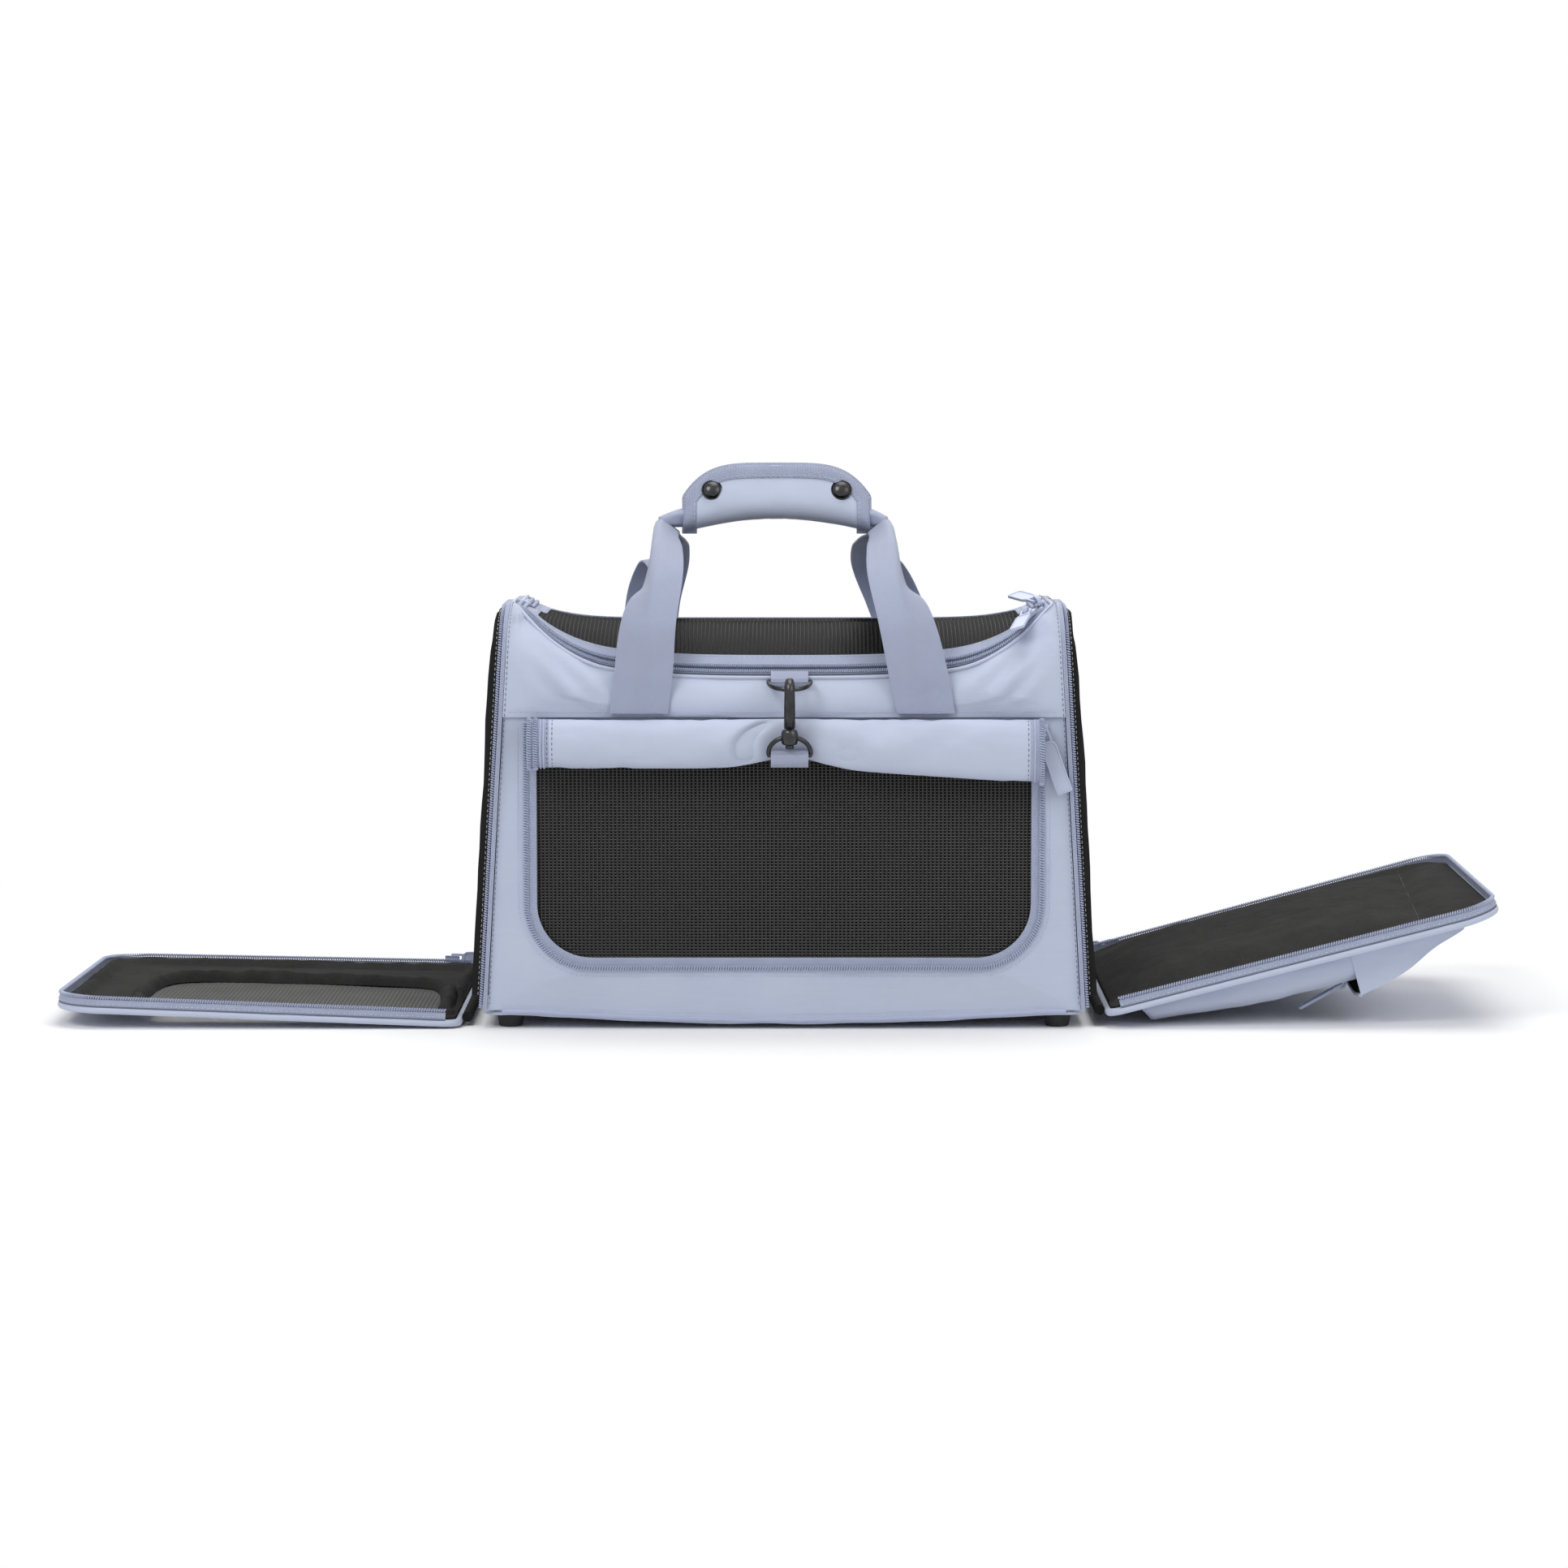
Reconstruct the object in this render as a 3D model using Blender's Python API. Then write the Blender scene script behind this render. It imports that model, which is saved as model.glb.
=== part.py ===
"""Soft-sided pet carrier with two drop-down end doors, a mesh lid and a rolled-up front curtain.

The body stands on four rubber feet. +X is the long way, -Y is the window side, +Z is up, and the
sizes are in metres. Both end doors are modelled unzipped and let down, as the carrier is shown.
"""

import math

import bmesh
import bpy
from mathutils import Matrix, Vector

# The clip and the curtain stand out in front, so the body stands a little behind the origin.
BODY_X = 0.0051
BODY_Y = 0.0131

# Feet, base and walls
FOOT_HEIGHT = 0.0080
FOOT_TOP_RADIUS = 0.0102
FOOT_X = 0.1985
FOOT_Y = 0.1200
BASE_BOTTOM = 0.0083
BASE_TOP = 0.0133
SAG_DEPTH = 0.0064
SAG_STATIONS = (0.1860, 0.1300, 0.0650, 0.0)
WALL_BOTTOM = 0.0136
WALL_TOP = 0.2285
WALL_OUTER = 0.1386
WALL_THICK = 0.0026
END_X_BOTTOM = 0.2190
END_X_TOP = 0.2020
END_TOP = 0.3060
END_CAP = 0.0042
GAP = 0.0003

# Roof shell: a shoulder that is tight at the stiff end arches and slack in the middle
ROOF_HALF = 0.1412
ROOF_THICK = 0.0022
ROOF_MID_TOP = 0.2905
HEM = 0.2262
SHOULDER_DEPTH = (0.1150, 0.0360)
SHOULDER_RISE = (0.0620, 0.0360)
REAR_RADIUS = 0.0390

# Lid, seen from above
LID_LEFT = -0.1920
LID_RIGHT = 0.1900
LID_FRONT = -0.1260
LID_REAR = 0.1120
LID_CORNER = (0.0700, 0.0360)
LID_GAP = 0.0020
LID_TAPE = 0.0110
LID_AXIS_Z = 0.3075
COIL_WIDTH = 0.0026
COIL_HEIGHT = 0.0016
COIL_LIFT = 0.0005

# Front window
WINDOW_HALF = 0.1840
WINDOW_BOTTOM = 0.0460
WINDOW_TOP = 0.2225
WINDOW_RADIUS = 0.0450
WINDOW_COIL = (0.0040, 0.0020)
NET_THICK = 0.0012
WINDOW_NET_GAPS = (13, 7)

# End doors, in door coordinates: s from the hinge to the tip, v across, n to the inside
LEFT_HINGE = (-0.2300, 0.0065)
RIGHT_HINGE = (0.2292, 0.0115)
DOOR_START = 0.0050
DOOR_LENGTH = 0.2985
DOOR_HALF = 0.1392
DOOR_CORNER = 0.0340
DOOR_FACE = -0.0060
DOOR_RIM = 0.0042
DOOR_COIL_TOP = 0.0070
LEFT_TILT = math.radians(2.2)
RIGHT_TILT = math.radians(15.3)
DOOR_WINDOW = (0.0200, 0.2320, 0.1050)
DOOR_NET_GAPS = (10, 6)
LID_NET_GAPS = (9, 4)
POCKET = (0.0300, 0.1940, 0.1220)
FLAP_AXIS = (0.2680, -0.0080)

# Handle
GRIP_HALF = 0.0690
GRIP_X = -0.0054
NECKS = {-1: (0.0790, 0.0871), 1: (0.0765, 0.0822)}
RIGHT_STRAP_SHIFT = (-0.0020, -0.0034, -0.0050, -0.0088, -0.0120, -0.0148, -0.0156, -0.0159)
STRAP_WIDTH = 0.0420
STRAP_FOLD = math.radians(150)
STRAP_THICK = 0.0022
STUD_RADIUS = 0.0076

# Clip
CLIP_X = 0.0040
HOOK_Y = -0.1630
RING_WIRE = 0.0017

# Colours, roughness and metallic values
FABRIC = ((0.490, 0.543, 0.704, 1.0), 0.55, 0.0)
WEBBING = ((0.400, 0.447, 0.610, 1.0), 0.70, 0.0)
BLACK_MESH = ((0.018, 0.018, 0.018, 1.0), 0.38, 0.0)
LINING = ((0.028, 0.028, 0.028, 1.0), 0.85, 0.0)
ZIP_TAPE = ((0.423, 0.472, 0.640, 1.0), 0.60, 0.0)
PULL_PLASTIC = ((0.470, 0.520, 0.690, 1.0), 0.40, 0.0)
GUNMETAL = ((0.075, 0.072, 0.070, 1.0), 0.28, 1.0)
RUBBER = ((0.012, 0.012, 0.012, 1.0), 0.75, 0.0)
SPRING_STEEL = ((0.350, 0.350, 0.360, 1.0), 0.35, 1.0)


def clear_scene():
    """Removes whatever the opened file holds."""
    for old in list(bpy.data.objects):
        bpy.data.objects.remove(old, do_unlink=True)


def empty(name, parent=None, location=(0, 0, 0), rotation=(0, 0, 0), matrix=None):
    """An axis or a frame: an empty, placed by its location and rotation or by a matrix."""
    obj = bpy.data.objects.new(name, None)
    bpy.context.scene.collection.objects.link(obj)
    obj.parent = parent
    obj.location = location
    obj.rotation_euler = rotation
    if matrix is not None:
        obj.matrix_local = matrix
    return obj


def finish_of(name, look):
    """A Principled material with the piece's colour, roughness and metallic value."""
    color, rough, metal = look
    made = bpy.data.materials.new(name)
    made.use_nodes = True
    shader = made.node_tree.nodes["Principled BSDF"]
    shader.inputs["Base Color"].default_value = color
    shader.inputs["Roughness"].default_value = rough
    shader.inputs["Metallic"].default_value = metal
    made.diffuse_color = color
    return made


def solid(name, verts, faces, look, parent, smooth=35, matrix=None):
    """A mesh object from points and faces, with its normals turned out."""
    mesh = bpy.data.meshes.new(name)
    mesh.from_pydata([tuple(v) for v in verts], [], faces)
    made = bmesh.new()
    made.from_mesh(mesh)
    bmesh.ops.recalc_face_normals(made, faces=made.faces)
    if made.calc_volume(signed=True) < 0:
        bmesh.ops.reverse_faces(made, faces=made.faces)
    made.to_mesh(mesh)
    made.free()
    mesh.shade_smooth()
    mesh.set_sharp_from_angle(angle=math.radians(smooth))
    obj = bpy.data.objects.new(name, mesh)
    bpy.context.scene.collection.objects.link(obj)
    obj.parent = parent
    if matrix is not None:
        obj.matrix_local = matrix
    if look is not None:
        mesh.materials.append(finish_of(name, look))
    return obj


def helper(name, verts, faces, parent, matrix=None):
    """A cutter or a piece to be joined: it isn't rendered."""
    obj = solid(name, verts, faces, None, parent, matrix=matrix)
    obj.hide_render = True
    obj.display_type = "WIRE"
    return obj


def combine(obj, other, operation="DIFFERENCE"):
    """A Boolean of two objects, kept as a modifier."""
    step = obj.modifiers.new(f"{operation.title()} {other.name}", "BOOLEAN")
    step.operation = operation
    step.object = other
    return obj


def loft(rings, loop=False):
    """Quads between rings of equal count, closed by a cap at each end or round into a loop."""
    count = len(rings[0])
    verts = [point for ring in rings for point in ring]
    faces = []
    pairs = len(rings) if loop else len(rings) - 1
    for i in range(pairs):
        a = i * count
        b = ((i + 1) % len(rings)) * count
        for j in range(count):
            k = (j + 1) % count
            faces.append((a + j, a + k, b + k, b + j))
    if not loop:
        faces.append(tuple(range(count)))
        faces.append(tuple(range(len(verts) - count, len(verts))))
    return verts, faces


def prism(outline, low, high, place):
    """An outline carried from one height to another; place turns (a, b, height) into a point."""
    rings = [[place(a, b, height) for a, b in outline] for height in (low, high)]
    return loft(rings)


def sweep(path, section, up, loop=False):
    """A section carried along a path. up(i) is the direction of the section's second coordinate."""
    rings = []
    last = len(path) - 1
    for i, point in enumerate(path):
        before = path[i - 1] if i or loop else path[0]
        after = path[(i + 1) % len(path)] if i < last or loop else path[last]
        ahead = (after - before).normalized()
        normal = up(i)
        normal = (normal - ahead * normal.dot(ahead)).normalized()
        side = ahead.cross(normal)
        shape = section(i) if callable(section) else section
        rings.append([point + side * a + normal * b for a, b in shape])
    return loft(rings, loop)


def circle(radius, count, start=0.0):
    """Points of a circle, for a section."""
    turns = [start + 2 * math.pi * i / count for i in range(count)]
    return [(radius * math.cos(t), radius * math.sin(t)) for t in turns]


def box_section(half, low, high):
    """A rectangular section, across and upwards."""
    return [(-half, low), (half, low), (half, high), (-half, high)]


def arc(center, radii, start, end, count):
    """Points of an elliptic arc in a plane, both ends included; angles in degrees."""
    points = []
    for i in range(count + 1):
        t = math.radians(start + (end - start) * i / count)
        points.append((center[0] + radii[0] * math.cos(t), center[1] + radii[1] * math.sin(t)))
    return points


def smooth_line(points, count):
    """Points along a Catmull-Rom curve through the given ones."""
    ends = [points[0] * 2 - points[1]] + list(points) + [points[-1] * 2 - points[-2]]
    out = []
    for i in range(count + 1):
        whole = i * (len(points) - 1) / count
        k = min(int(whole), len(points) - 2)
        t = whole - k
        a, b, c, d = ends[k : k + 4]
        out.append(
            0.5 * (2 * b + (c - a) * t + (2 * a - 5 * b + 4 * c - d) * t**2 + (3 * b - a - 3 * c + d) * t**3)
        )
    return out


def turned(profile, count):
    """Rings of a turned piece from (radius, height) points, along the local Z axis."""
    return [[Vector((a, b, z)) for a, b in circle(r, count)] for r, z in profile]


def mix(pair, t):
    """A value between a pair of them."""
    return pair[0] + (pair[1] - pair[0]) * t


# Body surfaces


def sag(x):
    """How far the base's middle hangs below its ends."""
    return SAG_DEPTH * max(0.0, 1 - (x / SAG_STATIONS[0]) ** 2)


def end_x(z):
    """Half the body's length at a height: the ends lean inwards."""
    return END_X_BOTTOM - (z - WALL_BOTTOM) * (END_X_BOTTOM - END_X_TOP) / (END_TOP - WALL_BOTTOM)


def shoulder(u):
    """Crown height, and the depth and rise of the front shoulder, at a station u from -1 to 1."""
    crown = ROOF_MID_TOP + (END_TOP - ROOF_MID_TOP) * abs(u) ** 6
    slack = abs(u) ** 3
    return crown, mix(SHOULDER_DEPTH, slack), mix(SHOULDER_RISE, slack)


def roof_height(u, y):
    """Height of the roof's outer face."""
    crown, depth, rise = shoulder(u)
    if y > 0:
        depth = rise = REAR_RADIUS
    part = (abs(y) - (ROOF_HALF - depth)) / depth
    if part <= 0:
        return crown
    return crown - rise + rise * math.sqrt(max(0.0, 1 - part * part))


def roof_point(x, y):
    """The point of the roof's outer face over (x, y), and its normal."""

    def height(a, b):
        z = END_TOP
        for _ in range(4):
            z = roof_height(a / (end_x(z) - END_CAP), b)
        return z

    step = 0.0005
    across = (height(x + step, y) - height(x - step, y)) / (2 * step)
    along = (height(x, y + step) - height(x, y - step)) / (2 * step)
    normal = Vector((-across, -along, 1)).normalized()
    return Vector((x, y, height(x, y))), normal


def roof_profile(u, steps):
    """Outer points of one section of the roof from the front hem to the rear hem, with their normals."""
    crown, depth, rise = shoulder(u)
    points = [((-ROOF_HALF, HEM), (-1, 0))]
    for i in range(steps + 1):
        t = math.radians(90 * i / steps)
        place = (-(ROOF_HALF - depth) - depth * math.cos(t), crown - rise + rise * math.sin(t))
        points.append((place, (-math.cos(t) / depth, math.sin(t) / rise)))
    start = -(ROOF_HALF - depth)
    end = ROOF_HALF - REAR_RADIUS
    for i in range(1, 3):
        points.append(((start + (end - start) * i / 3, crown), (0, 1)))
    for i in range(6):
        t = math.radians(90 - 18 * i)
        place = (end + REAR_RADIUS * math.cos(t), crown - REAR_RADIUS + REAR_RADIUS * math.sin(t))
        points.append((place, (math.cos(t), math.sin(t))))
    points.append(((ROOF_HALF, HEM), (1, 0)))
    return points


def roof_shell(stations=16, steps=7):
    """The whole roof as one curved sheet, before its opening is cut."""
    rings = []
    for i in range(stations + 1):
        u = -math.cos(math.pi * i / stations)
        outer = []
        inner = []
        for (y, z), (ny, nz) in roof_profile(u, steps):
            size = math.hypot(ny, nz)
            outer.append(Vector((u * (end_x(z) - END_CAP - GAP), y, z)))
            yi = y - ROOF_THICK * ny / size
            zi = z - ROOF_THICK * nz / size
            inner.append(Vector((u * (end_x(z) - END_CAP - GAP), yi, zi)))
        rings.append(outer + inner[::-1])
    return loft(rings)


def lid_outline(inset):
    """The lid's outline seen from above, drawn in by inset: sweeping front corners, small rear ones."""
    left = LID_LEFT + inset
    right = LID_RIGHT - inset
    front = LID_FRONT + inset
    rear = LID_REAR - inset
    rx = LID_CORNER[0] - inset
    ry = LID_CORNER[1] - inset
    small = 0.012
    points = arc((left + rx, front + ry), (rx, ry), 180, 270, 8)
    points += [(left + rx + (right - left - 2 * rx) * i / 4, front) for i in range(1, 4)]
    points += arc((right - rx, front + ry), (rx, ry), 270, 360, 8)
    points += [(right, 0.0)]
    points += arc((right - small, rear - small), (small, small), 0, 90, 3)
    points += [(right + (left - right) * i / 4, rear) for i in range(1, 4)]
    points += arc((left + small, rear - small), (small, small), 90, 180, 3)
    points += [(left, 0.0)]
    return points


def lid_zip_path(inset):
    """Points and normals of a coil along the lid's left, front and right sides."""
    rows = []
    outline = lid_outline(inset)
    start = outline[0]
    ahead = [p for p in outline if p[1] < start[1] + 0.0001]
    rear = LID_REAR - 0.016
    ys = [rear + (start[1] - rear) * i / 7 for i in range(7)]
    plan = [(start[0], y) for y in ys] + ahead + [(ahead[-1][0], y) for y in reversed(ys)]
    for x, y in plan:
        rows.append(roof_point(x, y))
    return rows


def arch_line(radial, bottom, steps=8):
    """Points in (y, z) of the end arch, drawn in by radial, from the front foot over to the rear."""
    half = ROOF_HALF - radial
    crown = END_TOP - radial
    front = SHOULDER_DEPTH[1] - radial
    rear = REAR_RADIUS - radial
    line = [(-half, bottom), (-half, bottom + (crown - front - bottom) * 0.5)]
    line += arc((-half + front, crown - front), (front, front), 180, 90, steps)
    line += [(0.0, crown)]
    line += arc((half - rear, crown - rear), (rear, rear), 90, 0, steps)
    line += [(half, bottom + (crown - front - bottom) * 0.5), (half, bottom)]
    return line


def end_strip(side, outer, inner, near, far, bottom):
    """An arch-shaped strip at one end: radial from outer to inner, from near to far off the end plane."""
    rings = []
    for (ya, za), (yb, zb) in zip(arch_line(outer, bottom), arch_line(inner, bottom)):
        ring = []
        for y, z, off in ((ya, za, near), (yb, zb, near), (yb, zb, far), (ya, za, far)):
            ring.append(Vector((side * (end_x(z) + off), y, z)))
        rings.append(ring)
    return loft(rings)


# Doors


def door_outline(grow, corner=6):
    """Door outline in (s, v), grown outwards."""
    s0 = DOOR_START - grow
    s1 = DOOR_LENGTH + grow
    w = DOOR_HALF + grow
    big = DOOR_CORNER + grow
    small = 0.010 + grow
    points = arc((s1 - big, w - big), (big, big), 0, 90, corner)
    points += [((s0 + s1) / 2, w)]
    points += arc((s0 + small, w - small), (small, small), 90, 180, 3)
    points += arc((s0 + small, -w + small), (small, small), 180, 270, 3)
    points += [((s0 + s1) / 2, -w)]
    points += arc((s1 - big, -w + big), (big, big), 270, 360, corner)
    return points


def window_outline(grow, corner=6):
    """Outline of the door's mesh window, with as many points as the door's own outline."""
    s0, s1, w = DOOR_WINDOW
    s0, s1, w = s0 - grow, s1 + grow, w + grow
    r = 0.014 + grow
    points = arc((s1 - r, w - r), (r, r), 0, 90, corner)
    points += [((s0 + s1) / 2, w)]
    points += arc((s0 + r, w - r), (r, r), 90, 180, 3)
    points += arc((s0 + r, -w + r), (r, r), 180, 270, 3)
    points += [((s0 + s1) / 2, -w)]
    points += arc((s1 - r, -w + r), (r, r), 270, 360, corner)
    return points


def level(outline, n):
    """An outline in (s, v) at a height n."""
    return [Vector((s, v, n)) for s, v in outline]


def door_width(s, inset):
    """Half the door's width at s, drawn in by inset."""
    w = DOOR_HALF - inset
    for radius, center, sign in (
        (DOOR_CORNER - inset, DOOR_LENGTH - DOOR_CORNER, 1),
        (0.010 - min(inset, 0.007), DOOR_START + 0.010, -1),
    ):
        over = min(sign * (s - center), radius)
        if over > 0:
            w = DOOR_HALF - inset - radius + math.sqrt(max(0.0, radius**2 - over**2))
    return w


def pad(s_line, width, v_steps, low, height):
    """A pad between a flat side at low and a shaped one: height(s, share of half-width)."""
    rows = []
    for s in s_line:
        rows.append([(s, width(s) * (2 * j / v_steps - 1), 2 * j / v_steps - 1) for j in range(v_steps + 1)])
    top = [[Vector((s, v, height(s, b))) for s, v, b in row] for row in rows]
    flat = [[Vector((s, v, low)) for s, v, b in row] for row in rows]
    rings = [t + f[::-1] for t, f in zip(top, flat)]
    verts, faces = loft(rings)
    return verts, faces


def net(cells, low, high, margin, bar, place):
    """A flat net: a plate from low to high, in two coordinates, with a grid of square-cut gaps."""
    lines = []
    for axis in (0, 1):
        count = cells[axis]
        start = low[axis] + margin
        pitch = (high[axis] - margin - start + bar) / count
        line = [low[axis]]
        for i in range(count):
            line += [start + pitch * i, start + pitch * (i + 1) - bar]
        lines.append(line + [high[axis]])
    xs, ys = lines
    columns = len(ys)

    def at(i, j, side):
        return (side * len(xs) + i) * columns + j

    verts = [place(x, y, side) for side in (0, 1) for x in xs for y in ys]
    faces = []

    def gap(i, j):
        inside = 0 <= i < len(xs) - 1 and 0 <= j < len(ys) - 1
        return not inside or (i % 2 == 1 and j % 2 == 1)

    for i in range(len(xs) - 1):
        for j in range(len(ys) - 1):
            if gap(i, j):
                continue
            for side in (0, 1):
                faces.append((at(i, j, side), at(i + 1, j, side), at(i + 1, j + 1, side), at(i, j + 1, side)))
            for di, dj, a, b in (
                (-1, 0, (0, 0), (0, 1)),
                (1, 0, (1, 0), (1, 1)),
                (0, -1, (0, 0), (1, 0)),
                (0, 1, (0, 1), (1, 1)),
            ):
                if gap(i + di, j + dj):
                    p = (i + a[0], j + a[1])
                    q = (i + b[0], j + b[1])
                    faces.append((at(*p, 0), at(*q, 0), at(*q, 1), at(*p, 1)))
    return verts, faces


# Zip sliders and pulls


def slider(name, parent, place, coil, turn=0.0, low=GAP):
    """A zip slider astride a coil: a channel with a bridge on top that holds the pull.

    Its local X runs along the zip and its Z stands off the fabric. turn sets the bridge round.
    """
    half = coil[0] / 2 + 0.0005
    top = low + coil[1] + 0.0004
    wall = 0.0008
    roof = 0.0013
    shape = [
        (-half - wall, low),
        (-half, low),
        (-half, top),
        (half, top),
        (half, low),
        (half + wall, low),
        (half + wall, top + roof * 0.55),
        (half + wall * 0.3, top + roof),
        (-half - wall * 0.3, top + roof),
        (-half - wall, top + roof * 0.55),
    ]
    rings = []
    for x, squeeze in ((-0.0056, 0.80), (-0.0045, 1.0), (0.0045, 1.0), (0.0056, 0.86)):
        drawn = mix((squeeze, 1.0), 0.5)
        rings.append([Vector((x, a if abs(a) <= half else a * drawn, b)) for a, b in shape])
    body = solid(name, *loft(rings), PULL_PLASTIC, parent, matrix=place)
    inside = 0.0038
    outer = arc((0, top + roof - 0.0004), (0.0040, inside + 0.0020), 180, 0, 10)
    inner = arc((0, top + roof - 0.0004), (0.0024, inside + 0.0004), 0, 180, 10)
    rows = outer + inner
    spin = Matrix.Rotation(turn, 4, "Z")
    sides = [[spin @ Vector((x, y, z)) for x, z in rows] for y in (-0.0015, 0.0015)]
    bridge = helper(f"{name}_bridge", *loft(sides), parent, matrix=place)
    combine(body, bridge, "UNION")
    return top + roof + 0.0018


def pull(name, parent, length=0.0440, width=0.0118, thick=0.0022):
    """A moulded pull: a bar at the origin, two arms round an eye, and a flat tab along local -X."""
    eye = -0.0070
    half = width / 2
    outline = [
        (0.0012, 0.0041),
        (-0.0060, 0.0041),
        (-0.0110, half - 0.0004),
        (-length + 0.0006, half),
        (-length, half - 0.0006),
    ]
    outline += [(x, -y) for x, y in reversed(outline)]
    rings = []
    top = thick / 2
    for z, draw in ((-top, 0.0005), (-top + 0.0005, 0), (top - 0.0005, 0), (top, 0.0005)):
        ring = []
        for x, y in outline:
            ring.append(Vector((x + (draw if x < -0.02 else -draw), y - math.copysign(draw, y), z)))
        rings.append(ring)
    tab = solid(name, *loft(rings), PULL_PLASTIC, parent)
    hole = [(-0.0009, 0.0024), (-0.0009, -0.0024), (eye, -0.0024), (eye, 0.0024)]
    cutter = helper(f"{name}_eye", *prism(hole, -0.01, 0.01, lambda a, b, h: Vector((a, b, h))), parent)
    return combine(tab, cutter)


def frame_at(point, along, normal):
    """A matrix at a point, with X along one direction and Z near another."""
    x = along.normalized()
    z = (normal - x * normal.dot(x)).normalized()
    y = z.cross(x)
    made = Matrix((x, y, z)).transposed().to_4x4()
    made.translation = point
    return made


def build_base(body):
    """Base plate that sags between the feet, the feet, and the padded floor mat."""
    plate = arc((0.2040, 0.1242), (0.0144, 0.0144), 0, 90, 5)
    plate += [(-x, y) for x, y in reversed(plate)]
    plate += [(x, -y) for x, y in reversed(plate)]
    soft = 0.0016
    stations = [(0.2184, 0.1242, soft)]
    stations += [(x, y, 0.0) for x, y in arc((0.2040, 0.1242), (0.0144, 0.0144), 12, 90, 3)]
    stations += [(x, 0.1386, 0.0) for x in SAG_STATIONS if x >= 0]
    stations += [(-x, y, trim) for x, y, trim in reversed(stations[:-1])]
    rings = []
    for x, half, trim in stations:
        low = BASE_BOTTOM - sag(x)
        high = BASE_TOP - sag(x)
        side = [(half - soft, low + trim * 0.6), (half, low + soft)]
        side += [(half, high - soft), (half - soft, high - trim * 0.6)]
        ring = [*side, *((-y, z) for y, z in reversed(side))]
        rings.append([Vector((x, y, z)) for y, z in ring])
    solid("base_tray", *loft(rings), FABRIC, body)
    foot = [
        (0.0079, 0.0),
        (0.0086, 0.0006),
        (FOOT_TOP_RADIUS - 0.0004, FOOT_HEIGHT - 0.0012),
        (FOOT_TOP_RADIUS, FOOT_HEIGHT),
    ]
    for name, sx, sy in (("fl", -1, -1), ("fr", 1, -1), ("rl", -1, 1), ("rr", 1, 1)):
        spot = Matrix.Translation((sx * FOOT_X, sy * FOOT_Y, 0))
        solid(f"foot_{name}", *loft(turned(foot, 20)), RUBBER, body, matrix=spot)
    rings = []
    crown = ((0.003, 0.0), (0.0, 0.003), (0.0006, 0.007), (0.005, 0.0105), (0.030, 0.0122), (0.075, 0.0128))
    for inset, z in crown:
        ring = []
        for x, y in plate:
            px = x * (0.197 - inset) / 0.2184
            py = y * (0.124 - inset) / 0.1386
            drawn = 0.004 * (1 - (x / 0.2184) ** 2) * (1 if inset < 0.02 else 0)
            ring.append(Vector((px, py - math.copysign(drawn, y), WALL_BOTTOM + GAP + z)))
        rings.append(ring)
    solid("floor_mat", *loft(rings), LINING, body, smooth=50)


def build_walls(body):
    """Front panel with its window, net and zip, and the plain back panel."""
    low = end_x(WALL_BOTTOM) - END_CAP - GAP
    high = end_x(WALL_TOP) - END_CAP - GAP
    wall = [(-low, WALL_BOTTOM), *((-x, WALL_BOTTOM - sag(x)) for x in SAG_STATIONS)]
    wall += [(x, WALL_BOTTOM - sag(x)) for x in reversed(SAG_STATIONS[:-1])]
    wall += [(low, WALL_BOTTOM), (high, WALL_TOP), (-high, WALL_TOP)]

    def front(x, z, depth):
        return Vector((x, -WALL_OUTER + depth, z))

    def back(x, z, depth):
        return Vector((x, WALL_OUTER - depth, z))

    panel = solid("front_panel", *prism(wall, 0, WALL_THICK, front), FABRIC, body)
    w, r = WINDOW_HALF, WINDOW_RADIUS
    hole = [(w, WINDOW_TOP), (-w, WINDOW_TOP)]
    hole += arc((-w + r, WINDOW_BOTTOM + r), (r, r), 180, 270, 8)
    hole += arc((w - r, WINDOW_BOTTOM + r), (r, r), 270, 360, 8)
    combine(panel, helper("window_cutter", *prism(hole, -0.01, 0.01, front), body))
    solid("back_panel", *prism(wall, 0, WALL_THICK, back), FABRIC, body)

    def weave(x, z, side):
        return Vector((x, -WALL_OUTER + WALL_THICK + GAP + side * NET_THICK, z))

    reach = (w + 0.005, WINDOW_TOP + 0.004)
    cells = net(WINDOW_NET_GAPS, (-reach[0], WINDOW_BOTTOM - 0.005), reach, 0.008, 0.0040, weave)
    solid("window_net", *cells, BLACK_MESH, body)
    line = [(w + 0.002, WINDOW_TOP), (w + 0.002, 0.16)]
    line += arc((w - r, WINDOW_BOTTOM + r), (r + 0.002, r + 0.002), 0, -90, 8)
    line += arc((-w + r, WINDOW_BOTTOM + r), (r + 0.002, r + 0.002), 270, 180, 8)
    line += [(-w - 0.002, 0.16), (-w - 0.002, WINDOW_TOP)]
    path = [Vector((x, -WALL_OUTER, z)) for x, z in line]
    section = box_section(WINDOW_COIL[0] / 2, GAP, GAP + WINDOW_COIL[1])
    solid("window_zip", *sweep(path, section, lambda i: Vector((0, -1, 0))), ZIP_TAPE, body)


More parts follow.
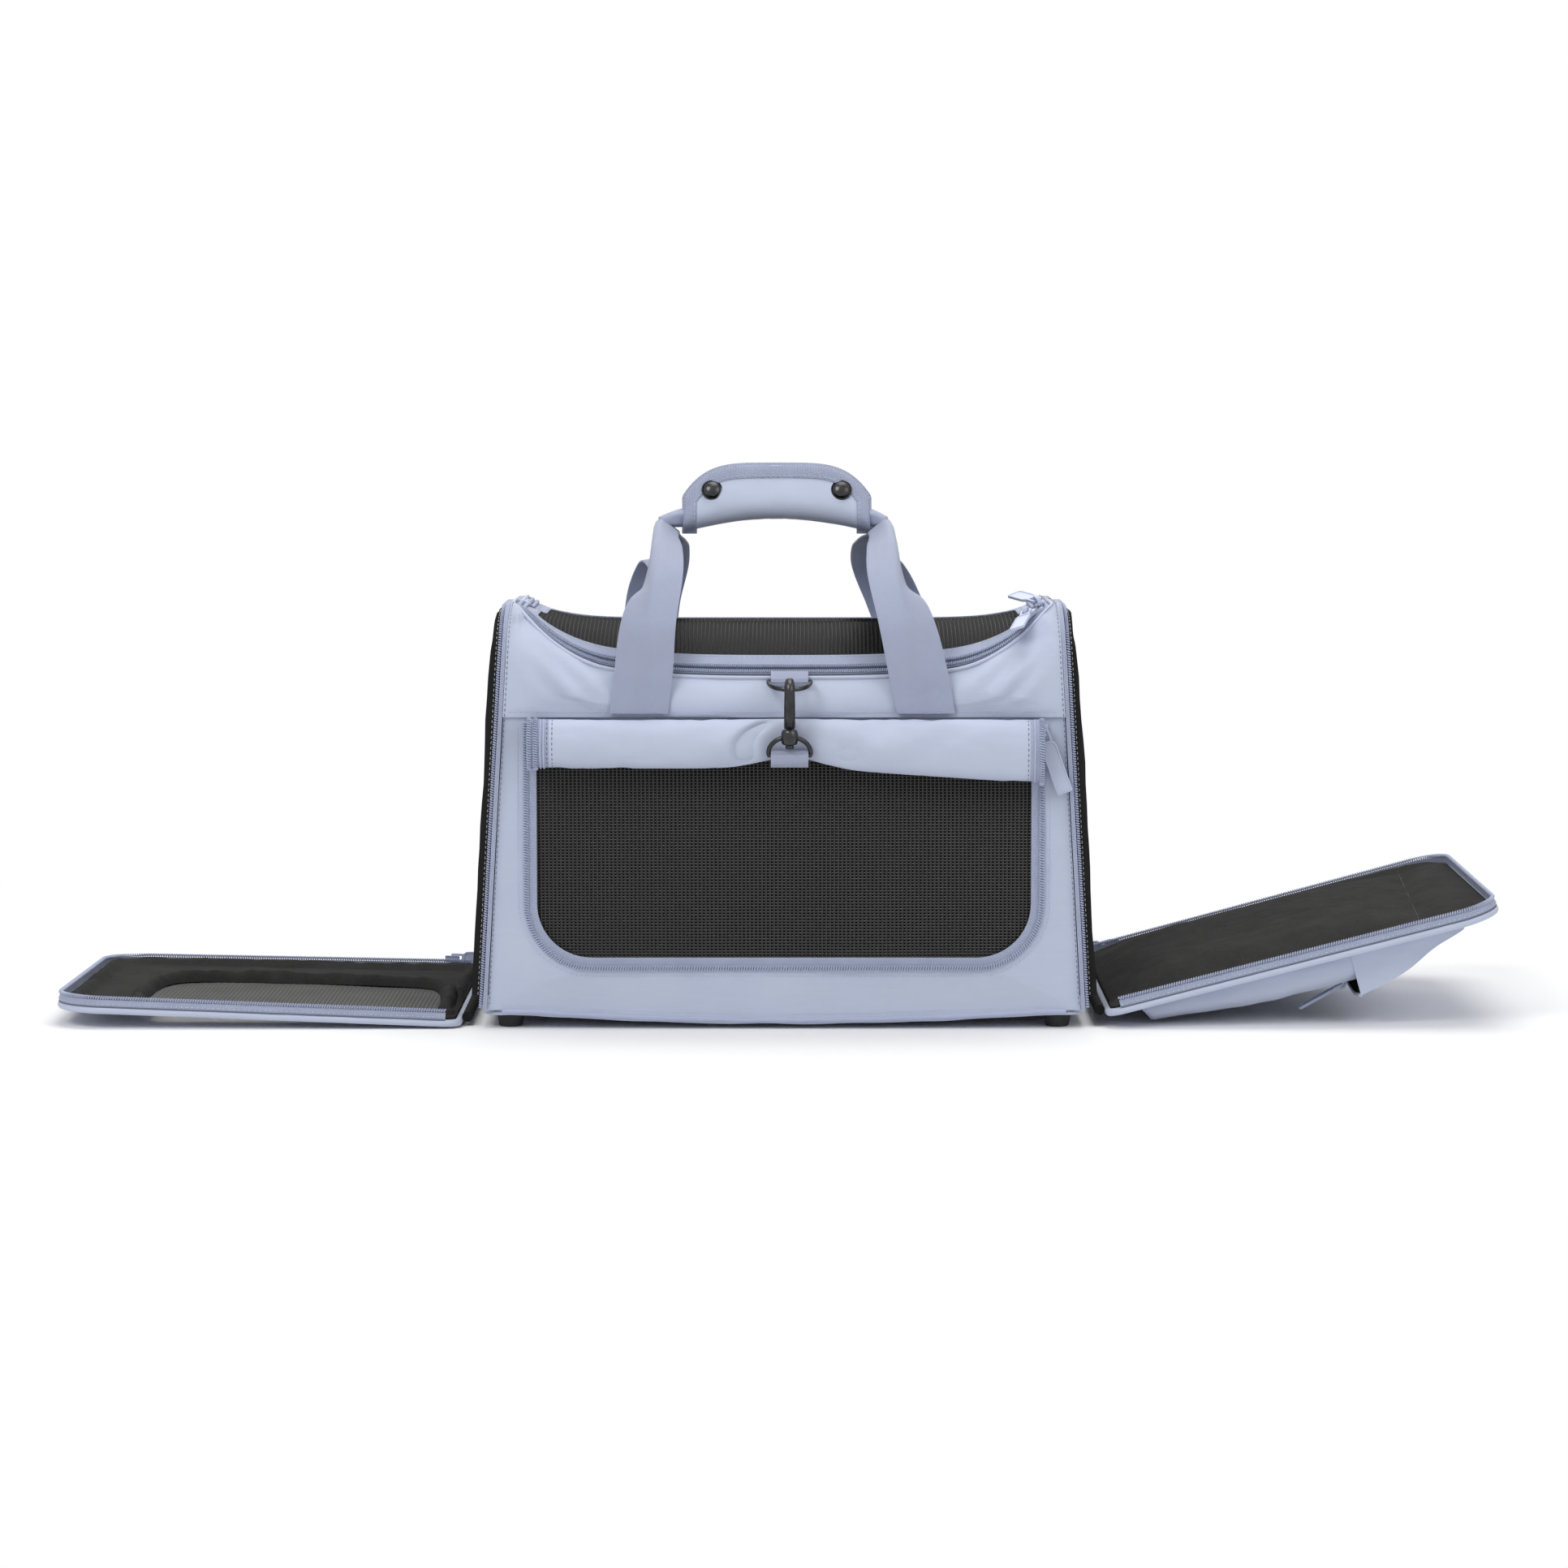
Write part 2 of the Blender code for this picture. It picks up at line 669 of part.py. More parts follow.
def build_roof(body):
    """Roof shell with its opening, the coil round the opening, and the parts of both end arches."""
    shell = roof_shell()

    def plan(a, b, h):
        return Vector((a, b, h))

    roof = solid("roof_panel", *shell, FABRIC, body, smooth=60)
    combine(roof, helper("lid_opening", *prism(lid_outline(0), 0.18, 0.40, plan), body))
    rows = lid_zip_path(-0.0016)
    section = box_section(COIL_WIDTH / 2, COIL_LIFT, COIL_LIFT + COIL_HEIGHT)
    solid("roof_zip", *sweep([p for p, n in rows], section, lambda i: rows[i][1]), ZIP_TAPE, body)
    for name, side in (("left", -1), ("right", 1)):
        cap = end_strip(side, 0.0, 0.0052, 0.0, -END_CAP, WALL_BOTTOM)
        solid(f"{name}_body_zip", *cap, ZIP_TAPE, body)
        trim = end_strip(side, 0.0056, 0.0074, 0.0070, -0.0060, WALL_BOTTOM + 0.0104)
        solid(f"{name}_binding", *trim, LINING, body)
        line = arch_line(0.0095, WALL_BOTTOM + GAP)
        path = [Vector((side * (end_x(z) - 0.0090), y, z)) for y, z in line]
        rod = sweep(path, circle(0.0014, 6), lambda i: Vector((side, 0, 0)))
        solid(f"{name}_hoop", *rod, SPRING_STEEL, body)
        fold = circle(0.0040, 12)
        ends = [[Vector((a, v, b)) for a, b in fold] for v in (-0.1240, 0.1240)]
        x, z = LEFT_HINGE if side < 0 else RIGHT_HINGE
        spot = Matrix.Translation((x, 0, z))
        solid(f"{name}_hinge_fold", *loft(ends), LINING, body, matrix=spot)


def build_curtain(body):
    """The front curtain, rolled up under the hem, drawn in where the clip holds it."""
    rings = []
    count = 16
    for i in range(count + 1):
        x = -0.1720 + 0.3500 * i / count
        pinch = math.exp(-(((x - CLIP_X) / 0.030) ** 2))
        depth = 0.0122 - 0.0048 * pinch
        low = 0.1885 + 0.0075 * pinch - 0.0110 * max(0.0, (x - 0.02) / 0.16)
        last = i in (0, count)
        high = HEM - 0.0005
        z = (low + high) / 2
        rise = (high - low) / 2 * (0.94 if last else 1.0)
        y = -WALL_OUTER - 0.0005 - depth
        ring = []
        for a, b in circle(1.0, 14):
            bulge = 1.0 + 0.10 * abs(a * b)
            ring.append(Vector((x, y + depth * a * bulge * (0.9 if last else 1.0), z + rise * b)))
        rings.append(ring)
    solid("curtain_roll", *loft(rings), FABRIC, body, smooth=60)


def d_ring(center_x, bar, far, half, count=14):
    """Points of a D-shaped ring: a straight bar, and an elliptic bow out to the far point."""
    points = []
    for i in range(count + 1):
        t = math.pi * i / count
        share = math.sin(t)
        x = center_x + half * math.cos(t) * (1 + 0.10 * share)
        points.append(Vector((x, *(bar + (far - bar) * share))))
    middle = Vector((center_x, *bar))
    return points + [middle]


def tab_loop(center_x, bar, half, inner, outer):
    """A webbing tab folded round a bar that runs along X."""
    rings = []
    for x in (center_x - half, center_x + half):
        rings.append([Vector((x, bar.x + a, bar.y + b)) for a, b in circle(outer, 14)])
    for x in (center_x + half, center_x - half):
        rings.append([Vector((x, bar.x + a, bar.y + b)) for a, b in circle(inner, 14)])
    return loft(rings, loop=True)


def build_clip(body):
    """Webbing tabs, upper ring, swivel loop, snap hook and its sprung gate."""
    bar = Vector((-0.1375, 0.2517))
    far = Vector((HOOK_Y + 0.0004, 0.2478))
    solid("upper_tab", *tab_loop(CLIP_X, bar, 0.0122, 0.0020, 0.0034), WEBBING, body)
    pivot = empty("upper_ring_axis", body, (CLIP_X, bar.x, bar.y))
    spot = Matrix.Translation((-CLIP_X, -bar.x, -bar.y))
    path = d_ring(CLIP_X, bar, far, 0.0150)
    ring = sweep(path, circle(RING_WIRE, 8), lambda i: Vector((0, 0.2, 1)), loop=True)
    solid("upper_ring", *ring, GUNMETAL, pivot, matrix=spot)

    low_bar = Vector((-0.1584, 0.2005))
    boss_z = 0.2138
    solid("lower_tab", *tab_loop(CLIP_X, low_bar, 0.0128, 0.0020, 0.0034), WEBBING, body)
    path = d_ring(CLIP_X, low_bar, Vector((HOOK_Y, boss_z)), 0.0150)
    loop = solid(
        "swivel_loop",
        *sweep(path, circle(RING_WIRE, 8), lambda i: Vector((0, 1, 0.3)), loop=True),
        GUNMETAL,
        body,
    )
    barrel = ((0.0046, -0.0056), (0.0058, -0.0044), (0.0062, 0), (0.0058, 0.0040), (0.0046, 0.0054))
    place = Matrix.Translation((CLIP_X, HOOK_Y, boss_z))
    combine(loop, helper("swivel_barrel", *loft(turned(barrel, 14)), body, place), "UNION")
    bore = ((0.0024, -0.02), (0.0024, 0.02))
    combine(loop, helper("swivel_bore", *loft(turned(bore, 12)), body, place))

    axis = empty("hook_axis", body, (CLIP_X, HOOK_Y, boss_z))
    trail = [
        (0.0, -0.0088, 0.0022),
        (0.0, -0.0080, 0.0031),
        (0.0, -0.0060, 0.0031),
        (0.0, -0.0059, 0.0019),
        (0.0, 0.0057, 0.0019),
        (0.0, 0.0058, 0.0037),
        (0.0, 0.0068, 0.0039),
        (-0.0012, 0.0092, 0.0039),
        (-0.0050, 0.0130, 0.0036),
        (-0.0068, 0.0180, 0.0034),
        (-0.0068, 0.0270, 0.0033),
    ]
    for y, z in arc((-0.0001, 0.0327), (0.0067, 0.0067), 180, 0, 8):
        trail.append((y, z, 0.0032 - 0.0006 * (y + 0.0068) / 0.0134))
    trail.append((0.0066, 0.0300, 0.0024))
    path = [Vector((0, y, z)) for y, z, r in trail]
    body_of_hook = sweep(path, lambda i: circle(trail[i][2], 10), lambda i: Vector((1, 0, 0)))
    solid("hook", *body_of_hook, GUNMETAL, axis)
    pin = empty("gate_axis", axis, (0, 0.0052, 0.0122))
    gate = [(0.0, -0.0016, 0.0010), (0.0, -0.0008, 0.0018)]
    gate += [(0.0004, 0.0060, 0.0019), (0.0014, 0.0172, 0.0018)]
    path = [Vector((0, y, z)) for y, z, r in gate]
    solid("gate", *sweep(path, lambda i: circle(gate[i][2], 8), lambda i: Vector((1, 0, 0))), GUNMETAL, pin)


def build_handle(body):
    """Padded grip with its press studs, and the four legs of the two carrying straps."""
    lift = empty("grip_axis", body, (GRIP_X, 0, 0.3830))
    down = Matrix.Translation((0, 0, -0.3830))

    def grip_top(t):
        return 0.4040 - 0.0240 * abs(t) ** 4.4

    def grip_bottom(t):
        return 0.3630 - 0.0095 * t * t

    half = ((0.0026, 1.0), (0.0136, -0.36), (0.0128, -0.72), (0.0070, -0.95))
    section = [(y, z) for y, z in half] + [(0.0, -1.0)] + [(-y, z) for y, z in reversed(half)]
    rings = []
    for t in (-1.0, -0.97, -0.86, -0.66, -0.35, 0.0, 0.35, 0.66, 0.86, 0.97, 1.0):
        middle = (grip_top(t) + grip_bottom(t)) / 2
        tall = (grip_top(t) - grip_bottom(t)) / 2 * (0.90 if abs(t) == 1.0 else 1.0)
        wide = 0.86 if abs(t) == 1.0 else 1.0
        rings.append([Vector((t * GRIP_HALF, y * wide, middle + z * tall)) for y, z in section])
    for side in (-1, 1):
        sizes = ((0.0102, 0.3560, 0.3695), (0.0118, 0.3555, 0.3685), (0.0124, 0.3565, 0.3650))
        for x, (wide, low, high) in zip((GRIP_HALF, *NECKS[side]), sizes):
            ring = [(y / 0.0136 * wide, (low + high) / 2 + z * (high - low) / 2) for y, z in section]
            rings.insert(len(rings) if side > 0 else 0, [Vector((side * x, y, z)) for y, z in ring])
    solid("grip", *loft(rings), FABRIC, lift, smooth=50, matrix=down)
    dome = [(STUD_RADIUS, 0.0)]
    for i in range(1, 6):
        t = math.radians(15 * i)
        dome.append((STUD_RADIUS * math.cos(t), 0.0008 + 0.0030 * math.sin(t)))
    slope = math.atan2(0.0110, 1.36 * 0.0190)
    for name, side in (("left", -1), ("right", 1)):
        for face, facing in (("front", -1), ("rear", 1)):
            t = 0.0480 / GRIP_HALF
            middle = (grip_top(t) + grip_bottom(t)) / 2
            tall = (grip_top(t) - grip_bottom(t)) / 2
            share = 0.30
            y = mix((0.0136, 0.0026), (share + 0.36) / 1.36)
            normal = Vector((0, facing * math.cos(slope), math.sin(slope)))
            spot = Vector((side * 0.0480, facing * y, middle + share * tall - 0.3830)) + normal * 0.0011
            place = frame_at(spot, Vector((1, 0, 0)), normal)
            solid(f"grip_stud_{face}_{name}", *loft(turned(dome, 16)), GUNMETAL, lift, matrix=place)

    top = ((0.0890, 0.0680, 0.3480, 0.62), (0.0916, 0.0300, 0.3575, 0.95), (0.0925, 0.0152, 0.3595, 1.0))
    routes = {
        "front": (
            (0.1040, 0.1434, 0.2290, 0),
            (0.1028, 0.1422, 0.2430, 0),
            (0.1005, 0.1395, 0.2620, 0),
            (0.0955, 0.1310, 0.2950, 0.06),
            (0.0900, 0.1080, 0.3270, 0.28),
            *top,
        ),
        "rear": (
            (0.1060, 0.1434, 0.2290, 0),
            (0.1048, 0.1434, 0.2560, 0),
            (0.1030, 0.1414, 0.2740, 0),
            (0.0990, 0.1325, 0.2985, 0.06),
            (0.0930, 0.1080, 0.3270, 0.28),
            *top,
        ),
    }
    for face, facing in (("front", -1), ("rear", 1)):
        for name, side in (("left", -1), ("right", 1)):
            route = routes[face]
            aside = RIGHT_STRAP_SHIFT if side > 0 else (0,) * len(route)
            stops = [(side * x + a, facing * y, z) for (x, y, z, fold), a in zip(route, aside)]
            path = smooth_line([Vector(stop) for stop in stops], 14)
            folds = smooth_line([Vector((fold, 0, 0)) for *_, fold in route], 14)
            rings = []
            for i, point in enumerate(path):
                ahead = (path[min(i + 1, 14)] - path[max(i - 1, 0)]).normalized()
                inward = Vector((-side, 0, 0))
                inward = (inward - ahead * inward.dot(ahead)).normalized()
                outward = inward.cross(ahead) * side * facing
                ring = folded_section(STRAP_FOLD * max(0.0, folds[i].x))
                rings.append([point + inward * a + outward * b for a, b in ring])
            solid(f"strap_{face}_{name}", *loft(rings), WEBBING, body, smooth=60)


def folded_section(turn):
    """A strap's section, folded back along its middle by turn: one half stays flat along the first axis."""
    half = STRAP_WIDTH / 2
    thin = STRAP_THICK / 2
    back = (-math.cos(turn), -math.sin(turn))
    out = (-math.sin(turn), math.cos(turn))
    bend = (math.cos(math.pi / 2 + turn / 2), math.sin(math.pi / 2 + turn / 2))
    miter = thin / math.cos(turn / 2)
    upper = [(half, thin), (half / 2, thin)]
    upper.append((bend[0] * min(miter, 1.4 * thin), bend[1] * min(miter, 1.4 * thin)))
    upper += [(back[0] * r + out[0] * thin, back[1] * r + out[1] * thin) for r in (half / 2, half)]
    lower = [(half, -thin), (half / 2, -thin), (-bend[0] * miter, -bend[1] * miter)]
    lower += [(back[0] * r - out[0] * thin, back[1] * r - out[1] * thin) for r in (half / 2, half)]
    return upper + lower[::-1]


def lid_gaps():
    """Upright bars in rows, which cut the gaps of the lid's net; the swept front corners stay whole."""
    verts = []
    faces = []
    columns, rows = LID_NET_GAPS
    inset = LID_GAP + LID_TAPE + 0.006
    x0, x1 = LID_LEFT + inset, LID_RIGHT - inset
    y0, y1 = LID_FRONT + inset, LID_REAR - inset
    wide = (x1 - x0) / columns
    deep = (y1 - y0) / rows
    bar = 0.0045
    for i in range(columns):
        for j in range(rows):
            if j == 0 and i in (0, columns - 1):
                continue
            left, low = x0 + wide * i + bar / 2, y0 + deep * j + bar / 2
            right, high = left + wide - bar, low + deep - bar
            corners = [(left, low), (right, low), (right, high), (left, high)]
            more, sides = prism(corners, 0.19, 0.39, lambda a, b, h: Vector((a, b, h)))
            faces += [tuple(k + len(verts) for k in side) for side in sides]
            verts += more
    return verts, faces


def build_lid(body):
    """Mesh lid hinged along its rear edge: tape, net, coil and two sliders with their pulls."""
    axis = empty("lid_axis", body, (0, LID_REAR, LID_AXIS_Z))
    back = Matrix.Translation((0, -LID_REAR, -LID_AXIS_Z))

    def plan(a, b, h):
        return Vector((a, b, h))

    shell = roof_shell()
    tape = solid("lid_tape", *shell, ZIP_TAPE, axis, smooth=60, matrix=back)
    whole = prism(lid_outline(LID_GAP), 0.18, 0.40, plan)
    combine(tape, helper("lid_edge", *whole, axis, back), "INTERSECT")
    inner = prism(lid_outline(LID_GAP + LID_TAPE), 0.17, 0.41, plan)
    combine(tape, helper("lid_field", *inner, axis, back))
    mesh = solid("lid_net", *shell, BLACK_MESH, axis, smooth=60, matrix=back)
    field = prism(lid_outline(LID_GAP + LID_TAPE + GAP), 0.18, 0.40, plan)
    combine(mesh, helper("lid_net_edge", *field, axis, back), "INTERSECT")
    combine(mesh, helper("lid_net_gaps", *lid_gaps(), axis, back))
    rows = lid_zip_path(LID_GAP + 0.0016)
    section = box_section(COIL_WIDTH / 2, COIL_LIFT, COIL_LIFT + COIL_HEIGHT)
    points = [p for p, n in rows]
    coil = sweep(points, section, lambda i: rows[i][1])
    solid("lid_zip", *coil, ZIP_TAPE, axis, matrix=back)

    corner = max(i for i in range(len(points)) if points[i].x > 0.1 and points[i].y < LID_FRONT + 0.036)
    for name, index, turn, lift in (("front", corner - 3, 30, 4), ("rear", corner, 205, 14)):
        along = points[index + 1] - points[index]
        share = 0.5 if name == "front" else 0.30
        spot = points[index] + along * share
        place = back @ frame_at(spot, along, rows[index][1] + rows[index + 1][1])
        spin = Matrix.Rotation(math.radians(turn), 4, "Z")
        coil = (COIL_WIDTH, COIL_HEIGHT)
        high = slider(f"lid_slider_{name}", axis, place, coil, math.radians(turn), COIL_LIFT + 0.0004)
        swing = place @ Matrix.Translation((0, 0, high)) @ spin
        pin = empty(f"lid_pull_{name}_axis", axis, matrix=swing @ Matrix.Rotation(math.radians(lift), 4, "Y"))
        pull(f"lid_pull_{name}", pin)


def build_front_zip(body):
    """The curtain's slider, parked at the top of the window zip, and its hanging pull."""
    spot = Vector((WINDOW_HALF + 0.002, -WALL_OUTER, 0.2160))
    place = frame_at(spot, Vector((0, 0, 1)), Vector((0, -1, 0)))
    turn = math.radians(20)
    high = slider("front_slider", body, place, WINDOW_COIL, turn)
    swing = place @ Matrix.Translation((0, 0, high)) @ Matrix.Rotation(turn, 4, "Z")
    pin = empty("front_pull_axis", body, matrix=swing)
    pull("front_pull", pin, 0.0470)


def door_shell(name, hinge):
    """A shallow tray: piped outer panel, gusset wall round it, and the inside floor."""
    rings = [level(door_outline(-0.0015), DOOR_FACE)]
    for grow, n in ((0.0008, -0.0052), (0.0013, -0.0036), (0.0008, -0.0018), (0.0, -0.0012), (0.0, DOOR_RIM)):
        rings.append(level(door_outline(grow), n))
    for n in (DOOR_RIM, DOOR_FACE + 0.0030):
        rings.append(level(door_outline(-0.0026), n))
    return solid(f"{name}_door_shell", *loft(rings), FABRIC, hinge)


def door_zip(name, hinge):
    """The door's half of the end zip: a coil on the gusset's edge, open along the hinge side."""
    line = door_outline(-0.0012)
    start = next(i for i, p in enumerate(line) if p[0] < 0.02)
    stop = len(line) - next(i for i, p in enumerate(reversed(line)) if p[0] < 0.02)
    order = line[stop:] + line[: start]
    path = [Vector((0.020, line[stop][1], 0))] + [Vector((s, v, 0)) for s, v in order]
    path += [Vector((0.020, order[-1][1], 0))]
    section = box_section(0.0018, DOOR_RIM + GAP, DOOR_COIL_TOP)
    solid(f"{name}_door_zip", *sweep(path, section, lambda i: Vector((0, 0, 1))), ZIP_TAPE, hinge)


def door_slider(name, hinge, side):
    """The end zip's slider, run down to the hinge end of the rear edge, with its pull."""
    middle = (DOOR_RIM + GAP + DOOR_COIL_TOP) / 2
    spot = Vector((0.0300, side * (DOOR_HALF - 0.0030), middle))
    place = frame_at(spot, Vector((1, 0, 0)), Vector((0, side, 0)))
    high = slider(f"{name}_door_slider", hinge, place, (DOOR_COIL_TOP - DOOR_RIM - GAP, 0.0002), low=0.0034)
    swing = place @ Matrix.Translation((0, 0, high))
    pin = empty(f"{name}_door_pull_axis", hinge, matrix=swing)
    pull(f"{name}_door_pull", pin)


def build_left_door(body):
    """Left door: let down flat, with a mesh window edged by a rolled black binding."""
    hinge = empty("left_door_axis", body, (LEFT_HINGE[0], 0, LEFT_HINGE[1]), (0, -LEFT_TILT, math.pi))
    shell = door_shell("left", hinge)

    def lying(a, b, h):
        return Vector((a, b, h))

    combine(shell, helper("left_window_cutter", *prism(window_outline(0), -0.02, 0.02, lying), hinge))
    floor = DOOR_FACE + 0.0030 + GAP
    s0, s1, w = DOOR_WINDOW

    def weave(a, b, side):
        return Vector((a, b, floor + side * NET_THICK))

    cells = net(DOOR_NET_GAPS, (s0 - 0.006, -w - 0.006), (s1 + 0.006, w + 0.006), 0.010, 0.0042, weave)
    solid("left_door_net", *cells, BLACK_MESH, hinge)
    low = floor + NET_THICK + GAP
    loops = [
        level(window_outline(0), low),
        level(window_outline(0.0002), 0.0030),
        level(window_outline(0.0026), 0.0056),
        level(window_outline(0.0062), 0.0050),
        level(window_outline(0.0086), 0.0012),
        level(door_outline(-0.0032), 0.0010),
        level(door_outline(-0.0032), low),
    ]
    solid("left_door_lining", *loft(loops, loop=True), LINING, hinge, smooth=60)
    door_zip("left", hinge)
    door_slider("left", hinge, -1)


def build_right_door(body):
    """Right door: resting on its outer pocket, with a full padded lining."""
    hinge = empty("right_door_axis", body, (RIGHT_HINGE[0], 0, RIGHT_HINGE[1]), (0, -RIGHT_TILT, 0))
    door_shell("right", hinge)
    door_zip("right", hinge)
    door_slider("right", hinge, 1)
    low = DOOR_FACE + 0.0030 + GAP
    s0 = DOOR_START + 0.0032
    s1 = DOOR_LENGTH - 0.0032
    line = [s0 + (s1 - s0) * i / 18 for i in range(19)]

    def cushion(s, b):
        along = min(1.0, (s - s0) / 0.050, (s1 - s) / 0.050)
        across = min(1.0, (1 - abs(b)) / 0.32)
        crown = math.sin(math.pi / 2 * max(0.0, along)) * math.sin(math.pi / 2 * max(0.0, across))
        seam = 1 - 0.55 * math.exp(-(((s - 0.226) / 0.012) ** 2))
        return 0.0008 + 0.0062 * crown * seam

    inside = pad(line, lambda s: door_width(s, 0.0032), 12, low, cushion)
    solid("right_door_lining", *inside, LINING, hinge, smooth=60)

    p0, p1, w = POCKET
    top = DOOR_FACE - GAP
    line = [p0 + (p1 - p0) * t for t in (0, 0.012, 0.05, 0.15, 0.3, 0.5, 0.7, 0.85, 0.96, 1.0)]

    def bellows(s, b):
        t = (s - p0) / (p1 - p0)
        deep = mix((0.0138, 0.0225), min(1.0, t / 0.6))
        lead = min(1.0, 0.30 + t / 0.045)
        tail = min(1.0, 0.86 + (1 - t) / 0.10)
        edge = math.sqrt(max(0.0, 1 - max(0.0, (abs(b) - 0.86) / 0.14) ** 2 * 0.55))
        return top - deep * lead * tail * edge

    solid("pocket", *pad(line, lambda s: w, 10, top, bellows), FABRIC, hinge, smooth=50)
    build_pocket_flap(hinge)


def build_pocket_flap(hinge):
    """The hooded flap over the pocket's mouth, and the pocket zip's slider and pull under it."""
    axis = empty("pocket_flap_axis", hinge, (FLAP_AXIS[0], 0, FLAP_AXIS[1]))
    back = Matrix.Translation((-FLAP_AXIS[0], 0, -FLAP_AXIS[1]))
    w = 0.1230
    rows = 12
    rings = []
    skin = 0.0018
    for j in range(rows + 1):
        v = -w + 2 * w * j / rows
        sag = 0.0030 * math.sin(3.1 * math.pi * j / rows) - 0.0035 * (2 * j / rows - 1) ** 2
        outer = [(0.2690, -0.0070), (0.2690, -0.0098), (0.2450, -0.0195 - sag * 0.4)]
        outer += [(0.2200, -0.0325 - sag * 0.8), (0.1860, -0.0420 - sag)]
        inner = [(s - 0.0004, n + skin) for s, n in reversed(outer[1:])]
        inner[-1] = (0.2660, -0.0070)
        inner[0] = (0.1860, outer[-1][1] + skin)
        rings.append([Vector((s, v, n)) for s, n in outer + inner])
    flap = solid("pocket_flap", *loft(rings), FABRIC, axis, smooth=50, matrix=back)
    for side in (-1, 1):
        cheek = [(0.2660, -0.0068), (0.2680, -0.0100), (0.2450, -0.0190)]
        cheek += [(0.2200, -0.0312), (0.1995, -0.0370)]
        cheek += [(0.1985, -0.0068)]
        low, high = sorted((side * (w - 0.0001), side * (w + 0.0015)))
        plate = prism(cheek, low, high, lambda a, b, h: Vector((a, h, b)))
        combine(flap, helper(f"flap_cheek_{'near' if side < 0 else 'far'}", *plate, axis, back), "UNION")
    face = DOOR_FACE - GAP - 0.0225
    place = frame_at(Vector((0.1770, -0.0900, face)), Vector((0, 1, 0)), Vector((0, 0, -1)))
    track = empty("pocket_slider_axis", hinge, matrix=place)
    high = slider("pocket_slider", track, Matrix.Identity(4), (0.0026, 0.0012), math.radians(90))
    swing = Matrix.Translation((0, 0, high)) @ Matrix.Rotation(math.radians(90), 4, "Z")
    pin = empty("pocket_pull_axis", track, matrix=swing @ Matrix.Rotation(math.radians(14), 4, "Y"))
    pull("pocket_pull", pin, 0.0360, 0.0100)


def main():
    clear_scene()
    body = empty("carrier", None, (BODY_X, BODY_Y, 0))
    build_base(body)
    build_walls(body)
    build_roof(body)
    build_curtain(body)
    build_clip(body)
    build_handle(body)
    build_lid(body)
    build_front_zip(body)
    build_left_door(body)
    build_right_door(body)


main()
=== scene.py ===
"""Looks of a soft-sided pet carrier: cloth, mesh, zips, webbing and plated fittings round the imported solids."""

import logging
import math
from dataclasses import dataclass
from enum import Enum
from typing import Callable, Sequence

import bmesh
import bpy
import numpy as np
from mathutils import Matrix, Vector, noise


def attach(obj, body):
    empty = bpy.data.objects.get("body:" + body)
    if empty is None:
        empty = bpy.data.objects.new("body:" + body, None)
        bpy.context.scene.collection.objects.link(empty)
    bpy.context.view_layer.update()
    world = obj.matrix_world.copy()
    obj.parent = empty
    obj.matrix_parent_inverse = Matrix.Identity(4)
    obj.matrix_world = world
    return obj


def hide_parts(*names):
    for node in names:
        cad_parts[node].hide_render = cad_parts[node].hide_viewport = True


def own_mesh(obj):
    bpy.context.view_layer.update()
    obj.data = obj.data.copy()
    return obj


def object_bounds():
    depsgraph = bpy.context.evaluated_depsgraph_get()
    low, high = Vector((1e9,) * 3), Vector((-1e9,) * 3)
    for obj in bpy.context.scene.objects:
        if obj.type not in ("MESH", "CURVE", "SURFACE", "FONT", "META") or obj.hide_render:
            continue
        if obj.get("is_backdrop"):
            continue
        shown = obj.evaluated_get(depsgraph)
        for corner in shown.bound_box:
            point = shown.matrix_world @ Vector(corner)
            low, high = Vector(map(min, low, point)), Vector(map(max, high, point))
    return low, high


LOG = logging.getLogger("carrier")
Color = tuple[float, float, float]
Loop = list[tuple[float, float]]

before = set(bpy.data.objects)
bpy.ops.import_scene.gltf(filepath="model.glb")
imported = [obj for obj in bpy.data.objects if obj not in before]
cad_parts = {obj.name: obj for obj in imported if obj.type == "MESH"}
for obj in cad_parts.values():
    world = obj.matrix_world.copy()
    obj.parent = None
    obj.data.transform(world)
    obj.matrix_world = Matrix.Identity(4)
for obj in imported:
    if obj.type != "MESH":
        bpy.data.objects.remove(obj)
CAD_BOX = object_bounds()

BODY = Matrix.Translation((0.0051, 0.0131, 0.0))
BASE = "base"
COIL_POINTS = 7
STITCH_HALF, STITCH_SUNK, STITCH_PROUD = 0.00034, 0.0001, 0.00042
SEEN_BY = ("Is Camera Ray", "Is Glossy Ray", "Is Transmission Ray")


class Surface(Enum):
    """The record's material slots, by what they are on the carrier."""

    CLOTH = "body_fabric"
    WEBBING = "webbing"
    MESH = "mesh"
    LINING = "lining"
    ZIP = "zip"
    MOULDED = "moulded"
    METAL = "hardware"
    RUBBER = "rubber"
    WIRE = "spring_wire"


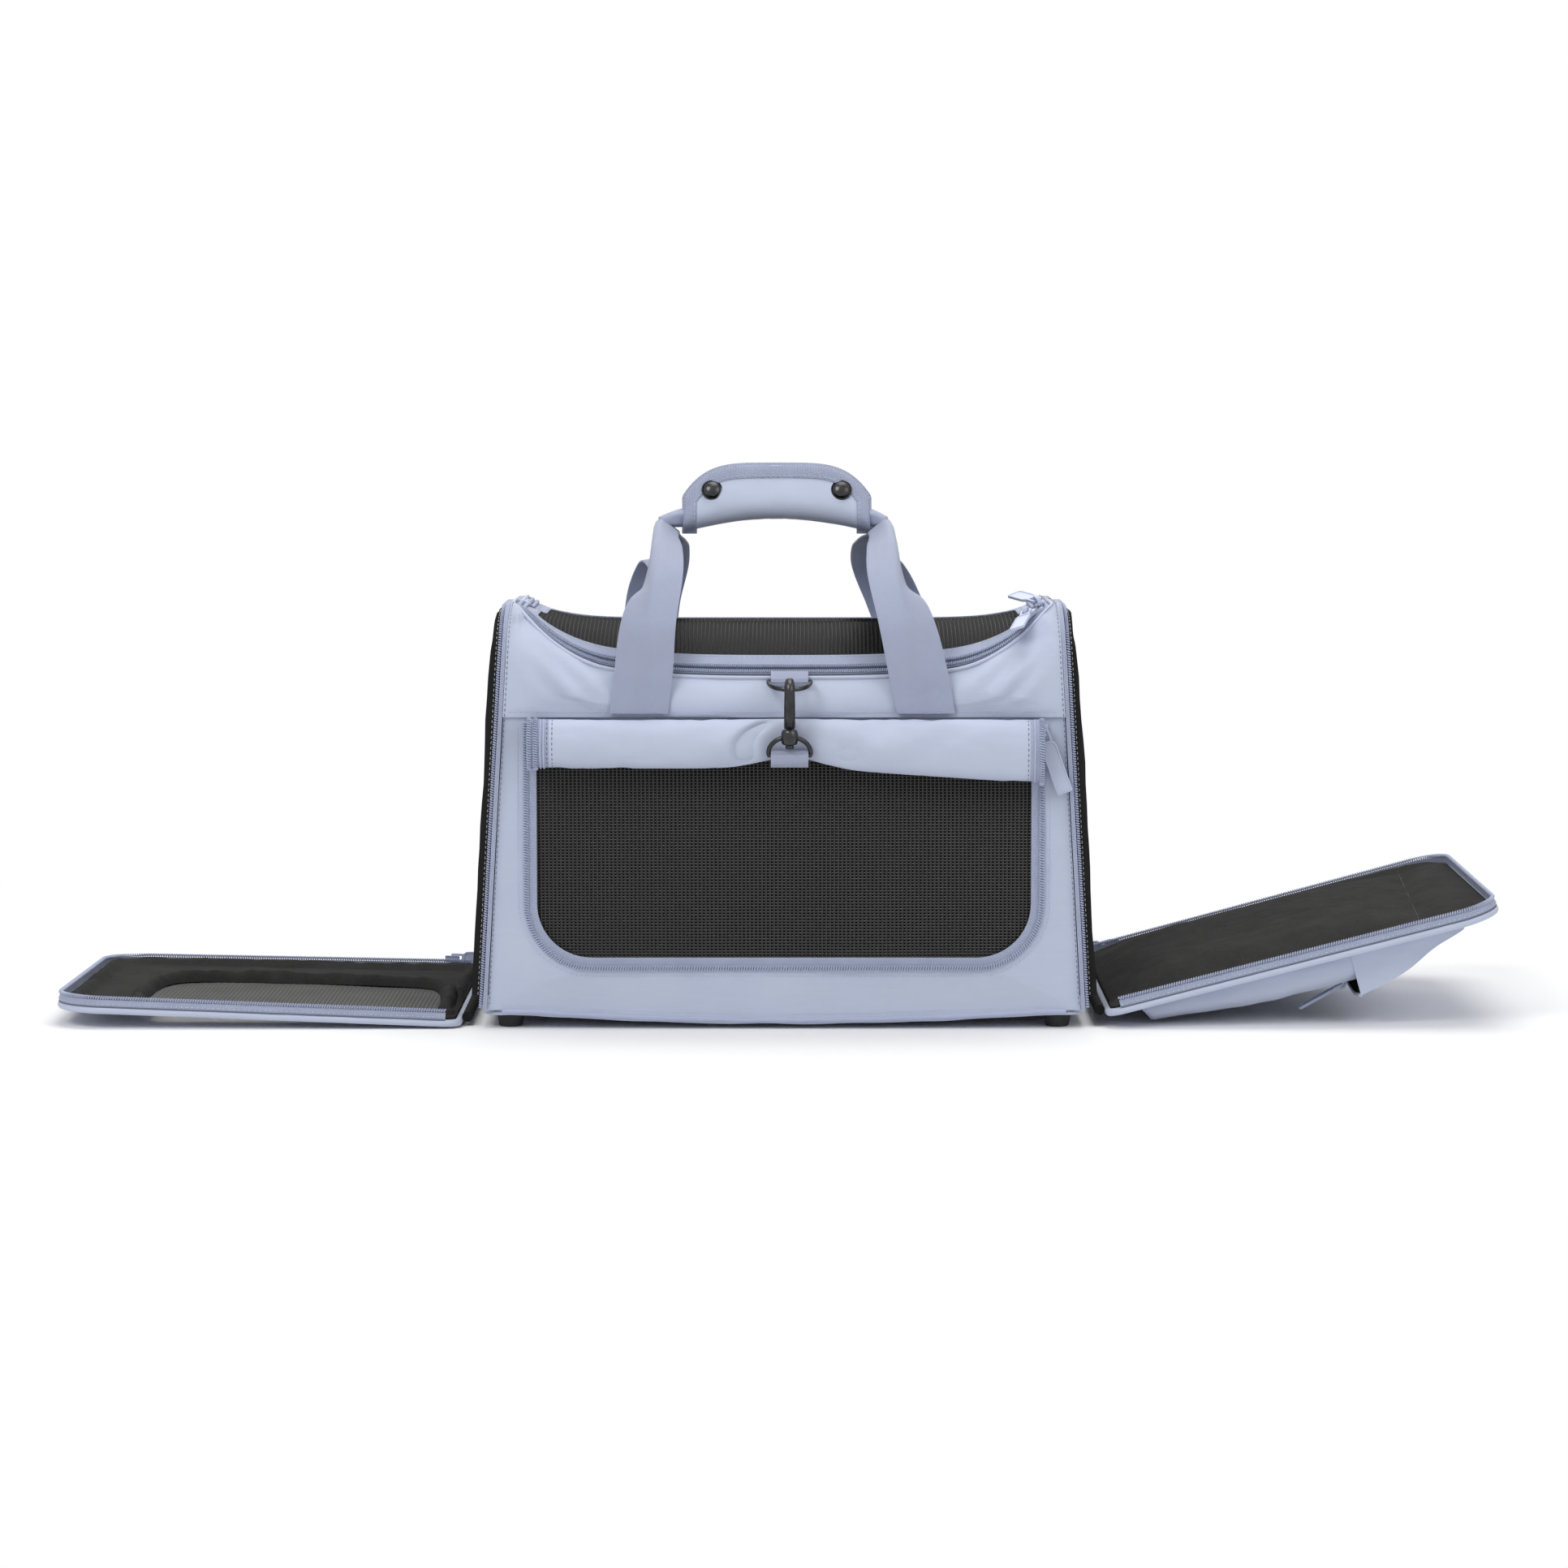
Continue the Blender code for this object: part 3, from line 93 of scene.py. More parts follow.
class Sock:
    """A node socket whose arithmetic adds Math nodes."""

    def __init__(self, graph: "Graph", socket: bpy.types.NodeSocket) -> None:
        """Keeps the graph and the socket."""
        self.graph = graph
        self.socket = socket

    def math(self, operation: str, *others: "Sock | float") -> "Sock":
        """One Math node.

        Args:
            operation: Blender's name of the operation.
            others: the second and third operand.

        Returns:
            The node's output.
        """
        return self.graph.math(operation, self, *others)

    def __add__(self, other: "Sock | float") -> "Sock":
        """Sum."""
        return self.math("ADD", other)

    def __radd__(self, other: float) -> "Sock":
        """Sum, number first."""
        return self.math("ADD", other)

    def __sub__(self, other: "Sock | float") -> "Sock":
        """Difference."""
        return self.math("SUBTRACT", other)

    def __rsub__(self, other: float) -> "Sock":
        """Difference, number first."""
        return self.graph.math("SUBTRACT", other, self)

    def __mul__(self, other: "Sock | float") -> "Sock":
        """Product."""
        return self.math("MULTIPLY", other)

    def __rmul__(self, other: float) -> "Sock":
        """Product, number first."""
        return self.math("MULTIPLY", other)

    def __truediv__(self, other: "Sock | float") -> "Sock":
        """Quotient."""
        return self.math("DIVIDE", other)

    def wave(self, pitch: float) -> "Sock":
        """Sine of this length, one turn per pitch."""
        return (self * (2 * math.pi / pitch)).math("SINE")

    def clip(self, low: float = 0.0, high: float = 1.0) -> "Sock":
        """This value kept between two numbers."""
        return self.math("MAXIMUM", low).math("MINIMUM", high)


class Graph:
    """A material's node tree with its Principled shader."""

    def __init__(self, name: str) -> None:
        """Makes the material."""
        self.material = bpy.data.materials.new(name)
        self.material.use_nodes = True
        self.tree = self.material.node_tree
        self.shader = self.tree.nodes["Principled BSDF"]

    def add(self, kind: str, settings: dict | None = None, **values: object) -> bpy.types.Node:
        """Any node.

        Args:
            kind: the node's type.
            settings: its properties, set first.
            values: its input sockets by name, with underscores for spaces, as links or values.

        Returns:
            The node.
        """
        node = self.tree.nodes.new(kind)
        for key, value in (settings or {}).items():
            setattr(node, key, value)
        for key, value in values.items():
            self.feed(node.inputs[key.replace("_", " ")], value)
        return node

    def feed(self, target: bpy.types.NodeSocket, value: object) -> None:
        """Links or sets one input."""
        if isinstance(value, Sock):
            self.tree.links.new(value.socket, target)
        else:
            target.default_value = value

    def math(self, operation: str, *operands: "Sock | float") -> Sock:
        """A Math node on values or links."""
        node = self.add("ShaderNodeMath", {"operation": operation})
        for target, value in zip(node.inputs, operands):
            self.feed(target, value)
        return Sock(self, node.outputs[0])

    def flat(self) -> tuple[Sock, Sock]:
        """The cloth's own two directions, in metres."""
        node = self.add("ShaderNodeUVMap")
        parts = self.add("ShaderNodeSeparateXYZ", Vector=Sock(self, node.outputs[0]))
        return Sock(self, parts.outputs[0]), Sock(self, parts.outputs[1])

    def place(self, stretch: Color = (1.0, 1.0, 1.0)) -> Sock:
        """Object coordinates, stretched."""
        node = self.add("ShaderNodeTexCoord")
        spread = self.add("ShaderNodeVectorMath", {"operation": "MULTIPLY"})
        self.feed(spread.inputs[0], Sock(self, node.outputs["Object"]))
        spread.inputs[1].default_value = stretch
        return Sock(self, spread.outputs[0])

    def cloud(self, scale: float, detail: float, where: Sock | None = None, rough: float = 0.5) -> Sock:
        """Noise from 0 to 1.

        Args:
            scale: how many cells to a metre.
            detail: octaves.
            where: coordinates, the object's own if left out.
            rough: how strong the finer octaves are.

        Returns:
            The noise's value.
        """
        vector = where or self.place()
        node = self.add("ShaderNodeTexNoise", Vector=vector, Scale=scale, Detail=detail, Roughness=rough)
        return Sock(self, node.outputs[0])

    def mix(self, share: Sock, first: Color, second: Color) -> Sock:
        """A colour between two, by a share."""
        node = self.add("ShaderNodeMix", {"data_type": "RGBA"})
        self.feed(node.inputs[0], share)
        node.inputs[6].default_value = (*first, 1.0)
        node.inputs[7].default_value = (*second, 1.0)
        return Sock(self, node.outputs[2])

    def relief(self, *layers: tuple[Sock, float]) -> None:
        """Feeds the shader's Normal from stacked heights.

        Args:
            layers: heights from 0 to 1, each with its depth in metres.
        """
        normal = None
        for height, depth in layers:
            node = self.add("ShaderNodeBump", Strength=1.0, Distance=depth, Height=height)
            if normal is not None:
                self.feed(node.inputs["Normal"], normal)
            normal = Sock(self, node.outputs[0])
        self.feed(self.shader.inputs["Normal"], normal)

    def set(self, **values: object) -> bpy.types.Material:
        """Sets or links the shader's inputs and gives the material."""
        for key, value in values.items():
            self.feed(self.shader.inputs[key.replace("_", " ")], value)
        return self.material


@dataclass(frozen=True)
class Finish:
    """What a surface is made of; each kind draws its own material once."""

    name: str
    color: Color
    deep: Color
    rough: float

    def material(self) -> bpy.types.Material:
        """The finish's material, made when first asked for."""
        found = bpy.data.materials.get(self.name)
        return found or self.draw(Graph(self.name))

    def draw(self, graph: Graph) -> bpy.types.Material:
        """Builds the nodes."""
        raise NotImplementedError


@dataclass(frozen=True)
class WovenCloth(Finish):
    """Satin woven nylon: fine crossing threads, slubs along one way, and soft ripples."""

    pitch: float = 0.00052
    ripple: float = 0.0016
    gloss: float = 0.35

    def draw(self, graph: Graph) -> bpy.types.Material:
        """Weave, slub and ripple from the cloth's flat coordinates."""
        along, across = graph.flat()
        weave = along.wave(self.pitch) * across.wave(self.pitch) * 0.5 + 0.5
        where = graph.place((1.0, 1.0, 1.0))
        slub = graph.cloud(420.0, 2.0, graph.place((0.09, 0.09, 1.0)))
        soft = graph.cloud(26.0, 3.0, where, 0.45)
        tone = (soft * 0.55 + slub * 0.35 + weave * 0.22 - 0.10).clip()
        graph.relief((soft, self.ripple), (weave, 0.00006), (slub, 0.00005))
        rough = soft * 0.14 + weave * 0.08 + (self.rough - 0.11)
        graph.set(Sheen_Weight=0.25, Sheen_Roughness=0.4, Specular_IOR_Level=self.gloss)
        return graph.set(Base_Color=graph.mix(tone, self.deep, self.color), Roughness=rough)


@dataclass(frozen=True)
class RibbedWebbing(Finish):
    """Strap webbing: a herringbone of slanting ribs with firm edges."""

    rib: float = 0.0017
    column: float = 0.0105

    def draw(self, graph: Graph) -> bpy.types.Material:
        """Slanting ribs that turn back at each column."""
        along, across = graph.flat()
        fold = (across / self.column).math("PINGPONG", 0.5) * (self.column * 1.4)
        ribs = (along + fold).wave(self.rib) * 0.5 + 0.5
        threads = across.wave(0.0009) * 0.5 + 0.5
        soft = graph.cloud(60.0, 3.0)
        tone = (ribs * 0.62 + threads * 0.12 + soft * 0.34 - 0.06).clip()
        graph.relief((soft, 0.0006), (ribs, 0.00022), (threads, 0.00008))
        graph.set(Sheen_Weight=0.2, Sheen_Roughness=0.5, Specular_IOR_Level=0.3)
        rough = soft * 0.15 + (self.rough - 0.08)
        return graph.set(Base_Color=graph.mix(tone, self.deep, self.color), Roughness=rough)


@dataclass(frozen=True)
class CoatedThread(Finish):
    """Coated black mesh thread with a soft shine."""

    shine: float = 0.34

    def draw(self, graph: Graph) -> bpy.types.Material:
        """Uneven coat along the threads."""
        soft = graph.cloud(900.0, 2.0)
        wide = graph.cloud(30.0, 2.0)
        graph.relief((soft, 0.00012))
        tone = (soft * 0.5 + wide * 0.5).clip()
        rough = soft * 0.16 + (self.rough - 0.08)
        graph.set(Specular_IOR_Level=self.shine)
        return graph.set(Base_Color=graph.mix(tone, self.deep, self.color), Roughness=rough)


@dataclass(frozen=True)
class BrushedLining(Finish):
    """Black lining cloth with a short nap and faint creases, with painted shade: darker where the creases sink."""

    nap: float = 1000.0

    def draw(self, graph: Graph) -> bpy.types.Material:
        """Nap and creases, and painted shade in the crease hollows."""
        along, across = graph.flat()
        weave = along.wave(0.0011) * across.wave(0.0011) * 0.5 + 0.5
        fuzz = graph.cloud(self.nap, 2.0)
        crease = graph.cloud(38.0, 4.0, graph.place((1.0, 0.6, 1.0)), 0.6)
        graph.relief((crease, 0.0022), (fuzz * 0.5 + weave * 0.5, 0.00012))
        # The colour follows the crease relief: painted shade, darker in the hollows; the nap adds real variation.
        tone = (crease * 0.6 + fuzz * 0.75 - 0.20).clip()
        graph.set(Specular_IOR_Level=0.03)
        rough = fuzz * 0.12 + (self.rough - 0.06)
        return graph.set(Base_Color=graph.mix(tone, self.deep, self.color), Roughness=rough)


@dataclass(frozen=True)
class MouldedPlastic(Finish):
    """Moulded plastic with a fine spark grain and rubbed places."""

    grain: float = 2600.0
    depth: float = 0.00003

    def draw(self, graph: Graph) -> bpy.types.Material:
        """Grain, and a slow change of gloss."""
        grain = graph.cloud(self.grain, 2.0)
        rub = graph.cloud(90.0, 3.0)
        graph.relief((grain, self.depth))
        rough = rub * 0.18 + grain * 0.06 + (self.rough - 0.12)
        tone = (rub * 0.6 + grain * 0.3).clip()
        return graph.set(Base_Color=graph.mix(tone, self.deep, self.color), Roughness=rough)


@dataclass(frozen=True)
class PlatedMetal(Finish):
    """Dark plated metal, polished, with hairlines and paler rubbed edges."""

    def draw(self, graph: Graph) -> bpy.types.Material:
        """Hairlines, and paler metal where edges stand out."""
        hair = graph.cloud(900.0, 2.0, graph.place((1.0, 1.0, 0.08)))
        patch = graph.cloud(160.0, 3.0)
        node = graph.add("ShaderNodeNewGeometry")
        edge = ((Sock(graph, node.outputs["Pointiness"]) - 0.52) * 9.0).clip()
        graph.relief((hair, 0.00001))
        tone = (patch * 0.45 + edge * 0.5).clip()
        rough = patch * 0.14 + hair * 0.10 + (self.rough - 0.11)
        graph.set(Metallic=1.0)
        return graph.set(Base_Color=graph.mix(tone, self.deep, self.color), Roughness=rough)


CLOTH = WovenCloth("periwinkle_cloth", (0.535, 0.585, 0.728), (0.440, 0.488, 0.630), 0.52)
CLOTH_PIPING = WovenCloth("piping_cloth", (0.470, 0.520, 0.690), (0.375, 0.420, 0.580), 0.58, ripple=0.0004)
STRAP = RibbedWebbing(
    "strap_webbing", (0.418, 0.462, 0.612), (0.330, 0.368, 0.505), 0.62, rib=0.0013, column=0.090
)
EDGING = RibbedWebbing(
    "grip_edging", (0.460, 0.505, 0.660), (0.200, 0.228, 0.330), 0.66, rib=0.0019, column=0.0034
)
TAPE = RibbedWebbing(
    "zip_tape", (0.490, 0.540, 0.705), (0.235, 0.268, 0.385), 0.62, rib=0.0019, column=0.0046
)
COIL = MouldedPlastic("zip_coil", (0.445, 0.492, 0.650), (0.335, 0.375, 0.515), 0.42)
THREAD = MouldedPlastic("sewing_thread", (0.560, 0.605, 0.750), (0.440, 0.485, 0.640), 0.55)
PALE_THREAD = MouldedPlastic("edge_thread", (0.62, 0.63, 0.66), (0.46, 0.47, 0.50), 0.6)
# Painted shade: a dark blue-grey for the shadowed gaps beside zips and seams, and for stitch rows whose sunk holes
# lie in shade.
PAINTED_SEAM_SHADE = MouldedPlastic("seam_shadow", (0.150, 0.168, 0.235), (0.090, 0.103, 0.150), 0.7)
DARK_THREAD = MouldedPlastic("lining_thread", (0.070, 0.070, 0.068), (0.030, 0.030, 0.029), 0.7)
MESH = CoatedThread("black_mesh", (0.010, 0.010, 0.010), (0.003, 0.003, 0.003), 0.24, 0.46)
LID_MESH = CoatedThread("black_lid_mesh", (0.014, 0.014, 0.014), (0.003, 0.003, 0.003), 0.30, 0.13)
DOOR_MESH = CoatedThread("grey_door_mesh", (0.125, 0.125, 0.122), (0.036, 0.036, 0.035), 0.32)
LINING = BrushedLining("black_lining", (0.058, 0.057, 0.056), (0.014, 0.014, 0.014), 0.90)
# The black lining made darker: painted shade for the inside faces of the walls and roof.
SHADED_INNER_LINING = BrushedLining("shaded_inner_lining", (0.018, 0.018, 0.018), (0.005, 0.005, 0.005), 0.92)
BINDING = BrushedLining("black_binding", (0.030, 0.030, 0.030), (0.010, 0.010, 0.010), 0.85, nap=2200.0)
PLASTIC = MouldedPlastic("moulded_blue", (0.520, 0.570, 0.735), (0.445, 0.492, 0.650), 0.40)
METAL = PlatedMetal("gunmetal", (0.135, 0.136, 0.139), (0.026, 0.026, 0.027), 0.22)
STEEL = PlatedMetal("spring_steel", (0.55, 0.55, 0.56), (0.38, 0.38, 0.39), 0.36)
RUBBER = MouldedPlastic("black_rubber", (0.022, 0.022, 0.022), (0.012, 0.012, 0.012), 0.70, 1800.0, 0.0001)


class Patch:
    """Points, faces and flat coordinates of a mesh in the making."""

    def __init__(self) -> None:
        """Starts empty."""
        self.points: list[np.ndarray] = []
        self.count = 0
        self.faces: list[tuple[int, ...]] = []
        self.flat: list[tuple[tuple[float, float], ...]] = []
        self.tags: list[int] = []

    def add(self, points: np.ndarray, faces: Sequence, flat: Sequence | None = None, tag: int = 0) -> None:
        """Adds points and faces.

        Args:
            points: positions, one row each.
            faces: tuples of indices into points.
            flat: per face, the flat coordinates of its corners, in metres.
            tag: the finish of these faces.
        """
        rows = np.asarray(points, float).reshape(-1, 3)
        start = self.count
        self.points.append(rows)
        self.count += len(rows)
        for i, face in enumerate(faces):
            self.faces.append(tuple(start + int(k) for k in face))
            if flat is not None:
                self.flat.append(flat[i])
            else:
                self.flat.append(tuple((rows[k][0] + rows[k][1], rows[k][2] + rows[k][1]) for k in face))
            self.tags.append(tag)

    def build(
        self, name: str, *finishes: Finish, place: Matrix = BODY, smooth: float = 50.0
    ) -> bpy.types.Object:
        """Makes the object.

        Args:
            name: the piece's name.
            finishes: its finishes, by tag.
            place: where its coordinates stand in the frame.
            smooth: edges sharper than this many degrees stay sharp.

        Returns:
            The object.
        """
        mesh = bpy.data.meshes.new(name)
        mesh.from_pydata(np.concatenate(self.points).tolist(), [], self.faces)
        layer = mesh.uv_layers.new(name="flat")
        layer.data.foreach_set("uv", np.array([c for f in self.flat for p in f for c in p], np.float32))
        for finish in finishes:
            mesh.materials.append(finish.material())
        mesh.polygons.foreach_set("material_index", np.array(self.tags, np.int32))
        mesh.transform(place)
        mesh.validate()
        mesh.shade_smooth()
        mesh.set_sharp_from_angle(angle=math.radians(smooth))
        piece = bpy.data.objects.new(name, mesh)
        bpy.context.scene.collection.objects.link(piece)
        return piece


def settle(piece: bpy.types.Object, body: str, surface: Surface, *nodes: str) -> bpy.types.Object:
    """Rides a piece on a body and the solids it stands for, and reports it.

    Args:
        piece: the object.
        body: the body it moves with.
        surface: its material slot; not used.
        nodes: the solids that it replaces.

    Returns:
        The piece.
    """
    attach(piece, body)
    if nodes:
        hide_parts(*nodes)
    LOG.info("%s: %d faces on %s", piece.name, len(piece.data.polygons), body)
    return piece


def ripple(point: Sequence[float], scale: float, seed: float = 0.0) -> float:
    """Smooth noise from about -1 to 1 at a point, scale in cells to a metre."""
    return noise.noise(Vector(point) * scale + Vector((seed, seed * 1.7, seed * 0.6)))


def lerp(first: float, second: float, share: float) -> float:
    """A value between two."""
    return first + (second - first) * share


def arc(
    center: tuple[float, float], radii: tuple[float, float], start: float, end: float, count: int
) -> Loop:
    """Points of an elliptic arc in a plane, both ends included; angles in degrees."""
    turns = [math.radians(start + (end - start) * i / count) for i in range(count + 1)]
    return [(center[0] + radii[0] * math.cos(t), center[1] + radii[1] * math.sin(t)) for t in turns]


def circle(radius: float, count: int, squash: float = 1.0) -> Loop:
    """Points of a circle or ellipse round the origin."""
    turns = [2 * math.pi * i / count for i in range(count)]
    return [(radius * math.cos(t), radius * squash * math.sin(t)) for t in turns]


def resample(points: np.ndarray, step: float, loop: bool = False) -> np.ndarray:
    """Rows spaced evenly along a polyline; extra columns are carried along.

    Args:
        points: rows of x, y, z and any further values.
        step: the spacing wanted.
        loop: whether the line closes on itself.

    Returns:
        The new rows.
    """
    rows = np.asarray(points, float)
    if loop:
        rows = np.vstack([rows, rows[:1]])
    reach = np.concatenate([[0.0], np.cumsum(np.linalg.norm(np.diff(rows[:, :3], axis=0), axis=1))])
    count = max(2, int(round(reach[-1] / step)))
    where = np.linspace(0.0, reach[-1], count + 1)
    made = np.stack([np.interp(where, reach, rows[:, k]) for k in range(rows.shape[1])], axis=1)
    return made[:-1] if loop else made


def curve_through(points: Sequence[Sequence[float]], count: int) -> np.ndarray:
    """Rows along a smooth curve through the given rows, of any number of columns."""
    rows = np.asarray(points, float)
    ends = np.vstack([2 * rows[:1] - rows[1:2], rows, 2 * rows[-1:] - rows[-2:-1]])
    made = []
    for i in range(count + 1):
        whole = i * (len(rows) - 1) / count
        k = min(int(whole), len(rows) - 2)
        t = whole - k
        a, b, c, d = ends[k : k + 4]
        made.append(
            0.5
            * (2 * b + (c - a) * t + (2 * a - 5 * b + 4 * c - d) * t**2 + (3 * b - a - 3 * c + d) * t**3)
        )
    return np.array(made)


def unit(rows: np.ndarray) -> np.ndarray:
    """Rows at length one."""
    return rows / np.maximum(np.linalg.norm(rows, axis=-1, keepdims=True), 1e-12)


def frames(
    path: np.ndarray, normals: np.ndarray, loop: bool = False
) -> tuple[np.ndarray, np.ndarray, np.ndarray]:
    """Tangent, side and normal at each row of a path."""
    if loop:
        ahead = np.roll(path, -1, axis=0) - np.roll(path, 1, axis=0)
    else:
        ahead = np.gradient(path, axis=0)
    ahead = unit(ahead)
    up = normals - ahead * np.sum(normals * ahead, axis=1, keepdims=True)
    up = unit(up)
    return ahead, np.cross(ahead, up), up


def ring_faces(
    rings: int, count: int, loop: bool, open_ring: bool = False
) -> list[tuple[int, int, int, int]]:
    """Quads between rings of equal count."""
    faces = []
    for i in range(rings if loop else rings - 1):
        a, b = i * count, ((i + 1) % rings) * count
        for j in range(count - 1 if open_ring else count):
            k = (j + 1) % count
            faces.append((a + j, a + k, b + k, b + j))
    return faces


def loft(
    rings: Sequence[np.ndarray], loop: bool = False, caps: bool = True, open_ring: bool = False, tag: int = 0
) -> Patch:
    """A skin over rings of equal count.

    Args:
        rings: each an array of points.
        loop: whether the last ring joins the first.
        caps: whether the two ends are closed.
        open_ring: whether each ring is a line and not a loop.
        tag: the finish of its faces.

    Returns:
        The patch, with flat coordinates measured along it.
    """
    grid = np.array(rings, float)
    total, count = grid.shape[:2]
    round_step = np.linalg.norm(np.roll(grid, -1, axis=1) - grid, axis=2)
    u = np.concatenate([np.zeros((total, 1)), np.cumsum(round_step, axis=1)], axis=1)
    u = np.repeat(u.mean(axis=0, keepdims=True), total + 1, axis=0)
    hop = np.linalg.norm(np.roll(grid, -1, axis=0) - grid, axis=2).mean(axis=1)
    v = np.concatenate([[0.0], np.cumsum(hop)])
    faces = ring_faces(total, count, loop, open_ring)
    flat = []
    for i in range(total if loop else total - 1):
        for j in range(count - 1 if open_ring else count):
            corners = ((i, j), (i, j + 1), (i + 1, j + 1), (i + 1, j))
            flat.append(tuple((v[p], u[0, q]) for p, q in corners))
    made = Patch()
    made.add(grid.reshape(-1, 3), faces, flat, tag)
    if caps and not loop and not open_ring:
        for ring, turn in ((0, -1), (total - 1, 1)):
            face = tuple(range(ring * count, ring * count + count))[::turn]
            made.faces.append(face[::-1] if turn < 0 else face)
            made.flat.append(
                tuple((grid.reshape(-1, 3)[k][0], grid.reshape(-1, 3)[k][1]) for k in made.faces[-1])
            )
            made.tags.append(tag)
    return made


def sweep(
    path: np.ndarray,
    normals: np.ndarray,
    section: Callable[[int], Loop] | Loop,
    loop: bool = False,
    tag: int = 0,
) -> Patch:
    """A section carried along a path, its second coordinate along the normals."""
    _, side, up = frames(path, normals, loop)
    rings = []
    for i in range(len(path)):
        shape = section(i) if callable(section) else section
        rings.append(np.array([path[i] + side[i] * a + up[i] * b for a, b in shape]))
    return loft(rings, loop, not loop, tag=tag)


def merge(*patches: Patch) -> Patch:
    """Several patches as one."""
    made = Patch()
    for patch in patches:
        start = made.count
        made.points += patch.points
        made.count += patch.count
        made.faces += [tuple(k + start for k in face) for face in patch.faces]
        made.flat += patch.flat
        made.tags += patch.tags
    return made


def coil(
    path: np.ndarray, normals: np.ndarray, width: float, height: float, pitch: float = 0.0016
) -> Patch:
    """A zip's wound coil: a wire that turns round a line.

    Args:
        path: the coil's middle line.
        normals: the outward direction along it.
        width: across the fabric.
        height: off the fabric.
        pitch: from turn to turn.

    Returns:
        The patch.
    """
    rows = resample(np.hstack([path, normals]), pitch / COIL_POINTS)
    _, side, up = frames(rows[:, :3], rows[:, 3:])
    turn = 2 * np.pi * np.arange(len(rows)) / COIL_POINTS
    wire = min(min(width, height) * 0.30, pitch * 0.31)
    line = rows[:, :3] + side * (np.cos(turn) * (width / 2 - wire))[:, None]
    line += up * (np.sin(turn) * (height / 2 - wire))[:, None]
    outward = side * np.cos(turn)[:, None] + up * np.sin(turn)[:, None]
    return sweep(line, outward, circle(wire, 4))


def seam(path: np.ndarray, normals: np.ndarray, length: float = 0.0026, gap: float = 0.0012) -> Patch:
    """A row of sewn stitches along a line: short spindles that dip at both ends."""
    rows = resample(np.hstack([path, normals]), (length + gap) / 4)
    _, side, up = frames(rows[:, :3], rows[:, 3:])
    made = Patch()
    for i in range(0, len(rows) - 4, 4):
        a, b = rows[i, :3], rows[i + 3, :3]
        low, high = up[i] * -STITCH_SUNK, up[i] * STITCH_PROUD
        s = side[i] * STITCH_HALF
        middle = (a + b) / 2
        made.add(
            np.array(
                [
                    a + low, middle - s + high * 0.5, middle + high * 1.2, middle + s + high * 0.5, b + low,
                    middle + low
                ]
            ),
            [(0, 2, 1), (0, 3, 2), (4, 1, 2), (4, 2, 3), (0, 1, 5), (1, 4, 5), (4, 3, 5), (3, 0, 5)],
        )
    return made


def net(
    place: Callable[[float, float], np.ndarray],
    low: tuple[float, float],
    high: tuple[float, float],
    pitch: tuple[float, float],
    lift: np.ndarray,
    keep: Callable[[float, float], bool] | None = None,
    thread: float = 0.24,
) -> Patch:
    """Knitted mesh as real threads: each gap's four edges, ridged along the thread's middle.

    Args:
        place: gives the point at two coordinates.
        low: lowest coordinates.
        high: highest coordinates.
        pitch: gap to gap, both ways.
        lift: which way the threads stand out, with their depth as its length.
        keep: which gaps are made, by their middle.
        thread: thread's half-width as a share of the pitch.

    Returns:
        The patch.
    """
    columns = int(round((high[0] - low[0]) / pitch[0]))
    rows = int(round((high[1] - low[1]) / pitch[1]))
    step = ((high[0] - low[0]) / columns, (high[1] - low[1]) / rows)
    points: list[np.ndarray] = []
    knots: dict[tuple[int, int], int] = {}
    faces = []

    def knot(i: int, j: int) -> int:
        """Index of a crossing of two threads."""
        if (i, j) not in knots:
            knots[(i, j)] = len(points)
            over = 1.0 if (i + j) % 2 else 0.72
            points.append(place(low[0] + step[0] * i, low[1] + step[1] * j) + lift * over)
        return knots[(i, j)]

    for i in range(columns):
        for j in range(rows):
            a, b = low[0] + step[0] * i, low[1] + step[1] * j
            if keep is not None and not keep(a + step[0] / 2, b + step[1] / 2):
                continue
            corners = [knot(i, j), knot(i + 1, j), knot(i + 1, j + 1), knot(i, j + 1)]
            start = len(points)
            da, db = step[0] * thread, step[1] * thread
            for p, q in (
                (a + da, b + db),
                (a + step[0] - da, b + db),
                (a + step[0] - da, b + step[1] - db),
                (a + da, b + step[1] - db),
            ):
                points.append(place(p, q) - lift * 0.6)
            for k in range(4):
                m = (k + 1) % 4
                faces.append((corners[k], corners[m], start + m, start + k))
    made = Patch()
    made.add(np.array(points), faces)
    return made


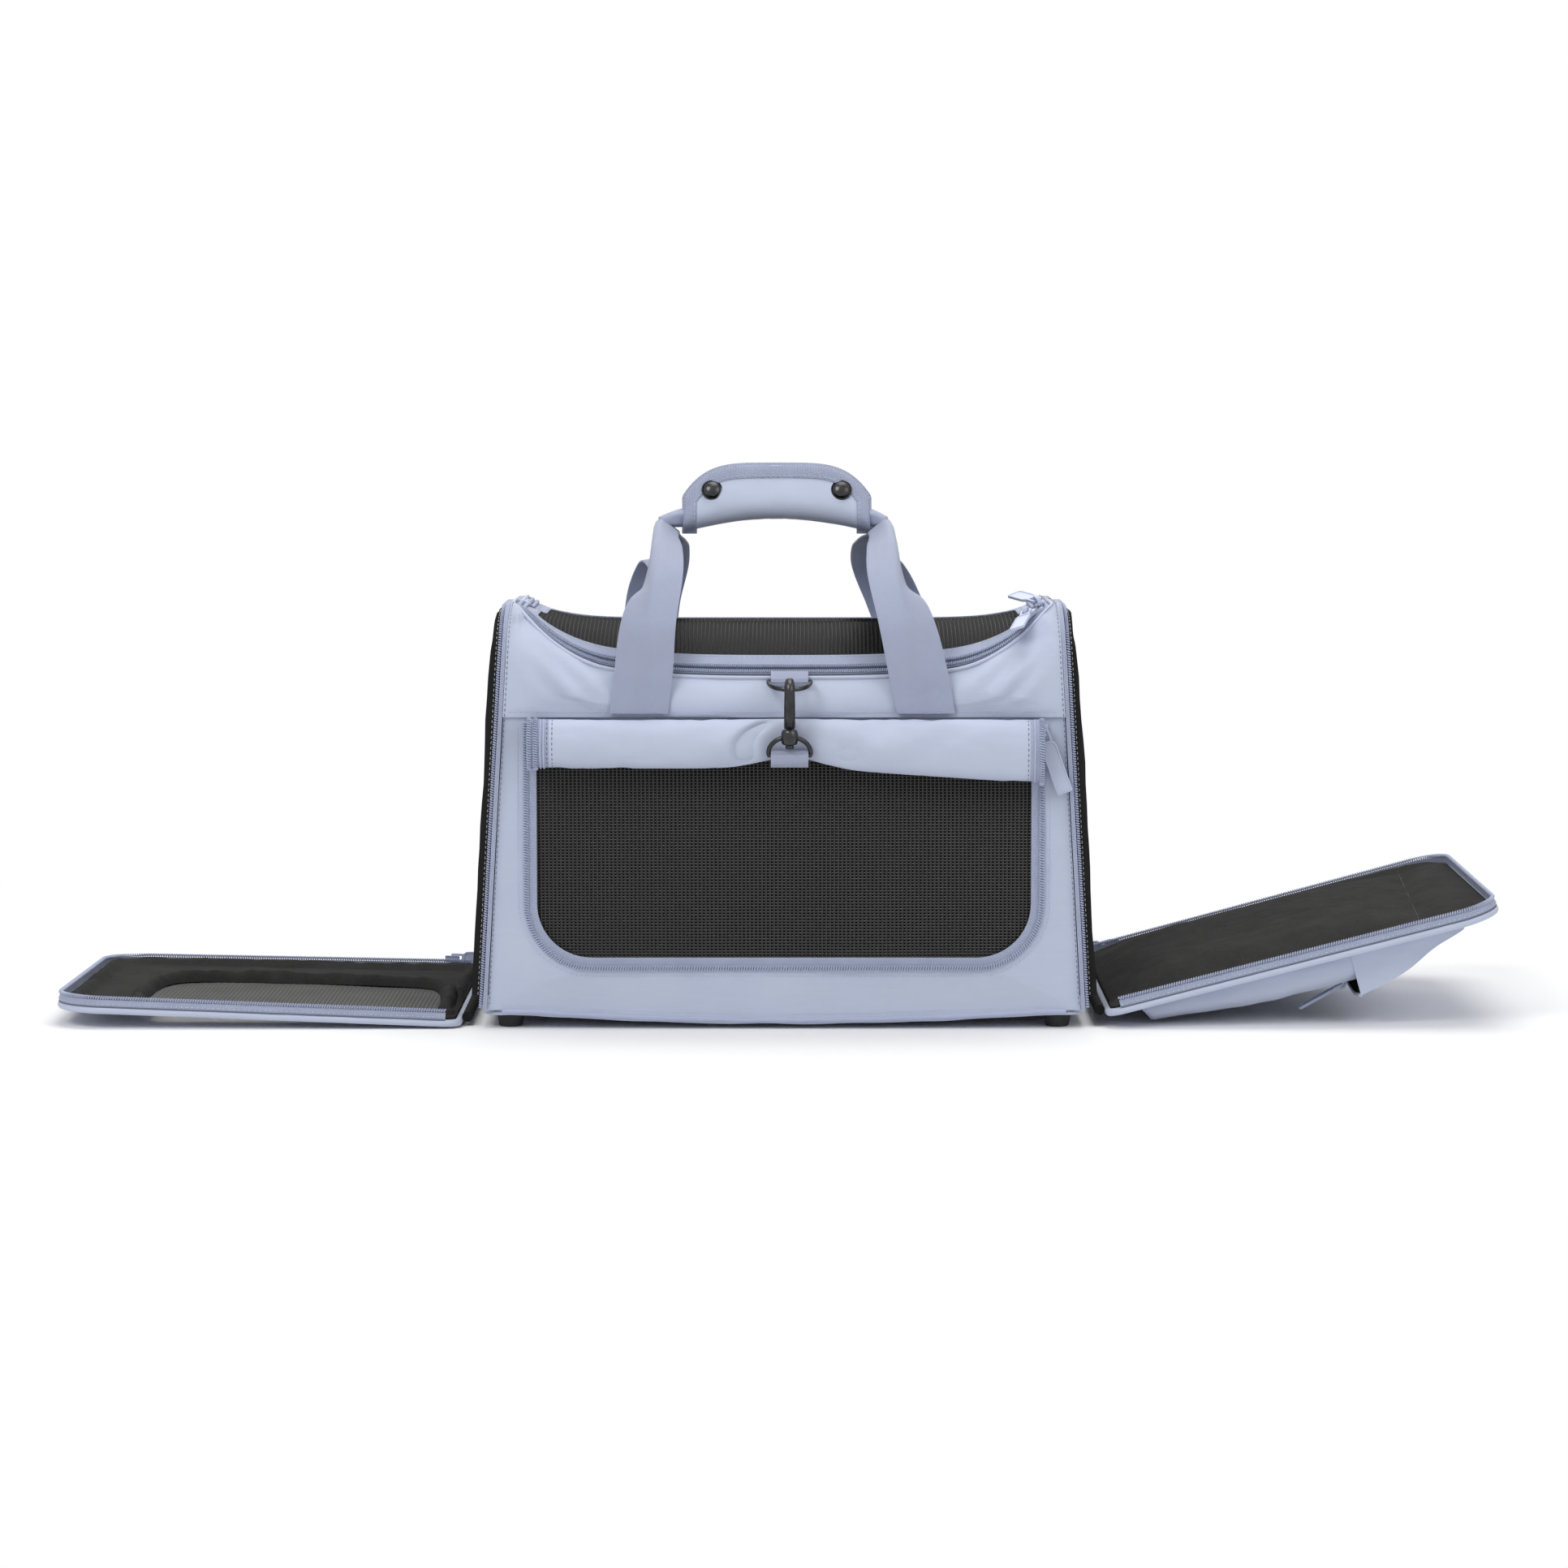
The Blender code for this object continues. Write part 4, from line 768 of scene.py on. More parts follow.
def thick(grid: np.ndarray, depth: float, closed: bool = False, inside: np.ndarray | None = None) -> Patch:
    """A grid of points as cloth with thickness: outer face tag 0, inner face tag 1.

    Args:
        grid: points by row and column, facing out by row cross column.
        depth: how thick it is.
        closed: whether the columns close into a loop.
        inside: a point that the cloth faces away from, where its columns may need turning round.

    Returns:
        The closed patch.
    """
    rows, columns = grid.shape[:2]
    if closed:
        across = np.roll(grid, -1, axis=1) - np.roll(grid, 1, axis=1)
    else:
        across = np.gradient(grid, axis=1)
    normal = unit(np.cross(np.gradient(grid, axis=0), across))
    if inside is not None and np.sum((grid - inside) * normal) < 0:
        return thick(grid[:, ::-1], depth, closed)
    inner = grid - normal * depth
    made = Patch()
    quads = ring_faces(rows, columns, False, not closed)
    steps = np.linalg.norm(np.roll(grid, -1, axis=1) - grid, axis=2).mean(axis=0)
    u = np.concatenate([[0.0], np.cumsum(steps)])
    hop = np.linalg.norm(np.diff(grid, axis=0), axis=2).mean(axis=1)
    v = np.concatenate([[0.0], np.cumsum(hop)])
    flat = []
    for i in range(rows - 1):
        for j in range(columns if closed else columns - 1):
            flat.append(tuple((u[q], v[p]) for p, q in ((i, j), (i, j + 1), (i + 1, j + 1), (i + 1, j))))
    size = rows * columns
    made.add(np.concatenate([grid.reshape(-1, 3), inner.reshape(-1, 3)]), quads, flat, 0)
    for k, face in enumerate(quads):
        made.faces.append(tuple(size + p for p in reversed(face)))
        made.flat.append(tuple(reversed(flat[k])))
        made.tags.append(1)
    edges = [[(0, j) for j in range(columns)], [(rows - 1, j) for j in range(columns)][::-1]]
    if closed:
        edges = [line + line[:1] for line in edges]
    else:
        edges += [[(i, columns - 1) for i in range(rows)], [(i, 0) for i in range(rows)][::-1]]
    for line in edges:
        for (i, j), (p, q) in zip(line, line[1:]):
            a, b = i * columns + j, p * columns + q
            made.faces.append((b, a, size + a, size + b))
            made.flat.append(
                tuple((u[c] + d, v[r]) for r, c, d in ((p, q, 0), (i, j, 0), (i, j, depth), (p, q, depth)))
            )
            made.tags.append(0)
    return made


@dataclass(frozen=True)
class BodyForm:
    """The body's shape: sagging base, leaning ends, round shoulders, and the lid's outline."""

    end_bottom: float = 0.2190
    end_top: float = 0.2020
    wall_bottom: float = 0.0136
    wall_top: float = 0.2285
    crown: float = 0.3060
    middle: float = 0.2905
    half: float = 0.1412
    wall: float = 0.1386
    hem: float = 0.2262
    cap: float = 0.0042
    rear: float = 0.0390
    sag_depth: float = 0.0064
    slack: float = 0.0068
    sag_reach: float = 0.1860
    lid_x: tuple[float, float] = (-0.192, 0.190)
    lid_y: tuple[float, float] = (-0.126, 0.112)
    lid_gap: float = 0.0020
    lid_tape: float = 0.0110

    def sag(self, x: float) -> float:
        """How far the base hangs below its ends."""
        return self.sag_depth * max(0.0, 1 - (x / self.sag_reach) ** 2)

    def end_x(self, z: float) -> float:
        """Half the body's length at a height."""
        lean = (self.end_bottom - self.end_top) / (self.crown - self.wall_bottom)
        return self.end_bottom - (z - self.wall_bottom) * lean

    def shoulder(self, u: float) -> tuple[float, float, float]:
        """Crown height, and the front shoulder's depth and rise, at a station from -1 to 1."""
        slack = abs(u) ** 3
        return lerp(
            self.middle, self.crown, abs(u) ** 8
        ), lerp(0.115, 0.036, slack), lerp(0.062, 0.036, slack)

    def dip(self, u: float, y: float) -> float:
        """How far the slack roof sinks behind the handle, between its stiff ends."""
        back = max(0.0, min(1.0, (y + 0.055) / 0.085))
        return self.slack * back * back * (3 - 2 * back) * (1 - 0.15 * abs(u) ** 14)

    def roof(self, u: float, w: float) -> np.ndarray:
        """A point of the roof: u along, w from the front hem over to the rear hem."""
        crown, depth, rise = self.shoulder(u)
        front, back = self.half - depth, self.half - self.rear
        if w < 0.12:
            y, z = -self.half, lerp(self.hem, crown - rise, w / 0.12)
        elif w < 0.42:
            t = (w - 0.12) / 0.30 * math.pi / 2
            y, z = -front - depth * math.cos(t), crown - rise + rise * math.sin(t)
        elif w < 0.62:
            y, z = lerp(-front, back, (w - 0.42) / 0.20), crown
        elif w < 0.88:
            t = (w - 0.62) / 0.26 * math.pi / 2
            y, z = back + self.rear * math.sin(t), crown - self.rear + self.rear * math.cos(t)
        else:
            y, z = self.half, lerp(crown - self.rear, self.hem, (w - 0.88) / 0.12)
        side = u * (self.end_x(z) - self.cap - 0.0003)
        return np.array((side, y, z - self.dip(u, y) * max(0.0, min(1.0, (z - 0.240) / 0.035))))

    def station(self, x: float, y: float) -> tuple[float, float]:
        """The station and height of the roof over a point of the plan."""
        z = self.crown
        u = 0.0
        for _ in range(4):
            u = x / (self.end_x(z) - self.cap)
            crown, depth, rise = self.shoulder(u)
            if y > 0:
                depth = rise = self.rear
            part = max(0.0, (abs(y) - (self.half - depth)) / depth)
            z = crown - rise + rise * math.sqrt(max(0.0, 1 - part * part))
        return u, z - self.dip(u, y) * max(0.0, min(1.0, (z - 0.240) / 0.035))

    def unroll(self, x: float, y: float) -> tuple[float, float]:
        """The roof's own two coordinates over a point of the plan."""
        u, _ = self.station(x, y)
        _, depth, _ = self.shoulder(u)
        front, back = self.half - depth, self.half - self.rear
        if y < -front:
            return u, 0.12 + 0.30 * math.acos(min(1.0, (-y - front) / depth)) / (math.pi / 2)
        if y < back:
            return u, 0.42 + 0.20 * (y + front) / (back + front)
        return u, 0.62 + 0.26 * math.asin(min(1.0, (y - back) / self.rear)) / (math.pi / 2)

    def over(self, x: float, y: float) -> tuple[np.ndarray, np.ndarray]:
        """The roof's point over the plan, and its normal."""
        d = 0.0005
        a = (self.station(x + d, y)[1] - self.station(x - d, y)[1]) / (2 * d)
        b = (self.station(x, y + d)[1] - self.station(x, y - d)[1]) / (2 * d)
        return np.array((x, y, self.station(x, y)[1])), unit(np.array((-a, -b, 1.0)))

    def lid_outline(self, inset: float) -> Loop:
        """The lid's outline in plan, drawn in by inset."""
        left, right = self.lid_x[0] + inset, self.lid_x[1] - inset
        front, rear = self.lid_y[0] + inset, self.lid_y[1] - inset
        rx, ry, small = 0.070 - inset, 0.036 - inset, 0.012
        points = arc((left + rx, front + ry), (rx, ry), 180, 270, 20)
        points += [(lerp(left + rx, right - rx, i / 30), front) for i in range(1, 30)]
        points += arc((right - rx, front + ry), (rx, ry), 270, 360, 20)
        points += [(right, lerp(front + ry, rear - small, i / 20)) for i in range(1, 20)]
        points += arc((right - small, rear - small), (small, small), 0, 90, 6)
        points += [(lerp(right - small, left + small, i / 30), rear) for i in range(1, 30)]
        points += arc((left + small, rear - small), (small, small), 90, 180, 6)
        return points + [(left, lerp(rear - small, front + ry, i / 20)) for i in range(1, 20)]

    def lid_zip(self, inset: float) -> tuple[np.ndarray, np.ndarray]:
        """Points and normals along the lid's left, front and right sides."""
        outline = self.lid_outline(inset)
        ahead = outline[:71]
        sides = [lerp(self.lid_y[1] - 0.016, ahead[0][1], i / 16) for i in range(16)]
        plan = [(ahead[0][0], y) for y in sides] + ahead + [(ahead[-1][0], y) for y in reversed(sides)]
        rows = [self.over(x, y) for x, y in plan]
        return np.array([p for p, _ in rows]), np.array([n for _, n in rows])

    def arch(self, radial: float, bottom: float, steps: int = 14) -> Loop:
        """The end arch in (y, z), drawn in by radial, from the front foot over to the rear."""
        half, crown = self.half - radial, self.crown - radial
        front, rear = 0.036 - radial, self.rear - radial
        line = [(-half, lerp(bottom, crown - front, i / 16)) for i in range(16)]
        line += arc((-half + front, crown - front), (front, front), 180, 90, steps)
        line += [(lerp(-half + front, half - rear, i / 14), crown) for i in range(1, 14)]
        line += arc((half - rear, crown - rear), (rear, rear), 90, 0, steps)
        line += [(half, lerp(crown - rear, bottom, i / 16)) for i in range(1, 17)]
        return [(y, z - self.dip(1.0, y) * max(0.0, min(1.0, (z - 0.240) / 0.035))) for y, z in line]


FORM = BodyForm()


def spread_round(inner: Loop, rows: int, low: tuple[float, float], high: tuple[float, float]) -> np.ndarray:
    """A grid of flat coordinates from a loop out to the box round it.

    Args:
        inner: the loop, seen whole from the box's middle.
        rows: how many steps from the loop to the box.
        low: the box's lowest corner.
        high: its highest corner.

    Returns:
        Coordinates by row and column; the columns close.
    """
    middle = np.array([(low[0] + high[0]) / 2, (low[1] + high[1]) / 2])
    half = np.array([(high[0] - low[0]) / 2, (high[1] - low[1]) / 2])
    ray = (np.array(inner) - middle) / half
    angle = np.arctan2(ray[:, 1], ray[:, 0])
    order = np.argsort(angle)
    angle, reach = angle[order], np.linalg.norm(ray, axis=1)[order]
    corners = [math.atan2(b, a) for a in (-1, 1) for b in (-1, 1)]
    every = np.unique(np.round(np.concatenate([angle, corners]), 5))
    near = np.interp(every, angle, reach, period=2 * np.pi)
    ways = np.stack([np.cos(every), np.sin(every)], axis=1)
    far = 1.0 / np.max(np.abs(ways), axis=1)
    shares = np.linspace(0.0, 1.0, rows + 1)
    scale = near[None, :] * (1 - shares[:, None]) + far[None, :] * shares[:, None]
    return middle + half * ways[None, :, :] * scale[:, :, None]


@dataclass
class BaseTray:
    """The sewn base: a covered board that sags between its feet, rubber feet and a padded mat."""

    bottom: float = 0.0083
    top: float = 0.0133
    stations: int = 72

    def build(self) -> None:
        """Makes the cover, its welt and the mat, and dresses the feet."""
        self.cover()
        self.mat()
        for name in ("foot_fl", "foot_fr", "foot_rl", "foot_rr"):
            dress(name, RUBBER)

    def outline(self, x: float, grow: float = 0.0) -> float:
        """Half the base's width at a station."""
        over = max(0.0, abs(x) - 0.2040)
        return 0.1242 + math.sqrt(max(0.0, 0.0144**2 - over**2)) + grow

    def cover(self) -> None:
        """The covered board, with the rolled welt that closes the bottom seam."""
        rings = []
        for i in range(self.stations + 1):
            x = -0.2183 * math.cos(math.pi * i / self.stations)
            half = self.outline(x)
            drop = FORM.sag(x) + 0.0005 * ripple((x, 0.0, 0.0), 30.0)
            thin = 0.75 if i in (0, self.stations) else 1.0
            ring = []
            for a, b in circle(1.0, 40):
                sharp = math.copysign(abs(a) ** 0.35, a), math.copysign(abs(b) ** 0.6, b)
                z = (self.top + self.bottom) / 2 + sharp[1] * thin * (self.top - self.bottom) / 2 - drop
                ring.append((x, sharp[0] * half, z + 0.0005 * ripple((x, a * 0.1, b), 40.0)))
            rings.append(np.array(ring))
        settle(loft(rings).build("base_cover", CLOTH), BASE, Surface.CLOTH, "base_tray")
        for side, name in ((-1, "front"), (1, "rear")):
            xs = np.linspace(-0.204, 0.204, 90)
            wobble = [0.0004 * ripple((x, side, 0.0), 55.0) for x in xs]
            path = np.array([(x, side * 0.1381, 0.0126 - FORM.sag(x) + w) for x, w in zip(xs, wobble)])
            up = np.tile((0.0, side, 0.0), (len(path), 1))
            roll = sweep(path, up, lambda i: circle(0.0022 + 0.0002 * math.sin(i * 0.9), 12))
            settle(roll.build(f"base_welt_{name}", CLOTH_PIPING), BASE, Surface.CLOTH)
            row = path + np.array((0.0, side * 0.0006, 0.0046))
            settle(seam(row, up).build(f"base_stitches_{name}", THREAD), BASE, Surface.ZIP)

    def mat(self) -> None:
        """The quilted floor mat."""
        rows = []
        for a in np.linspace(-1.0, 1.0, 61):
            row = []
            for b in np.linspace(-1.0, 1.0, 45):
                edge = min(1.0, (1 - abs(a)) / 0.09, (1 - abs(b)) / 0.13)
                quilt = 0.5 - 0.5 * math.cos(2 * math.pi * a * 3) * math.cos(2 * math.pi * b * 2)
                z = 0.0142 + 0.0112 * math.sqrt(max(0.0, edge * (2 - edge))) * (0.82 + 0.18 * quilt)
                row.append((a * (0.1955 - 0.003 * (1 - abs(b))), b * (0.1225 - 0.003 * (1 - abs(a))), z))
            rows.append(row)
        grid = np.array(rows)
        grid[:, :, 2] += 0.0004 * np.array([[ripple(p, 45.0) for p in row] for row in grid])
        top = loft(list(grid), open_ring=True)
        flat = grid.copy()
        flat[:, :, 2] = 0.0139
        under = loft(list(flat), open_ring=True)
        under.faces = [face[::-1] for face in under.faces]
        under.flat = [flat_face[::-1] for flat_face in under.flat]
        mat = merge(top, under).build("padded_mat", LINING, smooth=70)
        weld(mat)
        settle(mat, BASE, Surface.LINING, "floor_mat")


def weld(piece: bpy.types.Object, reach: float = 0.0002) -> None:
    """Joins points of a mesh that lie on each other."""
    work = bmesh.new()
    work.from_mesh(piece.data)
    bmesh.ops.remove_doubles(work, verts=work.verts, dist=reach)
    bmesh.ops.recalc_face_normals(work, faces=work.faces)
    work.to_mesh(piece.data)
    work.free()


def dress(node: str, finish: Finish) -> None:
    """Gives a solid that stays in view its finish."""
    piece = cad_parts[node]
    piece.data.materials.clear()
    piece.data.materials.append(finish.material())
    LOG.info("%s: %s", node, finish.name)


@dataclass
class Walls:
    """Front wall with its mesh window, and the plain rear wall."""

    half: float = 0.184
    low: float = 0.046
    high: float = 0.2225
    radius: float = 0.045
    cloth: float = 0.0024

    def build(self) -> None:
        """Makes both walls, the net, and the window's zip."""
        self.front()
        self.rear()
        self.window()

    def outline(self, grow: float) -> Loop:
        """The window's outline in (x, z), open along the top edge's middle."""
        w, r = self.half + grow, self.radius + grow
        low, high = self.low - grow, self.high
        line = [(w, lerp(high, low + r, i / 24)) for i in range(24)]
        line += arc((w - r, low + r), (r, r), 0, -90, 16)
        line += [(lerp(w - r, -w + r, i / 50), low) for i in range(1, 50)]
        line += arc((-w + r, low + r), (r, r), 270, 180, 16)
        return line + [(-w, lerp(low + r, high, i / 24)) for i in range(1, 25)]

    def wall_point(self, a: float, b: float, side: int, calm: float) -> np.ndarray:
        """A point of a wall's outer face, from shares of its length and height."""
        foot = FORM.wall_bottom
        z = lerp(foot, FORM.wall_top, b)
        x = a * (FORM.end_x(z) - FORM.cap - 0.0006)
        z -= FORM.sag(x) * (1 - b) ** 2
        wave = 0.0011 * ripple((x, side, z), 16.0, 3.0) + 0.0006 * ripple((x, side, z), 42.0, 1.0)
        return np.array((x, side * (FORM.wall + wave * calm), z))

    def shares(self, x: float, z: float) -> tuple[float, float]:
        """A wall point's shares of the length and height."""
        b = (z - FORM.wall_bottom) / (FORM.wall_top - FORM.wall_bottom)
        for _ in range(4):
            b = (z + FORM.sag(x) * (1 - b) ** 2 - FORM.wall_bottom) / (FORM.wall_top - FORM.wall_bottom)
        return x / (FORM.end_x(z) - FORM.cap - 0.0006), b

    def front(self) -> None:
        """The front cloth round the window, black inside, its inside face darkened as painted shade."""
        line = self.outline(0.0)
        line += [(lerp(-self.half, self.half, i / 30), self.high) for i in range(1, 30)]
        flat = spread_round([self.shares(x, z) for x, z in line], 14, (-1.0, 0.0), (1.0, 1.0))
        grid = []
        for r, row in enumerate(flat):
            calm = abs(math.sin(math.pi * r / (len(flat) - 1))) ** 0.7
            grid.append([self.wall_point(a, b, -1, calm) for a, b in row])
        piece = thick(np.array(grid), self.cloth, True, np.array((0.0, 0.0, 0.12)))
        settle(piece.build("front_cloth", CLOTH, SHADED_INNER_LINING), BASE, Surface.CLOTH, "front_panel")

    def rear(self) -> None:
        """The rear cloth with a sewn frame of double stitches."""
        grid = []
        for a in np.linspace(-1.0, 1.0, 91):
            row = []
            for b in np.linspace(0.0, 1.0, 51):
                calm = (min(1.0, (1 - abs(a)) / 0.08) * min(1.0, b / 0.08, (1 - b) / 0.08)) ** 0.7
                row.append(self.wall_point(a, b, 1, calm * 1.3))
            grid.append(row)
        piece = thick(np.array(grid), self.cloth, False, np.array((0.0, 0.0, 0.12)))
        # Inside face in the darkened lining: painted shade.
        settle(piece.build("rear_cloth", CLOTH, SHADED_INNER_LINING), BASE, Surface.CLOTH, "back_panel")
        rows = []
        for grow in (0.0, 0.005):
            line = self.outline(-0.004 - grow)
            line += [(lerp(line[-1][0], line[0][0], i / 40), self.high - 0.012 - grow) for i in range(41)]
            line = [(x, min(z, self.high - 0.012 - grow)) for x, z in line]
            path = np.array([self.wall_point(*self.shares(x, z), 1, 1.3) + (0, 0.0002, 0) for x, z in line])
            rows.append(seam(path, np.tile((0.0, 1.0, 0.0), (len(path), 1))))
        settle(merge(*rows).build("rear_stitches", THREAD), BASE, Surface.ZIP)

    def window(self) -> None:
        """The window's net, and the tape, coil and stitches round it."""
        y = -FORM.wall + 0.0030

        def at(x: float, z: float) -> np.ndarray:
            """A net point, slightly slack."""
            return np.array((x, y + 0.0012 * ripple((x, 0.0, z), 14.0, 8.0), z))

        reach = self.half + 0.003
        threads = net(
            at, (-reach, self.low - 0.003), (reach, self.high), (0.0029, 0.0022), np.array((0, -0.0006, 0))
        )
        settle(threads.build("window_mesh", MESH, smooth=180), BASE, Surface.MESH, "window_net")
        facing = (0.0, -1.0, 0.0)
        line = np.array([(x, -FORM.wall - 0.0013, z) for x, z in self.outline(0.002)])
        up = np.tile(facing, (len(line), 1))
        wound = coil(line, up, 0.0044, 0.0026, 0.0019)
        settle(wound.build("window_coil", COIL), BASE, Surface.ZIP, "window_zip")
        inside = np.array([(x, -FORM.wall + 0.0004, z) for x, z in self.outline(-0.0028)])
        band = [(-0.0030, -0.0004), (0.0030, -0.0004), (0.0030, 0.0003), (0.0, 0.0005), (-0.0030, 0.0003)]
        settle(sweep(inside, up, band).build("window_tape", TAPE), BASE, Surface.ZIP)
        outside = np.array([self.wall_point(*self.shares(x, z), -1, 0.4) for x, z in self.outline(0.0075)])
        outside[:, 1] -= 0.0002
        settle(seam(outside, up).build("window_stitches", THREAD), BASE, Surface.ZIP)


@dataclass
class Roof:
    """The curved roof cloth with its sewn hems, and the fixed half of the lid's zip."""

    cloth: float = 0.0020
    rows: int = 26

    def fold(self, point: np.ndarray) -> float:
        """Height of the slack folds that run down from the shoulder ends."""
        x, y, z = point
        if y > -0.02:
            return 0.0
        total = 0.0
        for side, lean in ((-1, 1.0), (1, -1.0)):
            near = math.exp(-(((x - side * 0.160) / 0.034) ** 2) - ((z - 0.252) / 0.022) ** 2)
            total += near * math.sin((x * lean * 0.8 + z * 0.75) * 2 * math.pi / 0.0185)
        return 0.0020 * total

    def shift(self, point: np.ndarray, calm: float) -> float:
        """How far the cloth stands off its smooth shape."""
        soft = 0.0022 * ripple(point, 19.0, 5.0) + 0.0007 * ripple(point, 55.0, 2.0)
        return (soft + self.fold(point)) * calm

    def build(self) -> None:
        """Makes the cloth, hems, stitches and coil."""
        inner = [FORM.unroll(x, y) for x, y in FORM.lid_outline(0.0)]
        flat = spread_round(inner, self.rows, (-1.0, 0.0), (1.0, 1.0))
        grid = np.array([[FORM.roof(u, w) for u, w in row] for row in flat])
        across = np.roll(grid, -1, axis=1) - np.roll(grid, 1, axis=1)
        normal = unit(np.cross(np.gradient(grid, axis=0), across))
        away = grid - np.array((0.0, 0.0, 0.2))
        normal *= np.sign(np.sum(away * normal, axis=2, keepdims=True))
        for r in range(grid.shape[0]):
            calm = abs(math.sin(math.pi * r / self.rows)) ** 0.6
            for c in range(grid.shape[1]):
                grid[r, c] += normal[r, c] * (self.shift(grid[r, c], calm) - 0.0002)
        piece = thick(grid, self.cloth, True, np.array((0.0, 0.0, 0.2)))
        # Inside face in the darkened lining: painted shade.
        settle(piece.build("roof_cloth", CLOTH, SHADED_INNER_LINING, smooth=70), BASE, Surface.CLOTH, "roof_panel")
        path, up = FORM.lid_zip(-0.0014)
        settle(
            coil(path + up * 0.0010, up, 0.0034, 0.0024).build("roof_coil", COIL), BASE, Surface.ZIP,
            "roof_zip"
        )
        # A thin dark cord beside the roof coil: painted shade in the zip's gap.
        path, up = FORM.lid_zip(-0.0034)
        settle(
            sweep(path + up * 0.0004, up, circle(0.0007, 8)).build("roof_zip_gap_shade_cord", PAINTED_SEAM_SHADE), BASE, Surface.ZIP
        )
        path, up = FORM.lid_zip(-0.0052)
        settle(
            sweep(path + up * 0.0003, up, circle(0.0014, 10)).build("roof_zip_hem", CLOTH), BASE,
            Surface.CLOTH
        )
        rows = []
        for side in (-1, 1):
            xs = np.linspace(-0.198, 0.198, 120)
            path = np.array([(x, side * (FORM.half + 0.0004), FORM.hem + 0.0042) for x in xs])
            rows.append(seam(path, np.tile((0.0, side, 0.0), (len(path), 1))))
        settle(merge(*rows).build("hem_stitches", THREAD), BASE, Surface.ZIP)


@dataclass
class EndTrim:
    """One end of the body: zip tape and coil round the arch, the black bound edge, and the spring hoop."""

    name: str
    side: int

    def ribbon(
        self, outer: float, inner: float, near: float, far: float, bottom: float, wave: float
    ) -> Patch:
        """An arch-shaped ribbon, radial from outer to inner, from near to far off the end plane."""
        rings = []
        lines = zip(FORM.arch(outer, bottom), FORM.arch(inner, bottom))
        for ((ya, za), (yb, zb)) in lines:
            ring = []
            for y, z, off in ((ya, za, near), (yb, zb, near), (yb, zb, far), (ya, za, far)):
                shift = wave * ripple((y, z, self.side), 60.0, 4.0) if off == near else 0.0
                ring.append((self.side * (FORM.end_x(z) + off + shift), y, z))
            rings.append(np.array(ring[:: self.side]))
        return loft(rings)

    def line(self, radial: float, off: float, bottom: float) -> np.ndarray:
        """Points along the arch."""
        return np.array([(self.side * (FORM.end_x(z) + off), y, z) for y, z in FORM.arch(radial, bottom)])

    def build(self) -> None:
        """Makes the tape, coil, binding, stitches and hinge fold."""
        foot = FORM.wall_bottom
        tape = self.ribbon(0.0, 0.0052, -0.0012, -FORM.cap, foot, 0.0002)
        settle(tape.build(f"{self.name}_end_tape", TAPE), BASE, Surface.ZIP, f"{self.name}_body_zip")
        line = self.line(0.0019, 0.0003, foot + 0.002)
        up = np.tile((float(self.side), 0.0, 0.0), (len(line), 1))
        settle(
            coil(line, up, 0.0040, 0.0034, 0.0018).build(f"{self.name}_end_coil", COIL), BASE, Surface.ZIP
        )
        edge = self.line(-0.0003, -0.0058, foot + 0.004)
        spread = unit(np.array([(0.0, y, max(0.0, z - 0.26)) for _, y, z in edge]))
        # Real stitches drawn in the dark shade colour: painted shade of their sunk holes.
        settle(seam(edge, spread).build(f"{self.name}_end_stitches", PAINTED_SEAM_SHADE), BASE, Surface.ZIP)
        bound = self.bound(foot + 0.0104)
        settle(
            bound.build(f"{self.name}_bound_edge", BINDING), BASE, Surface.LINING, f"{self.name}_binding"
        )
        outer = self.line(0.0053, 0.0030, foot + 0.0104)
        spread = unit(np.array([(0.0, y, z - 0.16) for _, y, z in outer]))
        settle(seam(outer, spread).build(f"{self.name}_edge_stitches", PALE_THREAD), BASE, Surface.LINING)
        x, z = (-0.2300, 0.0065) if self.side < 0 else (0.2292, 0.0115)
        spot = np.array([(x, y, z) for y in np.linspace(-0.124, 0.124, 80)])
        flat = np.tile((0.0, 0.0, 1.0), (len(spot), 1))
        roll = sweep(spot, flat, lambda i: circle(0.0038 + 0.0002 * math.sin(i * 1.3), 14))
        settle(roll.build(f"{self.name}_fold", BINDING), BASE, Surface.LINING, f"{self.name}_hinge_fold")
        rod = self.line(0.0095, -0.0090, foot + 0.0006)
        hoop = sweep(rod, np.tile((float(self.side), 0.0, 0.0), (len(rod), 1)), circle(0.0014, 12))
        settle(hoop.build(f"{self.name}_spring_hoop", STEEL), BASE, Surface.WIRE, f"{self.name}_hoop")

    def bound(self, bottom: float) -> Patch:
        """The black bound edge that stands out past the zip, wavy along its free side."""
        rings = []
        for (ya, za), (yb, zb) in zip(FORM.arch(0.0054, bottom), FORM.arch(0.0076, bottom)):
            wave = 0.0014 * ripple(
                (ya, za, self.side), 22.0, 4.0
            ) + 0.0005 * ripple((ya, za, self.side), 90.0, 1.0)
            reach = 0.0078 + wave - 0.0022 * min(1.0, max(0.0, (za - 0.262) / 0.02))
            ring = []
            for share, off in (
                (0.0, -0.0060), (0.0, 0.0), (0.0, reach - 0.0012), (0.5, reach), (1.0, reach - 0.0012),
                (1.0, 0.0), (1.0, -0.0060)
            ):
                y, z = lerp(ya, yb, share), lerp(za, zb, share)
                ring.append((self.side * (FORM.end_x(z) + off), y, z))
            rings.append(np.array(ring[:: self.side]))
        return loft(rings)


